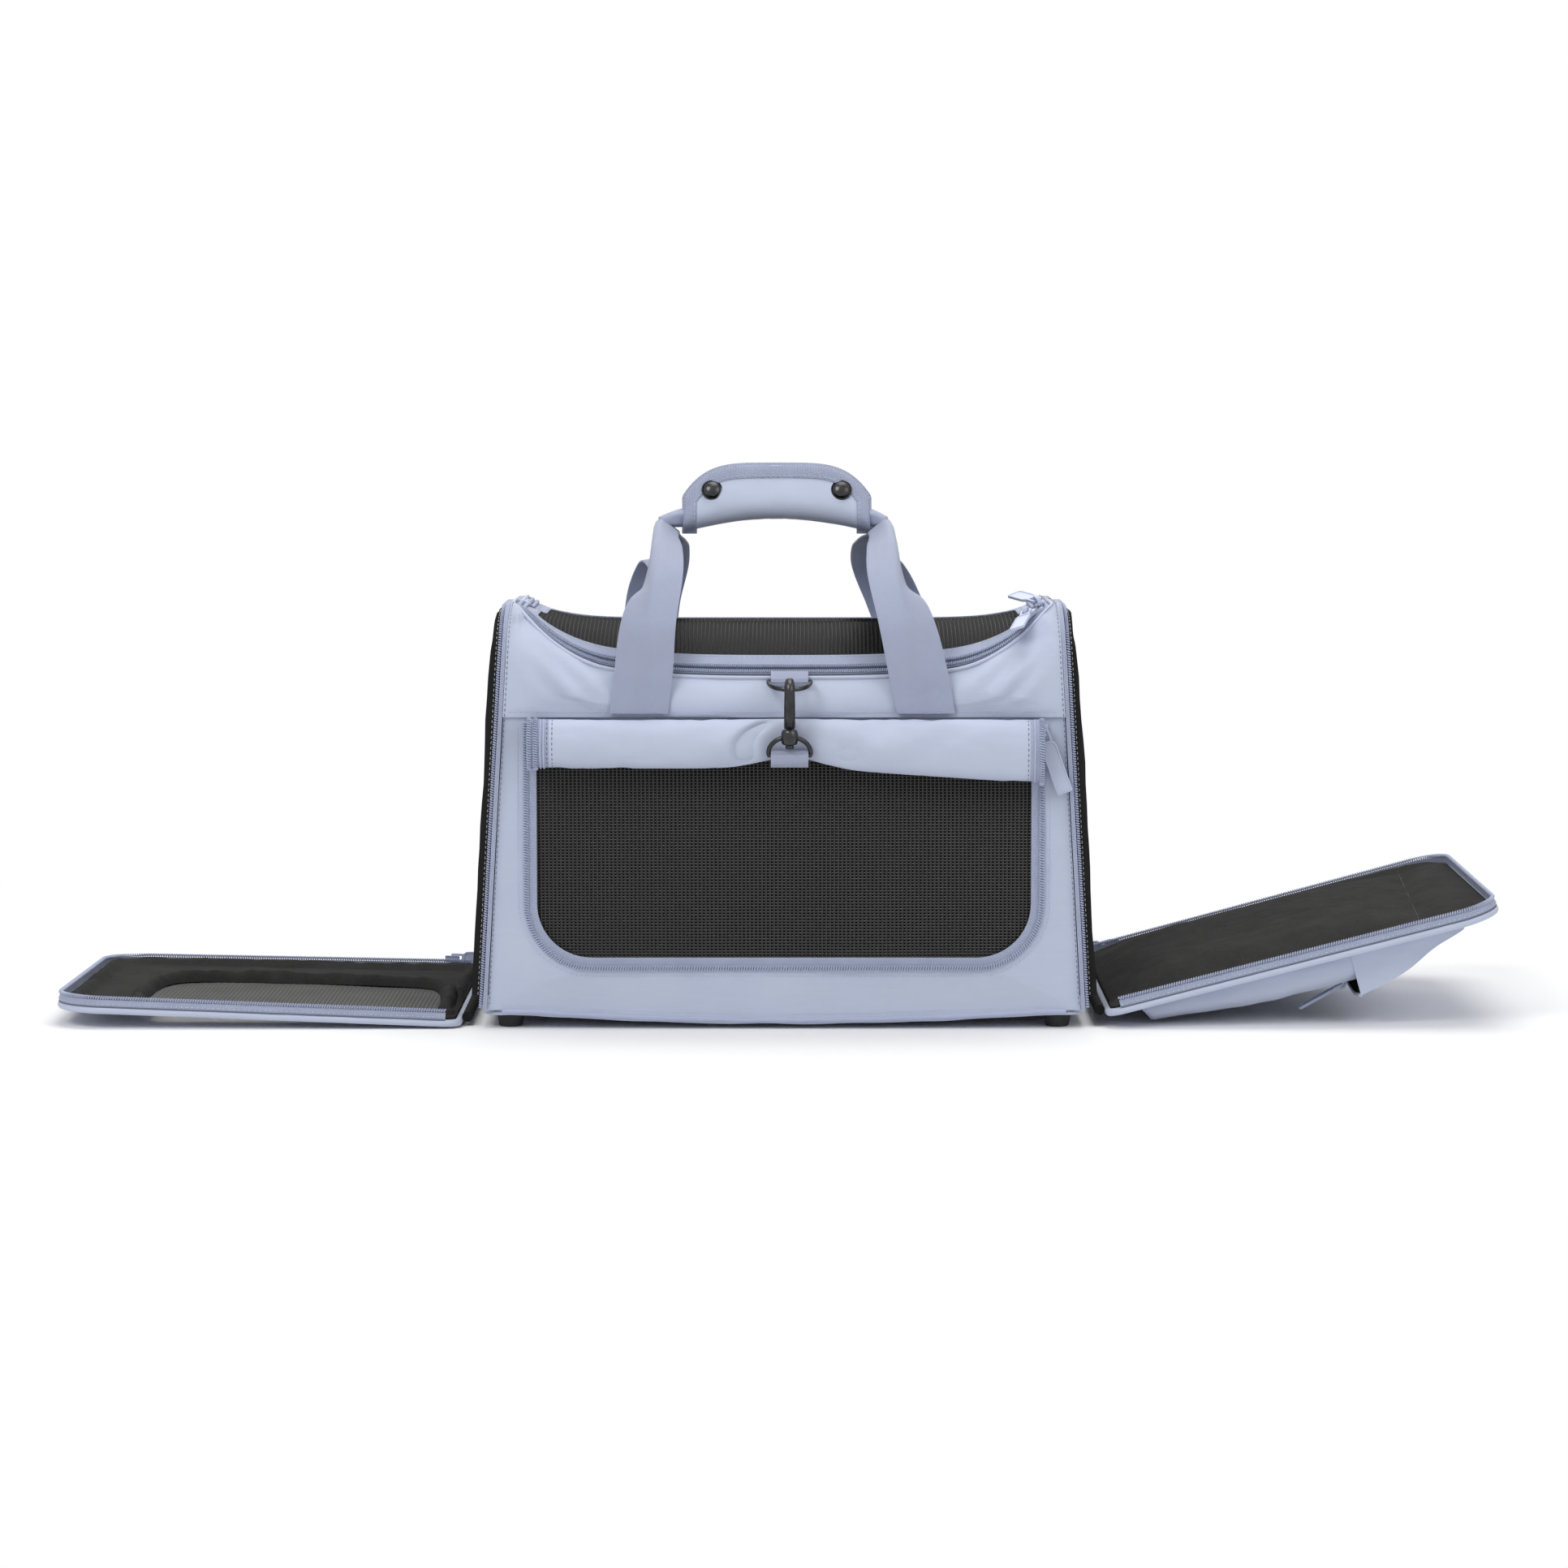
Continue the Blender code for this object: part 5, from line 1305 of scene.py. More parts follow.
@dataclass
class Curtain:
    """The front curtain: one sheet rolled up from its lower edge, drawn in where the clip holds it."""

    left: float = -0.1840
    right: float = 0.1866
    clip: float = 0.0040
    turns: float = 1.86
    cloth: float = 0.0009
    columns: int = 210
    rows: int = 104

    def pinch(self, x: float) -> float:
        """How far the clip draws the roll in, from 0 to 1."""
        return math.exp(-(((x - self.clip) / 0.030) ** 2))

    def crease(self, x: float, high: float) -> float:
        """How far the folds beside the clip push the cloth back, at a height from -1 to 1 on the roll."""
        bend = self.clip - 0.0335 + 0.017 * max(0.0, high + 0.1) ** 2 + 0.006 * max(0.0, -high - 0.3)
        deep = math.exp(-(((x - bend) / 0.0060) ** 2)) * math.exp(-((high / 0.85) ** 4)) * 0.0080
        deep -= math.exp(-(((x - bend + 0.0135) / 0.0090) ** 2)) * math.exp(-((high / 0.8) ** 2)) * 0.0026
        for spot, level, size, depth in (
            (0.047, -0.35, 0.010, 0.0034), (0.066, 0.05, 0.016, -0.0020), (0.112, 0.55, 0.014, 0.0022)
        ):
            lean = spot + 0.010 * high
            deep += depth * math.exp(-(((x - self.clip - lean) / size) ** 2) - ((high - level) / 0.45) ** 2)
        return deep

    def ring(self, x: float, turn: float) -> np.ndarray:
        """A point of the roll's spiral, turn counted from its outer end at the hem."""
        pinch = self.pinch(x)
        depth = 0.0122 - 0.0048 * pinch
        low = 0.1885 + 0.0075 * pinch - 0.0110 * max(0.0, (x - 0.02) / 0.16)
        high = FORM.hem - 0.0005
        angle = 2 * math.pi * turn + math.radians(62)
        shrink = 1.0 - 0.30 * turn / self.turns
        a, b = math.cos(angle), math.sin(angle)
        soft = 0.0012 * ripple(
            (x * 0.6, a * 0.02, b * 0.02), 46.0, 6.0
        ) + 0.0005 * ripple((x, a * 0.02, b * 0.02), 90.0)
        swell = 1.0 + soft / depth * (1.0 if turn < 1 else 0.4)
        y = -FORM.wall - 0.0006 - depth + depth * a * shrink * swell
        if a < 0.2 and turn < 1:
            y += self.crease(x, b) * min(1.0, (0.2 - a) / 0.5)
        return np.array((x, y, (low + high) / 2 + (high - low) / 2 * b * shrink * min(1.0, swell)))

    def build(self) -> None:
        """Makes the rolled sheet with its zip tapes, and the coils that are rolled up with it."""
        grid = []
        for i in range(self.rows + 1):
            turn = self.turns * i / self.rows
            grid.append([self.ring(x, turn) for x in np.linspace(self.left, self.right, self.columns + 1)])
        rows = np.array(grid)
        sheet = thick(rows, self.cloth, False, None)
        points = np.concatenate(sheet.points)
        middles = np.array([points[list(face)].mean(axis=0)[0] for face in sheet.faces])
        ends = (middles < self.left + 0.0165) | (middles > self.right - 0.0100)
        sheet.tags = np.where(ends, 1, 0).tolist()
        piece = settle(sheet.build("rolled_curtain", CLOTH, TAPE), BASE, Surface.CLOTH, "curtain_roll")
        coils = [
            self.around(x, 0.0009, 0.0040, 0.0026, True)
            for x in (self.left + 0.0018, self.left + 0.0062, self.right - 0.0020)
        ]
        ridges = [
            self.around(x, 0.0003, 0.0007, 0.0009, False)
            for x in (self.left + 0.0098, self.left + 0.0122, self.right - 0.0072)
        ]
        settle(merge(*coils).build("curtain_coils", COIL), BASE, Surface.ZIP)
        settle(merge(*ridges).build("curtain_tape_ridges", CLOTH_PIPING), BASE, Surface.ZIP)
        rows = [self.stitched(x) for x in (self.left + 0.0182, self.left + 0.0146, self.right - 0.0118)]
        # Real stitches drawn in the dark shade colour: painted shade of their sunk holes.
        settle(merge(*rows).build("curtain_stitches", PAINTED_SEAM_SHADE), BASE, Surface.ZIP)

    def track(self, x: float) -> tuple[np.ndarray, np.ndarray]:
        """A line round the roll's outside at a station, and its outward direction."""
        path = np.array([self.ring(x, t) for t in np.linspace(0.10, 0.66, 70)])
        middle = path.mean(axis=0) + np.array((0.0, 0.010, 0.0))
        return path, unit((path - middle) * np.array((0.0, 1.0, 1.0)))

    def around(self, x: float, lift: float, width: float, height: float, wound: bool) -> Patch:
        """A coil or a ridge that goes round the roll."""
        path, up = self.track(x)
        if wound:
            return coil(path + up * lift, up, width, height, 0.0018)
        return sweep(path + up * lift, up, circle(width, 8))

    def stitched(self, x: float) -> Patch:
        """A row of stitches round the roll."""
        path, up = self.track(x)
        return seam(path + up * 0.0003, up)


def tab_fold(
    center: np.ndarray, half: float, inner: float, tail: Sequence[Sequence[float]], lift: float
) -> Patch:
    """A webbing tab folded round a bar along X, with a sewn tail.

    Args:
        center: the bar's middle.
        half: half the tab's width.
        inner: radius inside the fold.
        tail: further points in (y, z) that the two layers run to.
        lift: angle in degrees where the fold starts.

    Returns:
        The patch.
    """
    outer = inner + 0.0013
    turn = [
        (center[1] + outer * math.cos(t), center[2] + outer * math.sin(t))
        for t in np.radians(np.linspace(lift, lift + 360, 33))
    ]
    back = [
        (center[1] + inner * math.cos(t), center[2] + inner * math.sin(t))
        for t in np.radians(np.linspace(lift + 360, lift, 33))
    ]
    rings = []
    for x, grow in (
        (-half, -0.0003), (-half + 0.0005, 0.0), (0.0, 0.0), (half - 0.0005, 0.0), (half, -0.0003)
    ):
        line = [
            (y + grow * (y - center[1]) / outer, z + grow * (z - center[2]) / outer) for y, z in turn
        ] + back
        rings.append(np.array([(center[0] + x, y, z) for y, z in line]))
    made = [loft(rings)]
    if tail:
        rows = np.array([(center[0], y, z) for y, z in tail])
        ahead = np.gradient(rows, axis=0)
        up = np.cross(ahead, np.tile((1.0, 0.0, 0.0), (len(rows), 1)))
        flat = [(-half, -0.0007), (half, -0.0007), (half, 0.0007), (-half, 0.0007)]
        made.append(sweep(rows, up, flat))
    return merge(*made)


def bowed_ring(center: float, bar: Sequence[float], far: Sequence[float], half: float) -> np.ndarray:
    """Points of a D-shaped ring: a straight bar, and a bow out to the far point."""
    bar, far = np.array(bar), np.array(far)
    points = []
    for t in np.linspace(0.0, np.pi, 56):
        share = math.sin(t)
        points.append((center + half * math.cos(t) * (1 + 0.10 * share), *(bar + (far - bar) * share)))
    points += [(center + half * c, *bar) for c in np.linspace(-0.9, 0.9, 12)]
    return np.array(points)


@dataclass
class Clip:
    """The swivel snap hook, with its ring and webbing tabs, which holds the rolled curtain up."""

    x: float = 0.0040
    y: float = -0.1630
    wire: float = 0.0017
    boss: float = 0.2138

    def build(self) -> None:
        """Makes tabs, ring, swivel, hook and gate."""
        bar = (-0.1375, 0.2517)
        tail = [
            (-0.1408, 0.2512), (-0.1392, 0.2535), (-0.1362, 0.2556), (-0.1326, 0.2570), (-0.1290, 0.2580)
        ]
        tab = tab_fold(np.array((self.x, *bar)), 0.0134, 0.0020, tail, 90.0)
        settle(tab.build("upper_loop_tab", STRAP), BASE, Surface.WEBBING, "upper_tab")
        path = bowed_ring(self.x, bar, (self.y + 0.0004, 0.2478), 0.0150)
        ring = sweep(path, np.tile((0.0, 0.2, 1.0), (len(path), 1)), circle(self.wire, 16), loop=True)
        settle(ring.build("hook_ring", METAL), "ring", Surface.METAL, "upper_ring")
        low = (-0.1584, 0.2005)
        tail = [
            (-0.1614, 0.2012), (-0.1617, 0.1985), (-0.1610, 0.1958), (-0.1588, 0.1936), (-0.1556, 0.1922),
            (-0.1520, 0.1916)
        ]
        tab = tab_fold(np.array((self.x, *low)), 0.0134, 0.0020, tail, 90.0)
        settle(tab.build("lower_loop_tab", STRAP), BASE, Surface.WEBBING, "lower_tab")
        self.swivel(low)
        self.hook()

    def turned(self, profile: Sequence[tuple[float, float]], count: int = 28) -> Patch:
        """A shape turned round the hook's upright axis; radius first, then height over the boss."""
        rings = []
        for radius, high in profile:
            ring = [(self.x + a, self.y + b, self.boss + high) for a, b in circle(radius, count)]
            rings.append(np.array(ring))
        return loft(rings)

    def swivel(self, low: tuple[float, float]) -> None:
        """The lower loop with its barrel."""
        path = bowed_ring(self.x, low, (self.y, self.boss), 0.0150)
        loop = sweep(path, np.tile((0.0, 1.0, 0.3), (len(path), 1)), circle(self.wire, 16), loop=True)
        steps = [
            (0.0026, -0.0055), (0.0044, -0.0056), (0.0052, -0.0052), (0.0057, -0.0044), (0.0061, -0.0020)
        ]
        steps += [
            (0.0062, 0.0), (0.0061, 0.0020), (0.0057, 0.0038), (0.0052, 0.0050), (0.0044, 0.0054),
            (0.0026, 0.0053)
        ]
        piece = merge(loop, self.turned(steps)).build("swivel", METAL)
        settle(piece, BASE, Surface.METAL, "swivel_loop")

    def hook(self) -> None:
        """The hook with its turning shank, and the sprung gate."""
        trail = [
            (0.0, -0.0088, 0.0018), (0.0, -0.0084, 0.0027), (0.0, -0.0076, 0.0031), (0.0, -0.0062, 0.0031)
        ]
        trail += [
            (0.0, -0.0059, 0.0019), (0.0, 0.0057, 0.0019), (0.0, 0.0058, 0.0036), (0.0, 0.0066, 0.0040)
        ]
        trail += [(-0.0004, 0.0082, 0.0042), (-0.0022, 0.0104, 0.0042), (-0.0048, 0.0130, 0.0041)]
        trail += [
            (-0.0063, 0.0158, 0.0041), (-0.0068, 0.0190, 0.0040), (-0.0068, 0.0230, 0.0040),
            (-0.0068, 0.0270, 0.0039)
        ]
        bow = arc((-0.0001, 0.0327), (0.0067, 0.0067), 180, 0, 22)
        trail += [(a, b, 0.0038 - 0.0010 * (a + 0.0068) / 0.0134) for a, b in bow]
        trail += [(0.0066, 0.0312, 0.0025), (0.0066, 0.0303, 0.0021), (0.0066, 0.0300, 0.0012)]
        path = np.array([(self.x, self.y + a, self.boss + b) for a, b, _ in trail])
        sides = np.tile((1.0, 0.0, 0.0), (len(path), 1))
        body = sweep(path, sides, lambda i: circle(trail[i][2], 20))
        settle(body.build("snap_hook_body", METAL), "snap_hook", Surface.METAL, "hook")
        spot = np.array((self.x, self.y + 0.0052, self.boss + 0.0122))
        rows = curve_through(
            [
                (0.0, -0.0016, 0.0009), (0.0, -0.0008, 0.0018), (0.0004, 0.0060, 0.0019),
                (0.0014, 0.0172, 0.0018)
            ],
            24
        )
        path = np.array([spot + (0.0, a, b) for a, b, _ in rows])
        gate = sweep(path, np.tile((1.0, 0.0, 0.0), (len(path), 1)), lambda i: circle(rows[i][2], 16))
        settle(gate.build("snap_hook_gate", METAL), "snap_gate", Surface.METAL, "gate")


@dataclass
class Handle:
    """The carrying handle: a folded grip edged with webbing, press studs, and four strap legs folded at the top."""

    middle: float = -0.0054
    half: float = 0.069
    width: float = 0.042
    anchor: float = 0.229
    top_end: float = 0.3640
    travel: float = 0.050
    crease: float = 152.0
    stations: int = 72

    def ridge(self, t: float) -> float:
        """Height of the grip's upper edge."""
        return 0.4035 - 0.0240 * abs(t) ** 4.4

    def keel(self, t: float) -> float:
        """Height of its lower edge."""
        return 0.3630 - 0.0095 * t * t

    def build(self) -> None:
        """Makes grip, edge, necks, studs and straps."""
        self.grip()
        self.edge()
        self.necks()
        self.studs()
        self.straps()

    def profile(self) -> Loop:
        """Half the grip's section: its half depth, and its height as a share from -1 to 1."""
        line = [
            (0.0012, 1.0), (0.0026, 0.96), (0.0052, 0.66), (0.0083, 0.30), (0.0112, 0.0), (0.0133, -0.30)
        ]
        return [*line, (0.0138, -0.48), (0.0132, -0.66), (0.0112, -0.82), (0.0076, -0.94), (0.0036, -0.99)]

    def section(self, t: float) -> Loop:
        """The grip's section in (y, z) at a station from -1 to 1."""
        middle, tall = (self.ridge(t) + self.keel(t)) / 2, (self.ridge(t) - self.keel(t)) / 2
        wide = 1.0 - 0.16 * max(0.0, (abs(t) - 0.93) / 0.07) ** 2
        half = self.profile()
        full = [*half, (0.0, -1.0), *((-y, z) for y, z in reversed(half))]
        return [(y * wide, middle + z * tall) for y, z in full]

    def depth(self, x: float, z: float) -> float:
        """Half the grip's depth at a place of its face."""
        t = max(-1.0, min(1.0, x / self.half))
        middle, tall = (self.ridge(t) + self.keel(t)) / 2, (self.ridge(t) - self.keel(t)) / 2
        rows = np.array(self.profile())[::-1]
        return float(np.interp((z - middle) / tall, rows[:, 1], rows[:, 0]))

    def grip(self) -> None:
        """The folded cloth of the grip, puckered along its fold."""
        rings = []
        for i in range(self.stations + 1):
            t = -math.cos(math.pi * i / self.stations)
            ring = []
            for y, z in self.section(t):
                push = 0.0008 * ripple((t * self.half, y, z), 42.0, 9.0) * (1 - abs(t) ** 8)
                low = max(0.0, 1 - (z - self.keel(t)) / 0.008)
                push += 0.0007 * low * ripple(
                    (t * self.half, 0.0, 0.0), 210.0, 3.0
                ) * math.exp(-((t - 0.05) / 0.3) ** 2)
                ring.append((self.middle + t * self.half, y + math.copysign(push, y), z + push * 0.6))
            rings.append(np.array(ring))
        settle(loft(rings).build("folded_grip", CLOTH, smooth=60), "handle", Surface.CLOTH, "grip")

    def edge(self) -> None:
        """The webbing folded over the grip's ends and ridge, with its row of stitches."""
        up_end = [(-self.half, lerp(self.keel(1.0) - 0.0012, self.ridge(1.0), i / 10)) for i in range(10)]
        top = [(t * self.half, self.ridge(t)) for t in np.linspace(-1.0, 1.0, 90)]
        line = resample(
            np.array([(x, 0.0, z) for x, z in [*up_end, *top, *((-x, z) for x, z in reversed(up_end))]]),
            0.0022
        )
        ahead = unit(np.gradient(line, axis=0))
        ahead = unit(ahead + np.roll(ahead, 1, axis=0) + np.roll(ahead, -1, axis=0) + 1e-9)
        ahead[0], ahead[-1] = (0.0, 0.0, 1.0), (0.0, 0.0, -1.0)
        rings, stitches = [], {-1: [], 1: []}
        for i, (x, _, z) in enumerate(line):
            inward = (ahead[i, 2], -ahead[i, 0])
            band = 0.0094
            halves = {}
            for face in (-1, 1):
                half = []
                for k in range(7):
                    a, b = x + inward[0] * band * k / 6, z + inward[1] * band * k / 6
                    off = self.depth(a, b) + 0.0009 + 0.0004 * math.sin(math.pi * k / 6)
                    half.append((self.middle + a, face * max(off, 0.0022), b))
                halves[face] = half
                stitches[face].append(np.array(half[5]) + (0.0, face * 0.0001, 0.0))
            over = (self.middle + x - inward[0] * 0.0016, 0.0, z - inward[1] * 0.0016)
            inner = [(p[0], p[1] * 0.7, p[2]) for p in (halves[1][6], halves[-1][6])]
            rings.append(np.array([*reversed(halves[-1]), over, *halves[1], *inner]))
        settle(loft(rings).build("grip_edge", EDGING, smooth=60), "handle", Surface.WEBBING)
        rows = [
            seam(np.array(row), np.tile((0.0, float(face), 0.0), (len(row), 1)))
            for face, row in stitches.items()
        ]
        settle(merge(*rows).build("grip_stitches", THREAD), "handle", Surface.ZIP)

    def necks(self) -> None:
        """The strap webbing that runs into both ends of the grip."""
        for side, name, reach in ((-1, "left", 0.0880), (1, "right", 0.0828)):
            rings = []
            for k in range(13):
                share = k / 12
                x = lerp(self.half - 0.004, reach, share)
                wide = lerp(0.0100, 0.0132, share) * (1.0 if k < 11 else (0.92 if k == 11 else 0.70))
                high = lerp(0.3724, 0.3646, share) + 0.0008 * math.sin(math.pi * share)
                low = lerp(0.3572, 0.3566, share) + (0.0 if k < 11 else 0.0016 * (k - 10))
                rise = (high - low) / 2
                ring = []
                for a, b in circle(1.0, 28):
                    crimp = 1.0 + 0.10 * math.sin(5 * math.atan2(b, a) + 3 * share) * (1 - share)
                    ring.append(
                        (
                            self.middle + side * x, a * wide * crimp,
                            (high + low) / 2 + math.copysign(abs(b) ** 0.7, b) * rise
                        )
                    )
                rings.append(np.array(ring))
            settle(loft(rings).build(f"strap_neck_{name}", STRAP, smooth=70), "handle", Surface.WEBBING)

    def studs(self) -> None:
        """The press studs: a rolled rim round a dome."""
        steps = [
            (0.0078, -0.0010), (0.0080, 0.0003), (0.0077, 0.0010), (0.0072, 0.0012), (0.0068, 0.0009),
            (0.0066, 0.0012)
        ]
        steps += [(0.0061, 0.0021), (0.0052, 0.0029), (0.0040, 0.0035), (0.0024, 0.0039), (0.0008, 0.0041)]
        lean = math.atan2(0.0110, 1.36 * 0.0190)
        for side, name in ((-1, "left"), (1, "right")):
            for face, front in ((-1, "front"), (1, "rear")):
                out = np.array((0.0, face * math.cos(lean), math.sin(lean)))
                along = np.array((0.0, -face * math.sin(lean), math.cos(lean)))
                spot = np.array((self.middle + side * 0.048, face * 0.0083, 0.3849))
                rings = []
                for radius, high in steps:
                    rings.append(
                        np.array(
                            [
                                spot + out * high + np.array((a, 0, 0)) + along * b
                                for a, b in circle(radius, 36)
                            ]
                        )
                    )
                node = f"grip_stud_{front}_{name}"
                settle(
                    loft(rings).build(f"press_stud_{front}_{name}", METAL), "handle", Surface.METAL, node
                )

    def route(self, face: int, side: int) -> np.ndarray:
        """Rows of x, y, z and the share of the lengthwise fold along a strap leg."""
        top = [
            (0.0938, 0.0680, 0.3490, 0.66), (0.0933, 0.0300, 0.3600, 0.95), (0.0925, 0.0120, 0.3640, 1.0)
        ]
        if face < 0:
            foot = [
                (0.1040, 0.1434, 0.2290, 0), (0.1028, 0.1422, 0.2430, 0), (0.1005, 0.1420, 0.2620, 0.04),
                (0.0985, 0.1366, 0.2950, 0.20)
            ]
        else:
            foot = [
                (0.1060, 0.1434, 0.2290, 0), (0.1048, 0.1434, 0.2560, 0), (0.1040, 0.1424, 0.2740, 0.02),
                (0.1010, 0.1345, 0.2985, 0.06)
            ]
        rows = [*foot, (0.0940, 0.1115, 0.3270, 0.42 if face < 0 else 0.26), *top]
        aside = (0.0,) * len(rows)
        if side > 0:
            aside = (0.0020, 0.0034, 0.0050, 0.0095, 0.0125, 0.0138, 0.0150, 0.0158)
        if side > 0 and face > 0:
            aside = (0.0020, 0.0055, 0.0105, 0.0175, 0.0215, 0.0185, 0.0160, 0.0158)
        return curve_through(
            [(side * x - a, face * y, z, turn) for (x, y, z, turn), a in zip(rows, aside)], 84
        )

    def folded(self, turn: float) -> Loop:
        """A strap's section, folded back along its middle by a turn, with a round crease."""
        count = 30
        step = self.width / count
        place, line, ways = np.array((self.width / 2, 0.0)), [], []
        for i in range(count + 1):
            past = (i - count / 2) * step
            bend = turn * min(1.0, max(0.0, past / 0.0090 + 0.5))
            way = np.array((-math.cos(bend), -math.sin(bend)))
            line.append(place.copy())
            ways.append(way)
            place = place + way * step
        thin = [0.00062 if i in (0, count) else 0.00098 for i in range(count + 1)]
        upper = [(p[0] + w[1] * t, p[1] - w[0] * t) for p, w, t in zip(line, ways, thin)]
        lower = [(p[0] - w[1] * t, p[1] + w[0] * t) for p, w, t in zip(line, ways, thin)]
        return upper + lower[::-1]

    def rolled(self, share: float) -> Loop:
        """A strap's section at a share of its fold: drawn together and rolled back towards the grip."""
        late = max(0.0, min(1.0, (share - 0.45) / 0.55))
        roll, draw = math.radians(38.0) * late, 1.0 - 0.14 * late
        turn = math.radians(self.crease) * share
        begun = max(0.0, min(1.0, (share - 0.20) / 0.28))
        bend = turn * begun * begun * (3 - 2 * begun)
        tuck = min(1.0, max(0.3, math.cos(turn)) / max(0.3, math.cos(bend))) if share < 0.5 else 1.0
        ring = [(a * draw if a > 0 else a * tuck, b) for a, b in self.folded(bend)]
        return [
            (a * math.cos(roll) + b * math.sin(roll), b * math.cos(roll) - a * math.sin(roll))
            for a, b in ring
        ]

    def straps(self) -> None:
        """The four legs of strap webbing, folded along their length towards the grip."""
        for face, front in ((-1, "front"), (1, "rear")):
            for side, name in ((-1, "left"), (1, "right")):
                rows = self.route(face, side)
                path = rows[:, :3]
                ahead = unit(np.gradient(path, axis=0))
                inward = np.tile((-float(side), 0.0, 0.0), (len(path), 1))
                inward = unit(inward - ahead * np.sum(inward * ahead, axis=1, keepdims=True))
                outward = np.cross(inward, ahead) * side * face
                rings = []
                for i, point in enumerate(path):
                    ring = self.rolled(max(0.0, rows[i, 3]))
                    wave = 0.0009 * ripple(point, 30.0, side + 3 * face) * min(1.0, i / 30)
                    made = np.array([point + inward[i] * a + outward[i] * (b + wave) for a, b in ring])
                    made[:, 2] = point[2] + (made[:, 2] - point[2]) * min(1.0, i / 8)
                    rings.append(made)
                piece = loft(rings).build(f"strap_leg_{front}_{name}", STRAP, smooth=40)
                settle(piece, BASE, Surface.WEBBING, f"strap_{front}_{name}")
                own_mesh(piece)


@dataclass
class Pull:
    """A moulded zip pull: a framed tab with a square eye, hung on its slider."""

    name: str
    node: str
    body: str
    spot: tuple[float, float, float]
    along: tuple[float, float, float]
    side: tuple[float, float, float]
    up: tuple[float, float, float]
    length: float = 0.0440
    width: float = 0.0118
    depth: float = 0.0022

    def place(self) -> Matrix:
        """Where the pull's bar lies, with its tab along minus X."""
        columns = (*self.along, 0.0), (*self.side, 0.0), (*self.up, 0.0), (*self.spot, 1.0)
        return Matrix(columns).transposed()

    def outline(self, inset: float) -> Loop:
        """The tab's outline, drawn in."""
        half, end = self.width / 2 - inset, -self.length + inset
        start, neck = -0.0085 - inset, 0.0041 - inset
        r = 0.0018
        right = [(start, neck), (-0.0105 - inset * 0.4, half - 0.0004), (-0.0130, half)]
        right += arc((end + r, half - r), (r, r), 90, 180, 6)
        return right + [(x, -y) for x, y in reversed(right)]

    def build(self) -> None:
        """Makes the tab with a raised rim on both faces, and the arms round the eye."""
        top = self.depth / 2
        steps = [
            (0.0014, top - 0.0005), (0.0011, top - 0.0005), (0.0009, top), (0.0004, top),
            (0.0, top - 0.0004)
        ]
        steps += [(inset, -z) for inset, z in reversed(steps)]
        rings = [np.array([(x, y, z) for x, y in self.outline(inset)]) for inset, z in steps]
        tab = loft(rings)
        path = []
        for a, b in ((0.0003, 0.0032), (-0.0080, 0.0032), (-0.0080, -0.0032), (0.0003, -0.0032)):
            path.append((a, b, 0.0))
        loop = resample(np.array(path), 0.0008, True)
        arm = [(-0.0009, -top + 0.0004), (-0.0005, -top), (0.0005, -top), (0.0009, -top + 0.0004)]
        arm += [(0.0009, top - 0.0004), (0.0005, top), (-0.0005, top), (-0.0009, top - 0.0004)]
        eye = sweep(loop, np.tile((0.0, 0.0, 1.0), (len(loop), 1)), arm, loop=True)
        piece = merge(tab, eye).build(self.name, PLASTIC, place=self.place(), smooth=32)
        settle(piece, self.body, Surface.MOULDED, self.node)


@dataclass
class Lid:
    """The mesh lid: bound tape, net, the moving half of the zip, and two sliders."""

    rows: int = 5

    def build(self) -> None:
        """Makes the lid's pieces."""
        loops = [
            FORM.lid_outline(FORM.lid_gap + FORM.lid_tape * i / self.rows) for i in range(self.rows + 1)
        ]
        grid = np.array([[self.at(x, y, -0.0001) for x, y in line] for line in loops])
        tape = thick(grid, 0.0018, True, np.array((0.0, 0.0, 0.1)))
        settle(tape.build("lid_binding", TAPE, LINING), "lid", Surface.ZIP, "lid_tape")
        inset = FORM.lid_gap + FORM.lid_tape - 0.003
        shape = np.array(FORM.lid_outline(inset))

        def inside(x: float, y: float) -> bool:
            """Whether a plan point lies within the tape."""
            turn = np.arctan2(shape[:, 1] - y, shape[:, 0] - x)
            hop = np.diff(np.concatenate([turn, turn[:1]]))
            return abs(np.sum((hop + np.pi) % (2 * np.pi) - np.pi)) > 3.0

        def at(x: float, y: float) -> np.ndarray:
            """A net point just under the tape."""
            return self.at(x, y, -0.0016)

        low, high = shape.min(axis=0), shape.max(axis=0)
        threads = net(at, tuple(low), tuple(high), (0.0029, 0.0026), np.array((0.0, 0.0, 0.0010)), inside)
        settle(threads.build("lid_mesh", LID_MESH, smooth=180), "lid", Surface.MESH, "lid_net")
        path, up = FORM.lid_zip(FORM.lid_gap + 0.0004)
        settle(
            coil(path + up * 0.0012, up, 0.0034, 0.0024).build("lid_coil", COIL), "lid", Surface.ZIP,
            "lid_zip"
        )
        path, up = FORM.lid_zip(FORM.lid_gap + FORM.lid_tape - 0.0018)
        settle(seam(path + up * 0.0002, up).build("lid_stitches", THREAD), "lid", Surface.ZIP)
        for name in ("lid_slider_front", "lid_slider_rear", "front_slider"):
            dress(name, PLASTIC)

    def at(self, x: float, y: float, off: float) -> np.ndarray:
        """A roof point over the plan, a little above or below the roof."""
        return np.array((x, y, FORM.station(x, y)[1] + off))


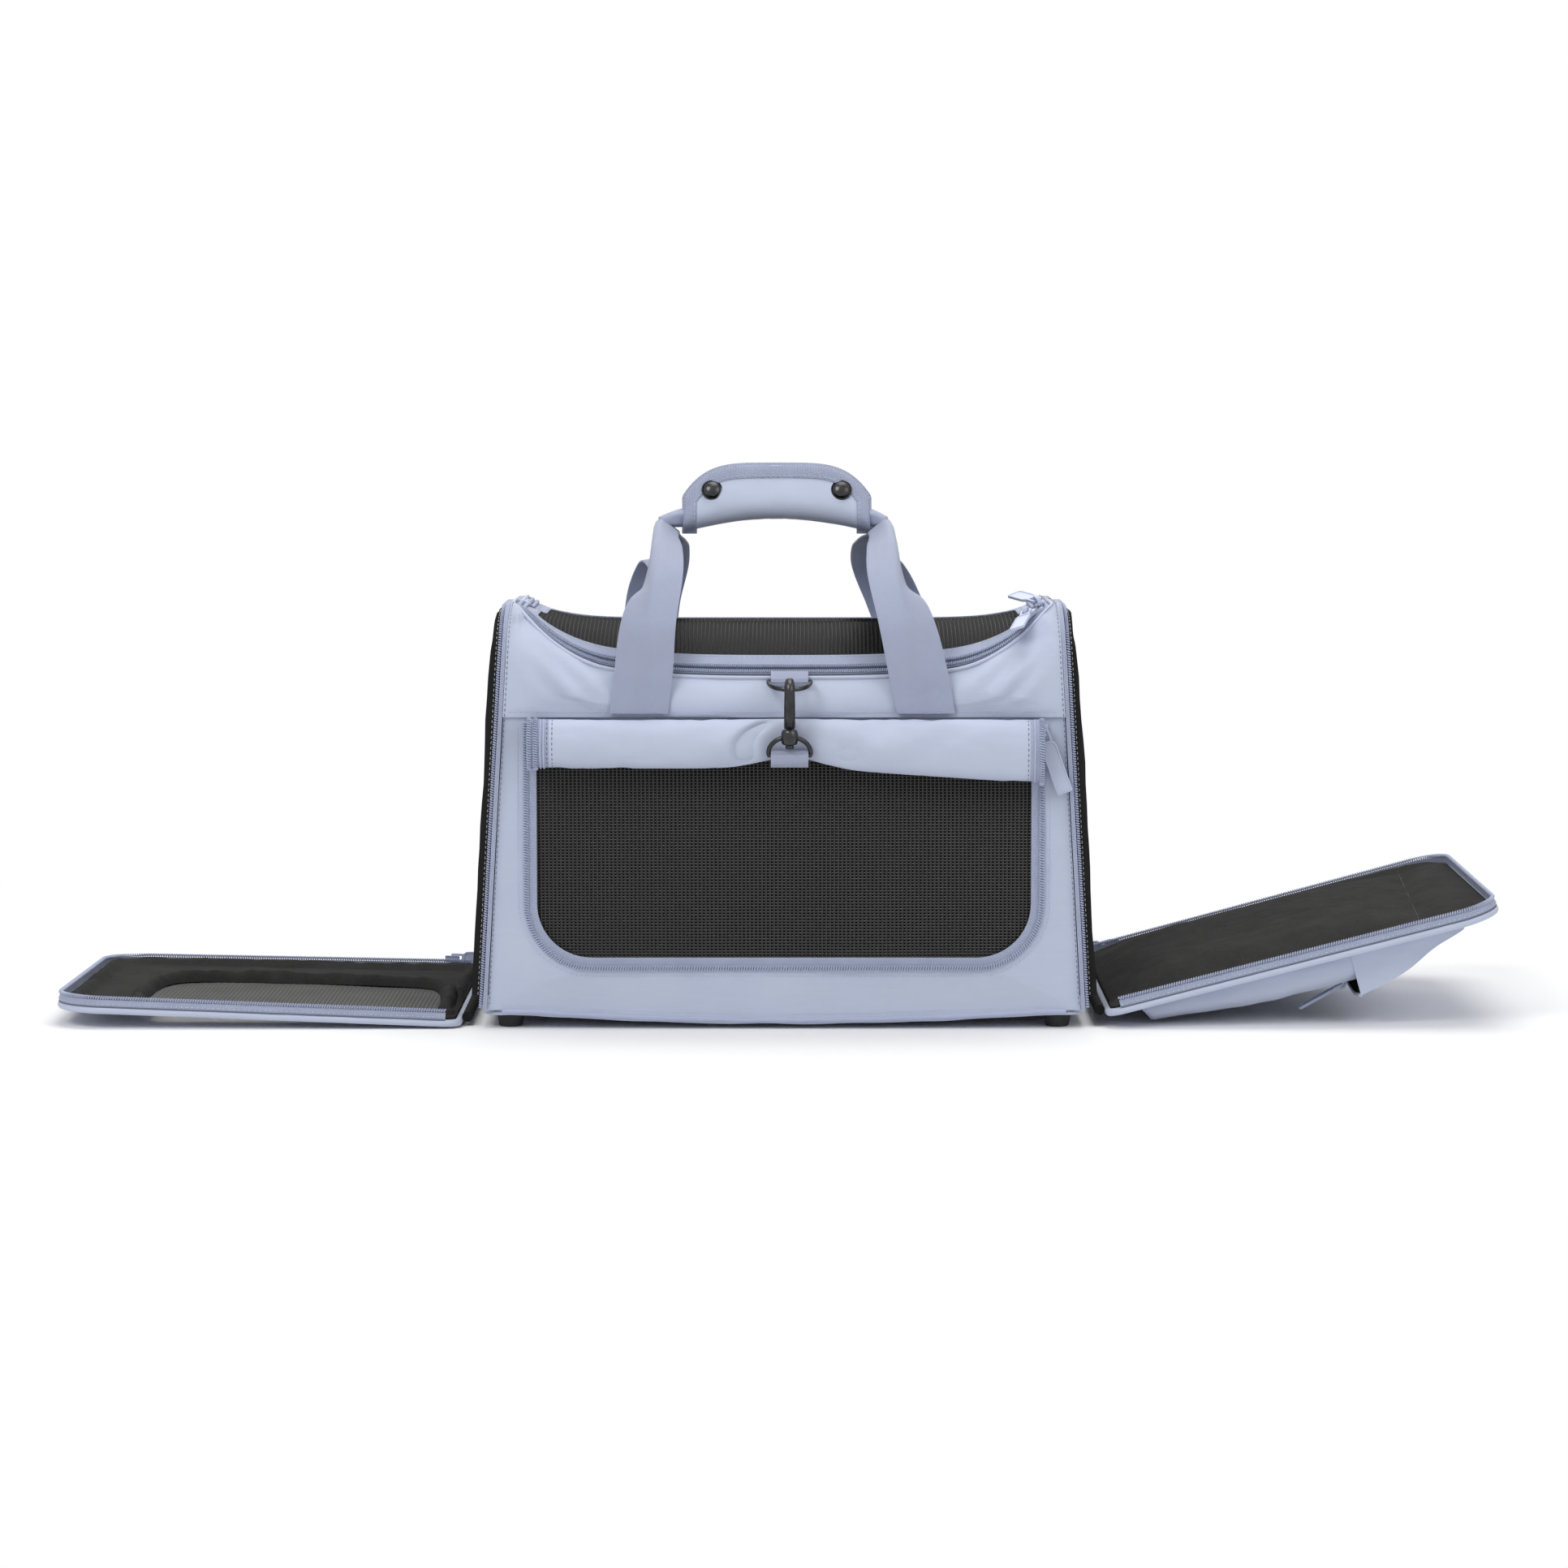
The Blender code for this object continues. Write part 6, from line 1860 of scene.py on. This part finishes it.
@dataclass
class Door:
    """A let-down end door: rounded cloth panel, zip tape and coil round three sides, and its slider."""

    name: str
    place: Matrix
    far: int
    lean: tuple[float, float, float, float]
    start: float = 0.005
    length: float = 0.2985
    half: float = 0.1392
    corner: float = 0.034
    face: float = -0.006
    rim: float = 0.0042

    @property
    def body(self) -> str:
        """The body that the door's pieces ride on."""
        return f"{self.name}_door"

    def twist(self, s: np.ndarray, v: np.ndarray) -> np.ndarray:
        """How far the soft door stands off its plane: lean holds hinge and tip, near and then far side."""
        along = np.clip(s / self.length, 0.0, 1.0)
        over = np.clip((v * self.far / self.half + 1) / 2, 0.0, 1.0)
        near = self.lean[0] + (self.lean[1] - self.lean[0]) * along
        away = self.lean[2] + (self.lean[3] - self.lean[2]) * along
        return near + (away - near) * over

    def make(self, patch: Patch, name: str, *finishes: Finish, smooth: float = 50.0) -> bpy.types.Object:
        """Builds a patch drawn in door coordinates, with the door's slight twist.

        Args:
            patch: points in (s, v, n).
            name: the piece's name.
            finishes: its finishes, by tag.
            smooth: edges sharper than this many degrees stay sharp.

        Returns:
            The object.
        """
        for rows in patch.points:
            rows[:, 2] += self.twist(rows[:, 0], rows[:, 1])
        return patch.build(name, *finishes, place=self.place, smooth=smooth)

    def rounded(self, s0: float, s1: float, w: float, big: float, small: float) -> Loop:
        """A loop with two big far corners and two small ones at the hinge."""
        line = arc((s1 - big, w - big), (big, big), 0, 90, 14)
        line += [(lerp(s1 - big, s0 + small, i / 24), w) for i in range(1, 24)]
        line += arc((s0 + small, w - small), (small, small), 90, 180, 6)
        line += [(s0, lerp(w - small, -w + small, i / 24)) for i in range(1, 24)]
        line += arc((s0 + small, -w + small), (small, small), 180, 270, 6)
        line += [(lerp(s0 + small, s1 - big, i / 24), -w) for i in range(1, 24)]
        line += arc((s1 - big, -w + big), (big, big), 270, 360, 14)
        return line + [(s1, lerp(-w + big, w - big, i / 24)) for i in range(1, 24)]

    def outline(self, grow: float) -> Loop:
        """The door's outline in (s, v)."""
        return self.rounded(
            self.start - grow, self.length + grow, self.half + grow, self.corner + grow, 0.010 + grow
        )

    def level(self, line: Loop, n: float) -> np.ndarray:
        """A loop at a height."""
        return np.array([(s, v, n) for s, v in line])

    def sides(self, grow: float, n: float) -> np.ndarray:
        """A line along the three zipped sides, from hinge to hinge."""
        line = [p for p in self.outline(grow) if p[0] > 0.0135]
        cut = max(range(len(line)), key=lambda i: math.dist(line[i], line[i - 1]))
        return self.level(line[cut:] + line[:cut], n)

    def shell(self, inner: Loop, closed: bool) -> Patch:
        """The panel's cloth, from an inner loop out round the stuffed edge and back in."""
        edge = self.outline(-0.0015)
        rings = []
        for i in range(10):
            line = [(lerp(a, c, i / 9), lerp(b, d, i / 9)) for (a, b), (c, d) in zip(inner, edge)]
            calm = 0.0011 if i < 9 else 0.0
            waves = [
                calm * (ripple((s, v, 0.0), 24.0, 2.0) + 0.4 * ripple((s, v, 0.0), 70.0, 2.0))
                for s, v in line
            ]
            rings.append(np.array([(s, v, self.face + n) for (s, v), n in zip(line, waves)]))
        for grow, n in (
            (0.0004, -0.0056), (0.0013, -0.0047), (0.0017, -0.0033), (0.0014, -0.0019), (0.0005, -0.0010)
        ):
            ring = self.level(self.outline(grow), n)
            ring[:, 2] += [0.0003 * ripple(p, 60.0, 5.0) for p in ring]
            rings.append(ring)
        for n in (-0.0007, self.face + 0.0030):
            rings.append(self.level(self.outline(-0.0026), n))
        rings.append(self.level(inner, self.face + 0.0030))
        return loft(rings, loop=not closed, caps=closed)

    def trim(self) -> None:
        """Zip tape, a dark cord of painted shade along the seam, coil and stitches."""
        path = self.sides(0.0, 0.0)
        up = np.tile((0.0, 0.0, 1.0), (len(path), 1))
        band = [
            (-0.0010, -0.0006), (0.0003, -0.0006), (0.0008, 0.0008), (0.0006, 0.0028), (-0.0002, 0.0046),
            (-0.0014, 0.0046)
        ]
        tape = self.make(sweep(path, up, band), f"{self.name}_door_tape", TAPE)
        settle(tape, self.body, Surface.ZIP)
        # A thin dark cord between the panel and the tape: painted shade in the seam's groove.
        cord = self.make(
            sweep(self.sides(0.0004, -0.0007), up, circle(0.0006, 8)), f"{self.name}_door_shade_cord", PAINTED_SEAM_SHADE
        )
        settle(cord, self.body, Surface.CLOTH)
        wound = coil(self.sides(-0.0006, 0.0060), up, 0.0036, 0.0032, 0.0018)
        piece = self.make(wound, f"{self.name}_door_coil", COIL)
        settle(piece, self.body, Surface.ZIP, f"{self.name}_door_zip")
        side = self.sides(0.0009, 0.0014)
        out = unit(side - np.array((0.15, 0.0, 0.0014)))
        settle(self.make(seam(side, out), f"{self.name}_tape_stitches", THREAD), self.body, Surface.ZIP)
        dress(f"{self.name}_door_slider", PLASTIC)

    def reach(self, loop: Loop, middle: np.ndarray, turns: np.ndarray) -> np.ndarray:
        """How far a loop lies from a point inside it, in each direction."""
        ray = np.array(loop) - middle
        angle = np.arctan2(ray[:, 1], ray[:, 0])
        order = np.argsort(angle)
        return np.interp(turns, angle[order], np.linalg.norm(ray, axis=1)[order], period=2 * np.pi)


@dataclass
class LeftDoor(Door):
    """The left door, with a mesh window edged by a gathered black roll."""

    window: tuple[float, float, float] = (0.020, 0.232, 0.105)

    def opening(self, grow: float) -> Loop:
        """The window's outline, point for point with the door's."""
        s0, s1, w = self.window
        r = 0.014 + grow
        return self.rounded(s0 - grow, s1 + grow, w + grow, r, r)

    def build(self) -> None:
        """Makes shell, net, lining and trim."""
        shell = self.make(self.shell(self.opening(0.0), False), "left_door_cloth", CLOTH)
        settle(shell, self.body, Surface.CLOTH, "left_door_shell")
        self.net()
        self.lining()
        self.trim()

    def net(self) -> None:
        """The window's slack net."""
        floor = self.face + 0.0037
        s0, s1, w = self.window

        def at(s: float, v: float) -> np.ndarray:
            """A net point."""
            return np.array((s, v, floor + 0.0007 * ripple((s, v, 0.0), 20.0)))

        threads = net(
            at, (s0 - 0.004, -w - 0.008), (s1 + 0.006, w + 0.004), (0.0031, 0.0023),
            np.array((0, 0, 0.0006))
        )
        settle(
            self.make(threads, "left_door_mesh", DOOR_MESH, smooth=180), self.body, Surface.MESH,
            "left_door_net"
        )

    def gathered(self) -> Loop:
        """The edge where the gathered lining hangs over the net, in (s, v)."""
        line = [
            (0.232, -0.84), (0.238, -0.60), (0.238, -0.26), (0.234, 0.04), (0.220, 0.20), (0.180, 0.25),
            (0.125, 0.26)
        ]
        line += [
            (0.074, 0.25), (0.042, 0.20), (0.031, 0.04), (0.026, -0.26), (0.025, -0.60), (0.030, -0.84),
            (0.13, -0.86)
        ]
        closed = curve_through([*line, line[0]], 160)
        return [(s, self.far * f * self.half) for s, f in closed[:-1]]

    def lining(self) -> None:
        """The lining: a gathered roll round the net, and a second one along the far edge and the tip."""
        middle = np.array((0.13, -0.30 * self.far * self.half))
        turns = np.linspace(-np.pi, np.pi, 320, endpoint=False)
        ways = np.stack([np.cos(turns), np.sin(turns)], axis=1)
        near = self.reach(self.gathered(), middle, turns)
        far = self.reach(self.outline(-0.0032), middle, turns)
        low = self.face + 0.0048
        wide = 0.0125
        rings = [np.column_stack([middle + ways * near[:, None], np.full(len(turns), low)])]
        for k in range(1, 30):
            ring = []
            for way, a, b in zip(ways, near, far):
                room = b - a
                reach = wide * k / 11 if k <= 11 else lerp(wide, room, (k - 11) / 18)
                s, v = middle + way * (a + min(reach, room))
                away = v * self.far / self.half
                full = 0.35 + 0.65 * min(1.0, max(0.0, (away + 0.95) / 0.45))
                gather = ripple(
                    (s * 0.8, v * 0.8, 0.0), 150.0, 4.0
                ) * 0.0016 + ripple((s, v, 0.0), 52.0, 1.0) * 0.0014
                n = 0.0004 + 0.0006 * ripple((s, v, 0.0), 40.0, 7.0)
                if k <= 11:
                    n = low + (n - low) * k / 11 + math.sin(math.pi * k / 11) ** 0.7 * (0.0072 + gather) * full
                edge = max(0.0, 1 - abs(room - reach - 0.0075) / 0.0075)
                shown = min(1.0, max(0.0, (away + 0.55) / 0.4, (s - 0.262) / 0.02))
                n += (0.0052 + 0.9 * gather) * math.sin(math.pi / 2 * edge) * shown * (
                    1.0 if k > 11 else 0.0
                )
                ring.append((s, v, n))
            rings.append(np.array(ring))
        rings[-1][:, 2] = 0.0010
        rings.append(np.column_stack([middle + ways * far[:, None], np.full(len(turns), low)]))
        lining = self.make(loft(rings, loop=True), "left_door_gathered_lining", LINING, smooth=80)
        settle(lining, self.body, Surface.LINING, "left_door_lining")


@dataclass
class RightDoor(Door):
    """The right door, with a full padded lining, resting on its outer pocket."""

    pocket: tuple[float, float, float] = (0.030, 0.194, 0.122)
    cross: float = 0.250

    def build(self) -> None:
        """Makes shell, lining, trim, pocket and flap."""
        core = [(0.152 + (s - 0.152) * 0.02, v * 0.02) for s, v in self.outline(0.0)]
        shell = self.make(self.shell(core, True), "right_door_cloth", CLOTH)
        settle(shell, self.body, Surface.CLOTH, "right_door_shell")
        self.lining()
        self.trim()
        self.bag()
        self.flap()
        dress("pocket_slider", PLASTIC)

    def puff(self, s: float, v: float) -> float:
        """Height of the padded lining: a pillow from the hinge to the cross seam, and a flatter end."""
        s0, s1 = self.start + 0.0032, self.length - 0.0032
        across = min(1.0, max(0.0, (0.130 - abs(v)) / 0.052))
        cross = self.cross + 0.010 * v * self.far / self.half
        if s < cross:
            along = min(1.0, max(0.0, (s - s0) / 0.055), max(0.0, (cross - s) / 0.070))
            tall = 0.0118
        else:
            along = min(1.0, max(0.0, (s - cross) / 0.016), max(0.0, (s1 - s) / 0.022))
            tall = 0.0034
        crown = math.sin(math.pi / 2 * along) * math.sin(math.pi / 2 * across)
        roll = math.exp(-(((v * self.far - 0.1260) / 0.0065) ** 2)) * min(1.0, s / 0.04, (s1 - s) / 0.03)
        pucker = 0.0009 * ripple((s, v * 0.35, 0.0), 90.0, 3.0) * max(0.0, 1 - abs(s - cross) / 0.03)
        return 0.0010 + tall * crown + 0.0042 * max(0.0, roll) + pucker

    def lining(self) -> None:
        """The padded black lining with its cross seam."""
        outer = np.array(self.outline(-0.0032))
        middle = np.array((0.150, 0.0))
        rings = [self.level([tuple(p) for p in outer], -0.0026)]
        for t in np.concatenate([[0.0, 0.015], np.linspace(0.04, 0.985, 40)]):
            ring = []
            for s, v in outer:
                p = np.array((s, v)) * (1 - t) + middle * t
                calm = min(1.0, t * 6)
                n = self.puff(*p) + calm * (
                    0.0010 * ripple((*p, 0.0), 30.0, 3.0) + 0.0005 * ripple((*p, 0.0), 95.0, 1.0)
                )
                ring.append((*p, n if t > 0 else 0.0010))
            rings.append(np.array(ring))
        pad = self.make(loft(rings), "right_door_padding", LINING, smooth=80)
        settle(pad, self.body, Surface.LINING, "right_door_lining")
        vs = np.linspace(-0.124, 0.124, 120)
        line = [(self.cross + 0.010 * v * self.far / self.half, v) for v in vs]
        path = np.array([(s, v, self.puff(s, v) + 0.0004) for s, v in line])
        row = self.make(
            seam(path, np.tile((0.0, 0.0, 1.0), (len(path), 1))), "right_door_cross_seam", DARK_THREAD
        )
        settle(row, self.body, Surface.LINING)

    def bag(self) -> None:
        """The outer pocket's soft bag."""
        p0, p1, w = self.pocket
        top = self.face - 0.0003
        rows = []
        for t in np.linspace(0.0, 1.0, 70):
            row = []
            for b in np.linspace(-1.0, 1.0, 81):
                deep = lerp(0.0138, 0.0225, min(1.0, t / 0.6))
                lead = min(1.0, 0.30 + t / 0.045)
                tail = min(1.0, 0.86 + (1 - t) / 0.10)
                edge = math.sqrt(max(0.0, 1 - max(0.0, (abs(b) - 0.86) / 0.14) ** 2 * 0.55))
                s, v = lerp(p0, p1, t), b * w
                soft = 0.0013 * ripple((s, v, 0.0), 22.0, 4.0) + 0.0006 * ripple((s, v, 0.0), 60.0)
                calm = min(1.0, t / 0.1, (1 - t) / 0.1, (1 - abs(b)) / 0.06)
                row.append((s, v, top - deep * lead * tail * edge + soft * calm))
            side = []
            for k in range(1, 9):
                s = lerp(p0, p1, t)
                low = row[-1][2]
                sag = 0.0016 * math.sin(math.pi * k / 9) * (
                    1 + 0.8 * ripple((s, k * 0.004, 0.0), 40.0, 2.0)
                )
                side.append((s, w + sag, lerp(low, top, k / 8)))
            other = [
                (s, -v, row[0][2] + (n - row[-1][2]) * (top - row[0][2]) / (top - row[-1][2]))
                for s, v, n in reversed(side)
            ]
            rows.append(row + side + other)
        bag = self.make(loft([np.array(r) for r in rows]), "pocket_bag", CLOTH, smooth=60)
        settle(bag, self.body, Surface.CLOTH, "pocket")

    def flap(self) -> None:
        """The hooded flap with its wavy edge."""
        w, skin = 0.1235, 0.0016
        grid = []
        for j in range(81):
            b = 2 * j / 80 - 1
            wave = 0.0030 * math.sin(3.1 * math.pi * j / 80) - 0.0035 * b * b
            line = [(0.2690, -0.0072), (0.2690, -0.0098), (0.2450, -0.0195 - wave * 0.4)]
            line += [(0.2200, -0.0325 - wave * 0.8), (0.1860, -0.0420 - wave)]
            rows = curve_through([(s, b * w, n) for s, n in line], 36)
            rows[:, 2] += [0.0012 * ripple(p, 36.0, 2.0) * min(1.0, i / 10) for i, p in enumerate(rows)]
            grid.append(rows)
        sheet = thick(np.array(grid), skin, False, np.array((0.22, 0.0, 0.0)))
        cheeks = []
        for side in (-1, 1):
            outer = grid[0 if side < 0 else -1]
            base = np.array([(s, side * (w + 0.0006), -0.0068) for s in outer[:, 0]])
            panel = []
            for p, q in zip(outer + (0, side * 0.0004, 0), base):
                row = [p * (1 - t) + q * t for t in np.linspace(0, 1, 12)]
                panel.append(
                    [
                        r + (0, side * 0.0010 * ripple(r, 60.0, 6.0) * math.sin(math.pi * k / 11), 0)
                        for k, r in enumerate(row)
                    ]
                )
            cheeks.append(thick(np.array(panel), 0.0012, False, np.array((0.22, 0.0, -0.015))))
        piece = self.make(merge(sheet, *cheeks), "pocket_hood", CLOTH, LINING, smooth=60)
        settle(piece, "flap", Surface.CLOTH, "pocket_flap")
        rows = np.array(grid)
        rim = rows[:, -1]
        up = np.tile((0.0, 0.0, -1.0), (len(rim), 1))
        settle(
            self.make(sweep(rim, up, circle(0.0014, 10)), "flap_edge", CLOTH_PIPING), "flap", Surface.CLOTH
        )
        line = rows[:, -5] - np.array((0.0, 0.0, 0.0004))
        settle(self.make(seam(line, up), "flap_stitches", THREAD), "flap", Surface.ZIP)


@dataclass
class Studio:
    """A pale floor, soft lamps, and the camera at the photograph's angle."""

    lens: float = 105.76
    spot: tuple[float, float, float] = (0.0051, -3.4255, 0.495)
    pitch: float = 5.49

    def build(self) -> None:
        """Makes floor, light and camera."""
        scene = bpy.context.scene
        scene.view_settings.view_transform = "Standard"
        lens = bpy.data.cameras.new("camera")
        lens.lens = self.lens
        lens.sensor_width = 36.0
        camera = bpy.data.objects.new("camera", lens)
        camera.location = self.spot
        camera.rotation_euler = (math.radians(90 - self.pitch), 0.0, 0.0)
        scene.collection.objects.link(camera)
        scene.camera = camera
        self.floor()
        self.sky()
        for name, spot, size, power in (
            ("key", (-1.7, -2.2, 2.6), 1.5, 46.0),
            ("fill", (2.2, -1.8, 1.7), 1.8, 18.0),
            ("top", (0.2, 0.1, 2.6), 1.8, 35.0),
            ("rear", (0.0, 2.4, 1.6), 1.6, 13.0),
        ):
            self.lamp(name, spot, size, power)

    def lamp(self, name: str, spot: tuple[float, float, float], size: float, power: float) -> None:
        """A square soft lamp that faces the carrier."""
        lamp = bpy.data.lights.new(name, "AREA")
        lamp.energy = power
        lamp.size = size
        piece = bpy.data.objects.new(name, lamp)
        piece.location = spot
        piece.rotation_euler = (Vector((0.0, 0.0, 0.15)) - Vector(spot)).to_track_quat("-Z", "Y").to_euler()
        bpy.context.scene.collection.objects.link(piece)

    def floor(self) -> None:
        """The floor, white, with the carrier's shadow."""
        patch = Patch()
        patch.add(np.array([(-8, -5, 0), (8, -5, 0), (8, 12, 0), (-8, 12, 0)]), [(0, 1, 2, 3)])
        graph = Graph("studio_floor")
        graph.set(Base_Color=(0.95, 0.95, 0.95, 1.0), Roughness=0.9, Specular_IOR_Level=0.0)
        away = graph.add(
            "ShaderNodeVectorMath", {"operation": "LENGTH"}, Vector=graph.place((1.0, 1.25, 0.0))
        )
        far = ((Sock(graph, away.outputs["Value"]) - 0.62) / 0.55).clip()
        path = graph.add("ShaderNodeLightPath")
        looked = [Sock(graph, path.outputs[name]) for name in SEEN_BY]
        seen = far * (looked[0] + looked[1] + looked[2]).clip()
        glow = graph.add("ShaderNodeEmission", {}, Color=(1.0, 1.0, 1.0, 1.0), Strength=1.0)
        blend = graph.add("ShaderNodeMixShader", {}, Fac=seen)
        graph.tree.links.new(graph.shader.outputs[0], blend.inputs[1])
        graph.tree.links.new(glow.outputs[0], blend.inputs[2])
        graph.tree.links.new(blend.outputs[0], graph.tree.nodes["Material Output"].inputs[0])
        mesh = bpy.data.meshes.new("studio_floor")
        mesh.from_pydata(np.concatenate(patch.points).tolist(), [], patch.faces)
        mesh.materials.append(graph.material)
        floor = bpy.data.objects.new("studio_floor", mesh)
        floor.location.z = -0.0002
        bpy.context.scene.collection.objects.link(floor)
        floor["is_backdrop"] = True

    def sky(self) -> None:
        """White where the camera or a mirror sees it, and plain soft light otherwise."""
        world = bpy.data.worlds.new("studio")
        bpy.context.scene.world = world
        world.use_nodes = True
        tree = world.node_tree
        back = tree.nodes["Background"]
        path = tree.nodes.new("ShaderNodeLightPath")
        white = tree.nodes.new("ShaderNodeBackground")
        white.inputs[0].default_value = (1.0, 1.0, 1.0, 1.0)
        white.inputs[1].default_value = 1.0
        back.inputs[0].default_value = (1.0, 1.0, 1.0, 1.0)
        back.inputs[1].default_value = 0.36
        mix = tree.nodes.new("ShaderNodeMixShader")
        share = None
        for name in SEEN_BY:
            rays = path.outputs[name]
            if share is not None:
                add = tree.nodes.new("ShaderNodeMath")
                add.operation = "MAXIMUM"
                tree.links.new(share, add.inputs[0])
                tree.links.new(rays, add.inputs[1])
                rays = add.outputs[0]
            share = rays
        tree.links.new(share, mix.inputs[0])
        tree.links.new(back.outputs[0], mix.inputs[1])
        tree.links.new(white.outputs[0], mix.inputs[2])
        tree.links.new(mix.outputs[0], tree.nodes["World Output"].inputs[0])


def pulls() -> list[Pull]:
    """Every zip pull, where its slider holds it."""
    rows = (
        ("curtain_pull_tab", "front_pull", "curtain_pull", (0.1911, -0.1313, 0.2160),
         (-0.342, 0.0, 0.940), (-0.940, 0.0, -0.342), (0.0, -1.0, 0.0), 0.0470, 0.0118),
        ("lid_front_pull_tab", "lid_pull_front", "lid_front_pull", (0.18083, -0.09371, 0.30059),
         (0.26457, 0.90595, 0.33054), (
             -0.87421, 0.37001, -0.31441
         ), (-0.40714, -0.20578, 0.88988), 0.0330, 0.0118),
        ("lid_rear_pull_tab", "lid_pull_rear", "lid_rear_pull", (0.1895, -0.06893, 0.30692),
         (
             0.46723, -0.87939, -0.09153
         ), (0.85456, 0.42262, 0.30186), (-0.22676, -0.21926, 0.94895), 0.0330, 0.0118),
        ("left_door_pull_tab", "left_door_pull", "left_pull", (-0.25466, 0.1564, 0.0134),
         (-0.99926, 0.0, 0.03839), (0.03839, 0.0, 0.99926), (0.0, 1.0, 0.0), 0.0440, 0.0118),
        ("right_door_pull_tab", "right_door_pull", "right_pull", (0.26172, 0.1564, 0.02496),
         (0.96456, 0.0, 0.26387), (0.26387, 0.0, -0.96456), (0.0, 1.0, 0.0), 0.0440, 0.0118),
        ("pocket_pull_tab", "pocket_pull", "pocket_zip_pull", (0.41395, -0.0769, 0.0256),
         (0.87207, 0.0, 0.48938), (0.0, -1.0, 0.0), (0.48938, 0.0, -0.87207), 0.0360, 0.0100),
    )
    return [Pull(*row) for row in rows]


def main() -> None:
    """Builds every assembly in order."""
    logging.basicConfig(level=logging.INFO, format="%(name)s: %(message)s")
    left = BODY @ Matrix.Translation((-0.2300, 0.0, 0.0065)) @ Matrix.Rotation(math.pi, 4, "Z")
    left = left @ Matrix.Rotation(math.radians(-2.2), 4, "Y")
    right = BODY @ Matrix.Translation((0.2292, 0.0, 0.0115)) @ Matrix.Rotation(math.radians(-15.3), 4, "Y")
    Studio().build()
    BaseTray().build()
    Walls().build()
    Roof().build()
    EndTrim("left", -1).build()
    EndTrim("right", 1).build()
    Curtain().build()
    Clip().build()
    Handle().build()
    Lid().build()
    LeftDoor("left", left, -1, (0.0, 0.0, -0.0008, -0.0066)).build()
    RightDoor("right", right, 1, (0.0010, -0.0036, 0.0030, 0.0026)).build()
    for tab in pulls():
        tab.build()
    [[list(corner) for corner in box] for box in (CAD_BOX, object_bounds())]


if __name__ == "__main__":
    main()
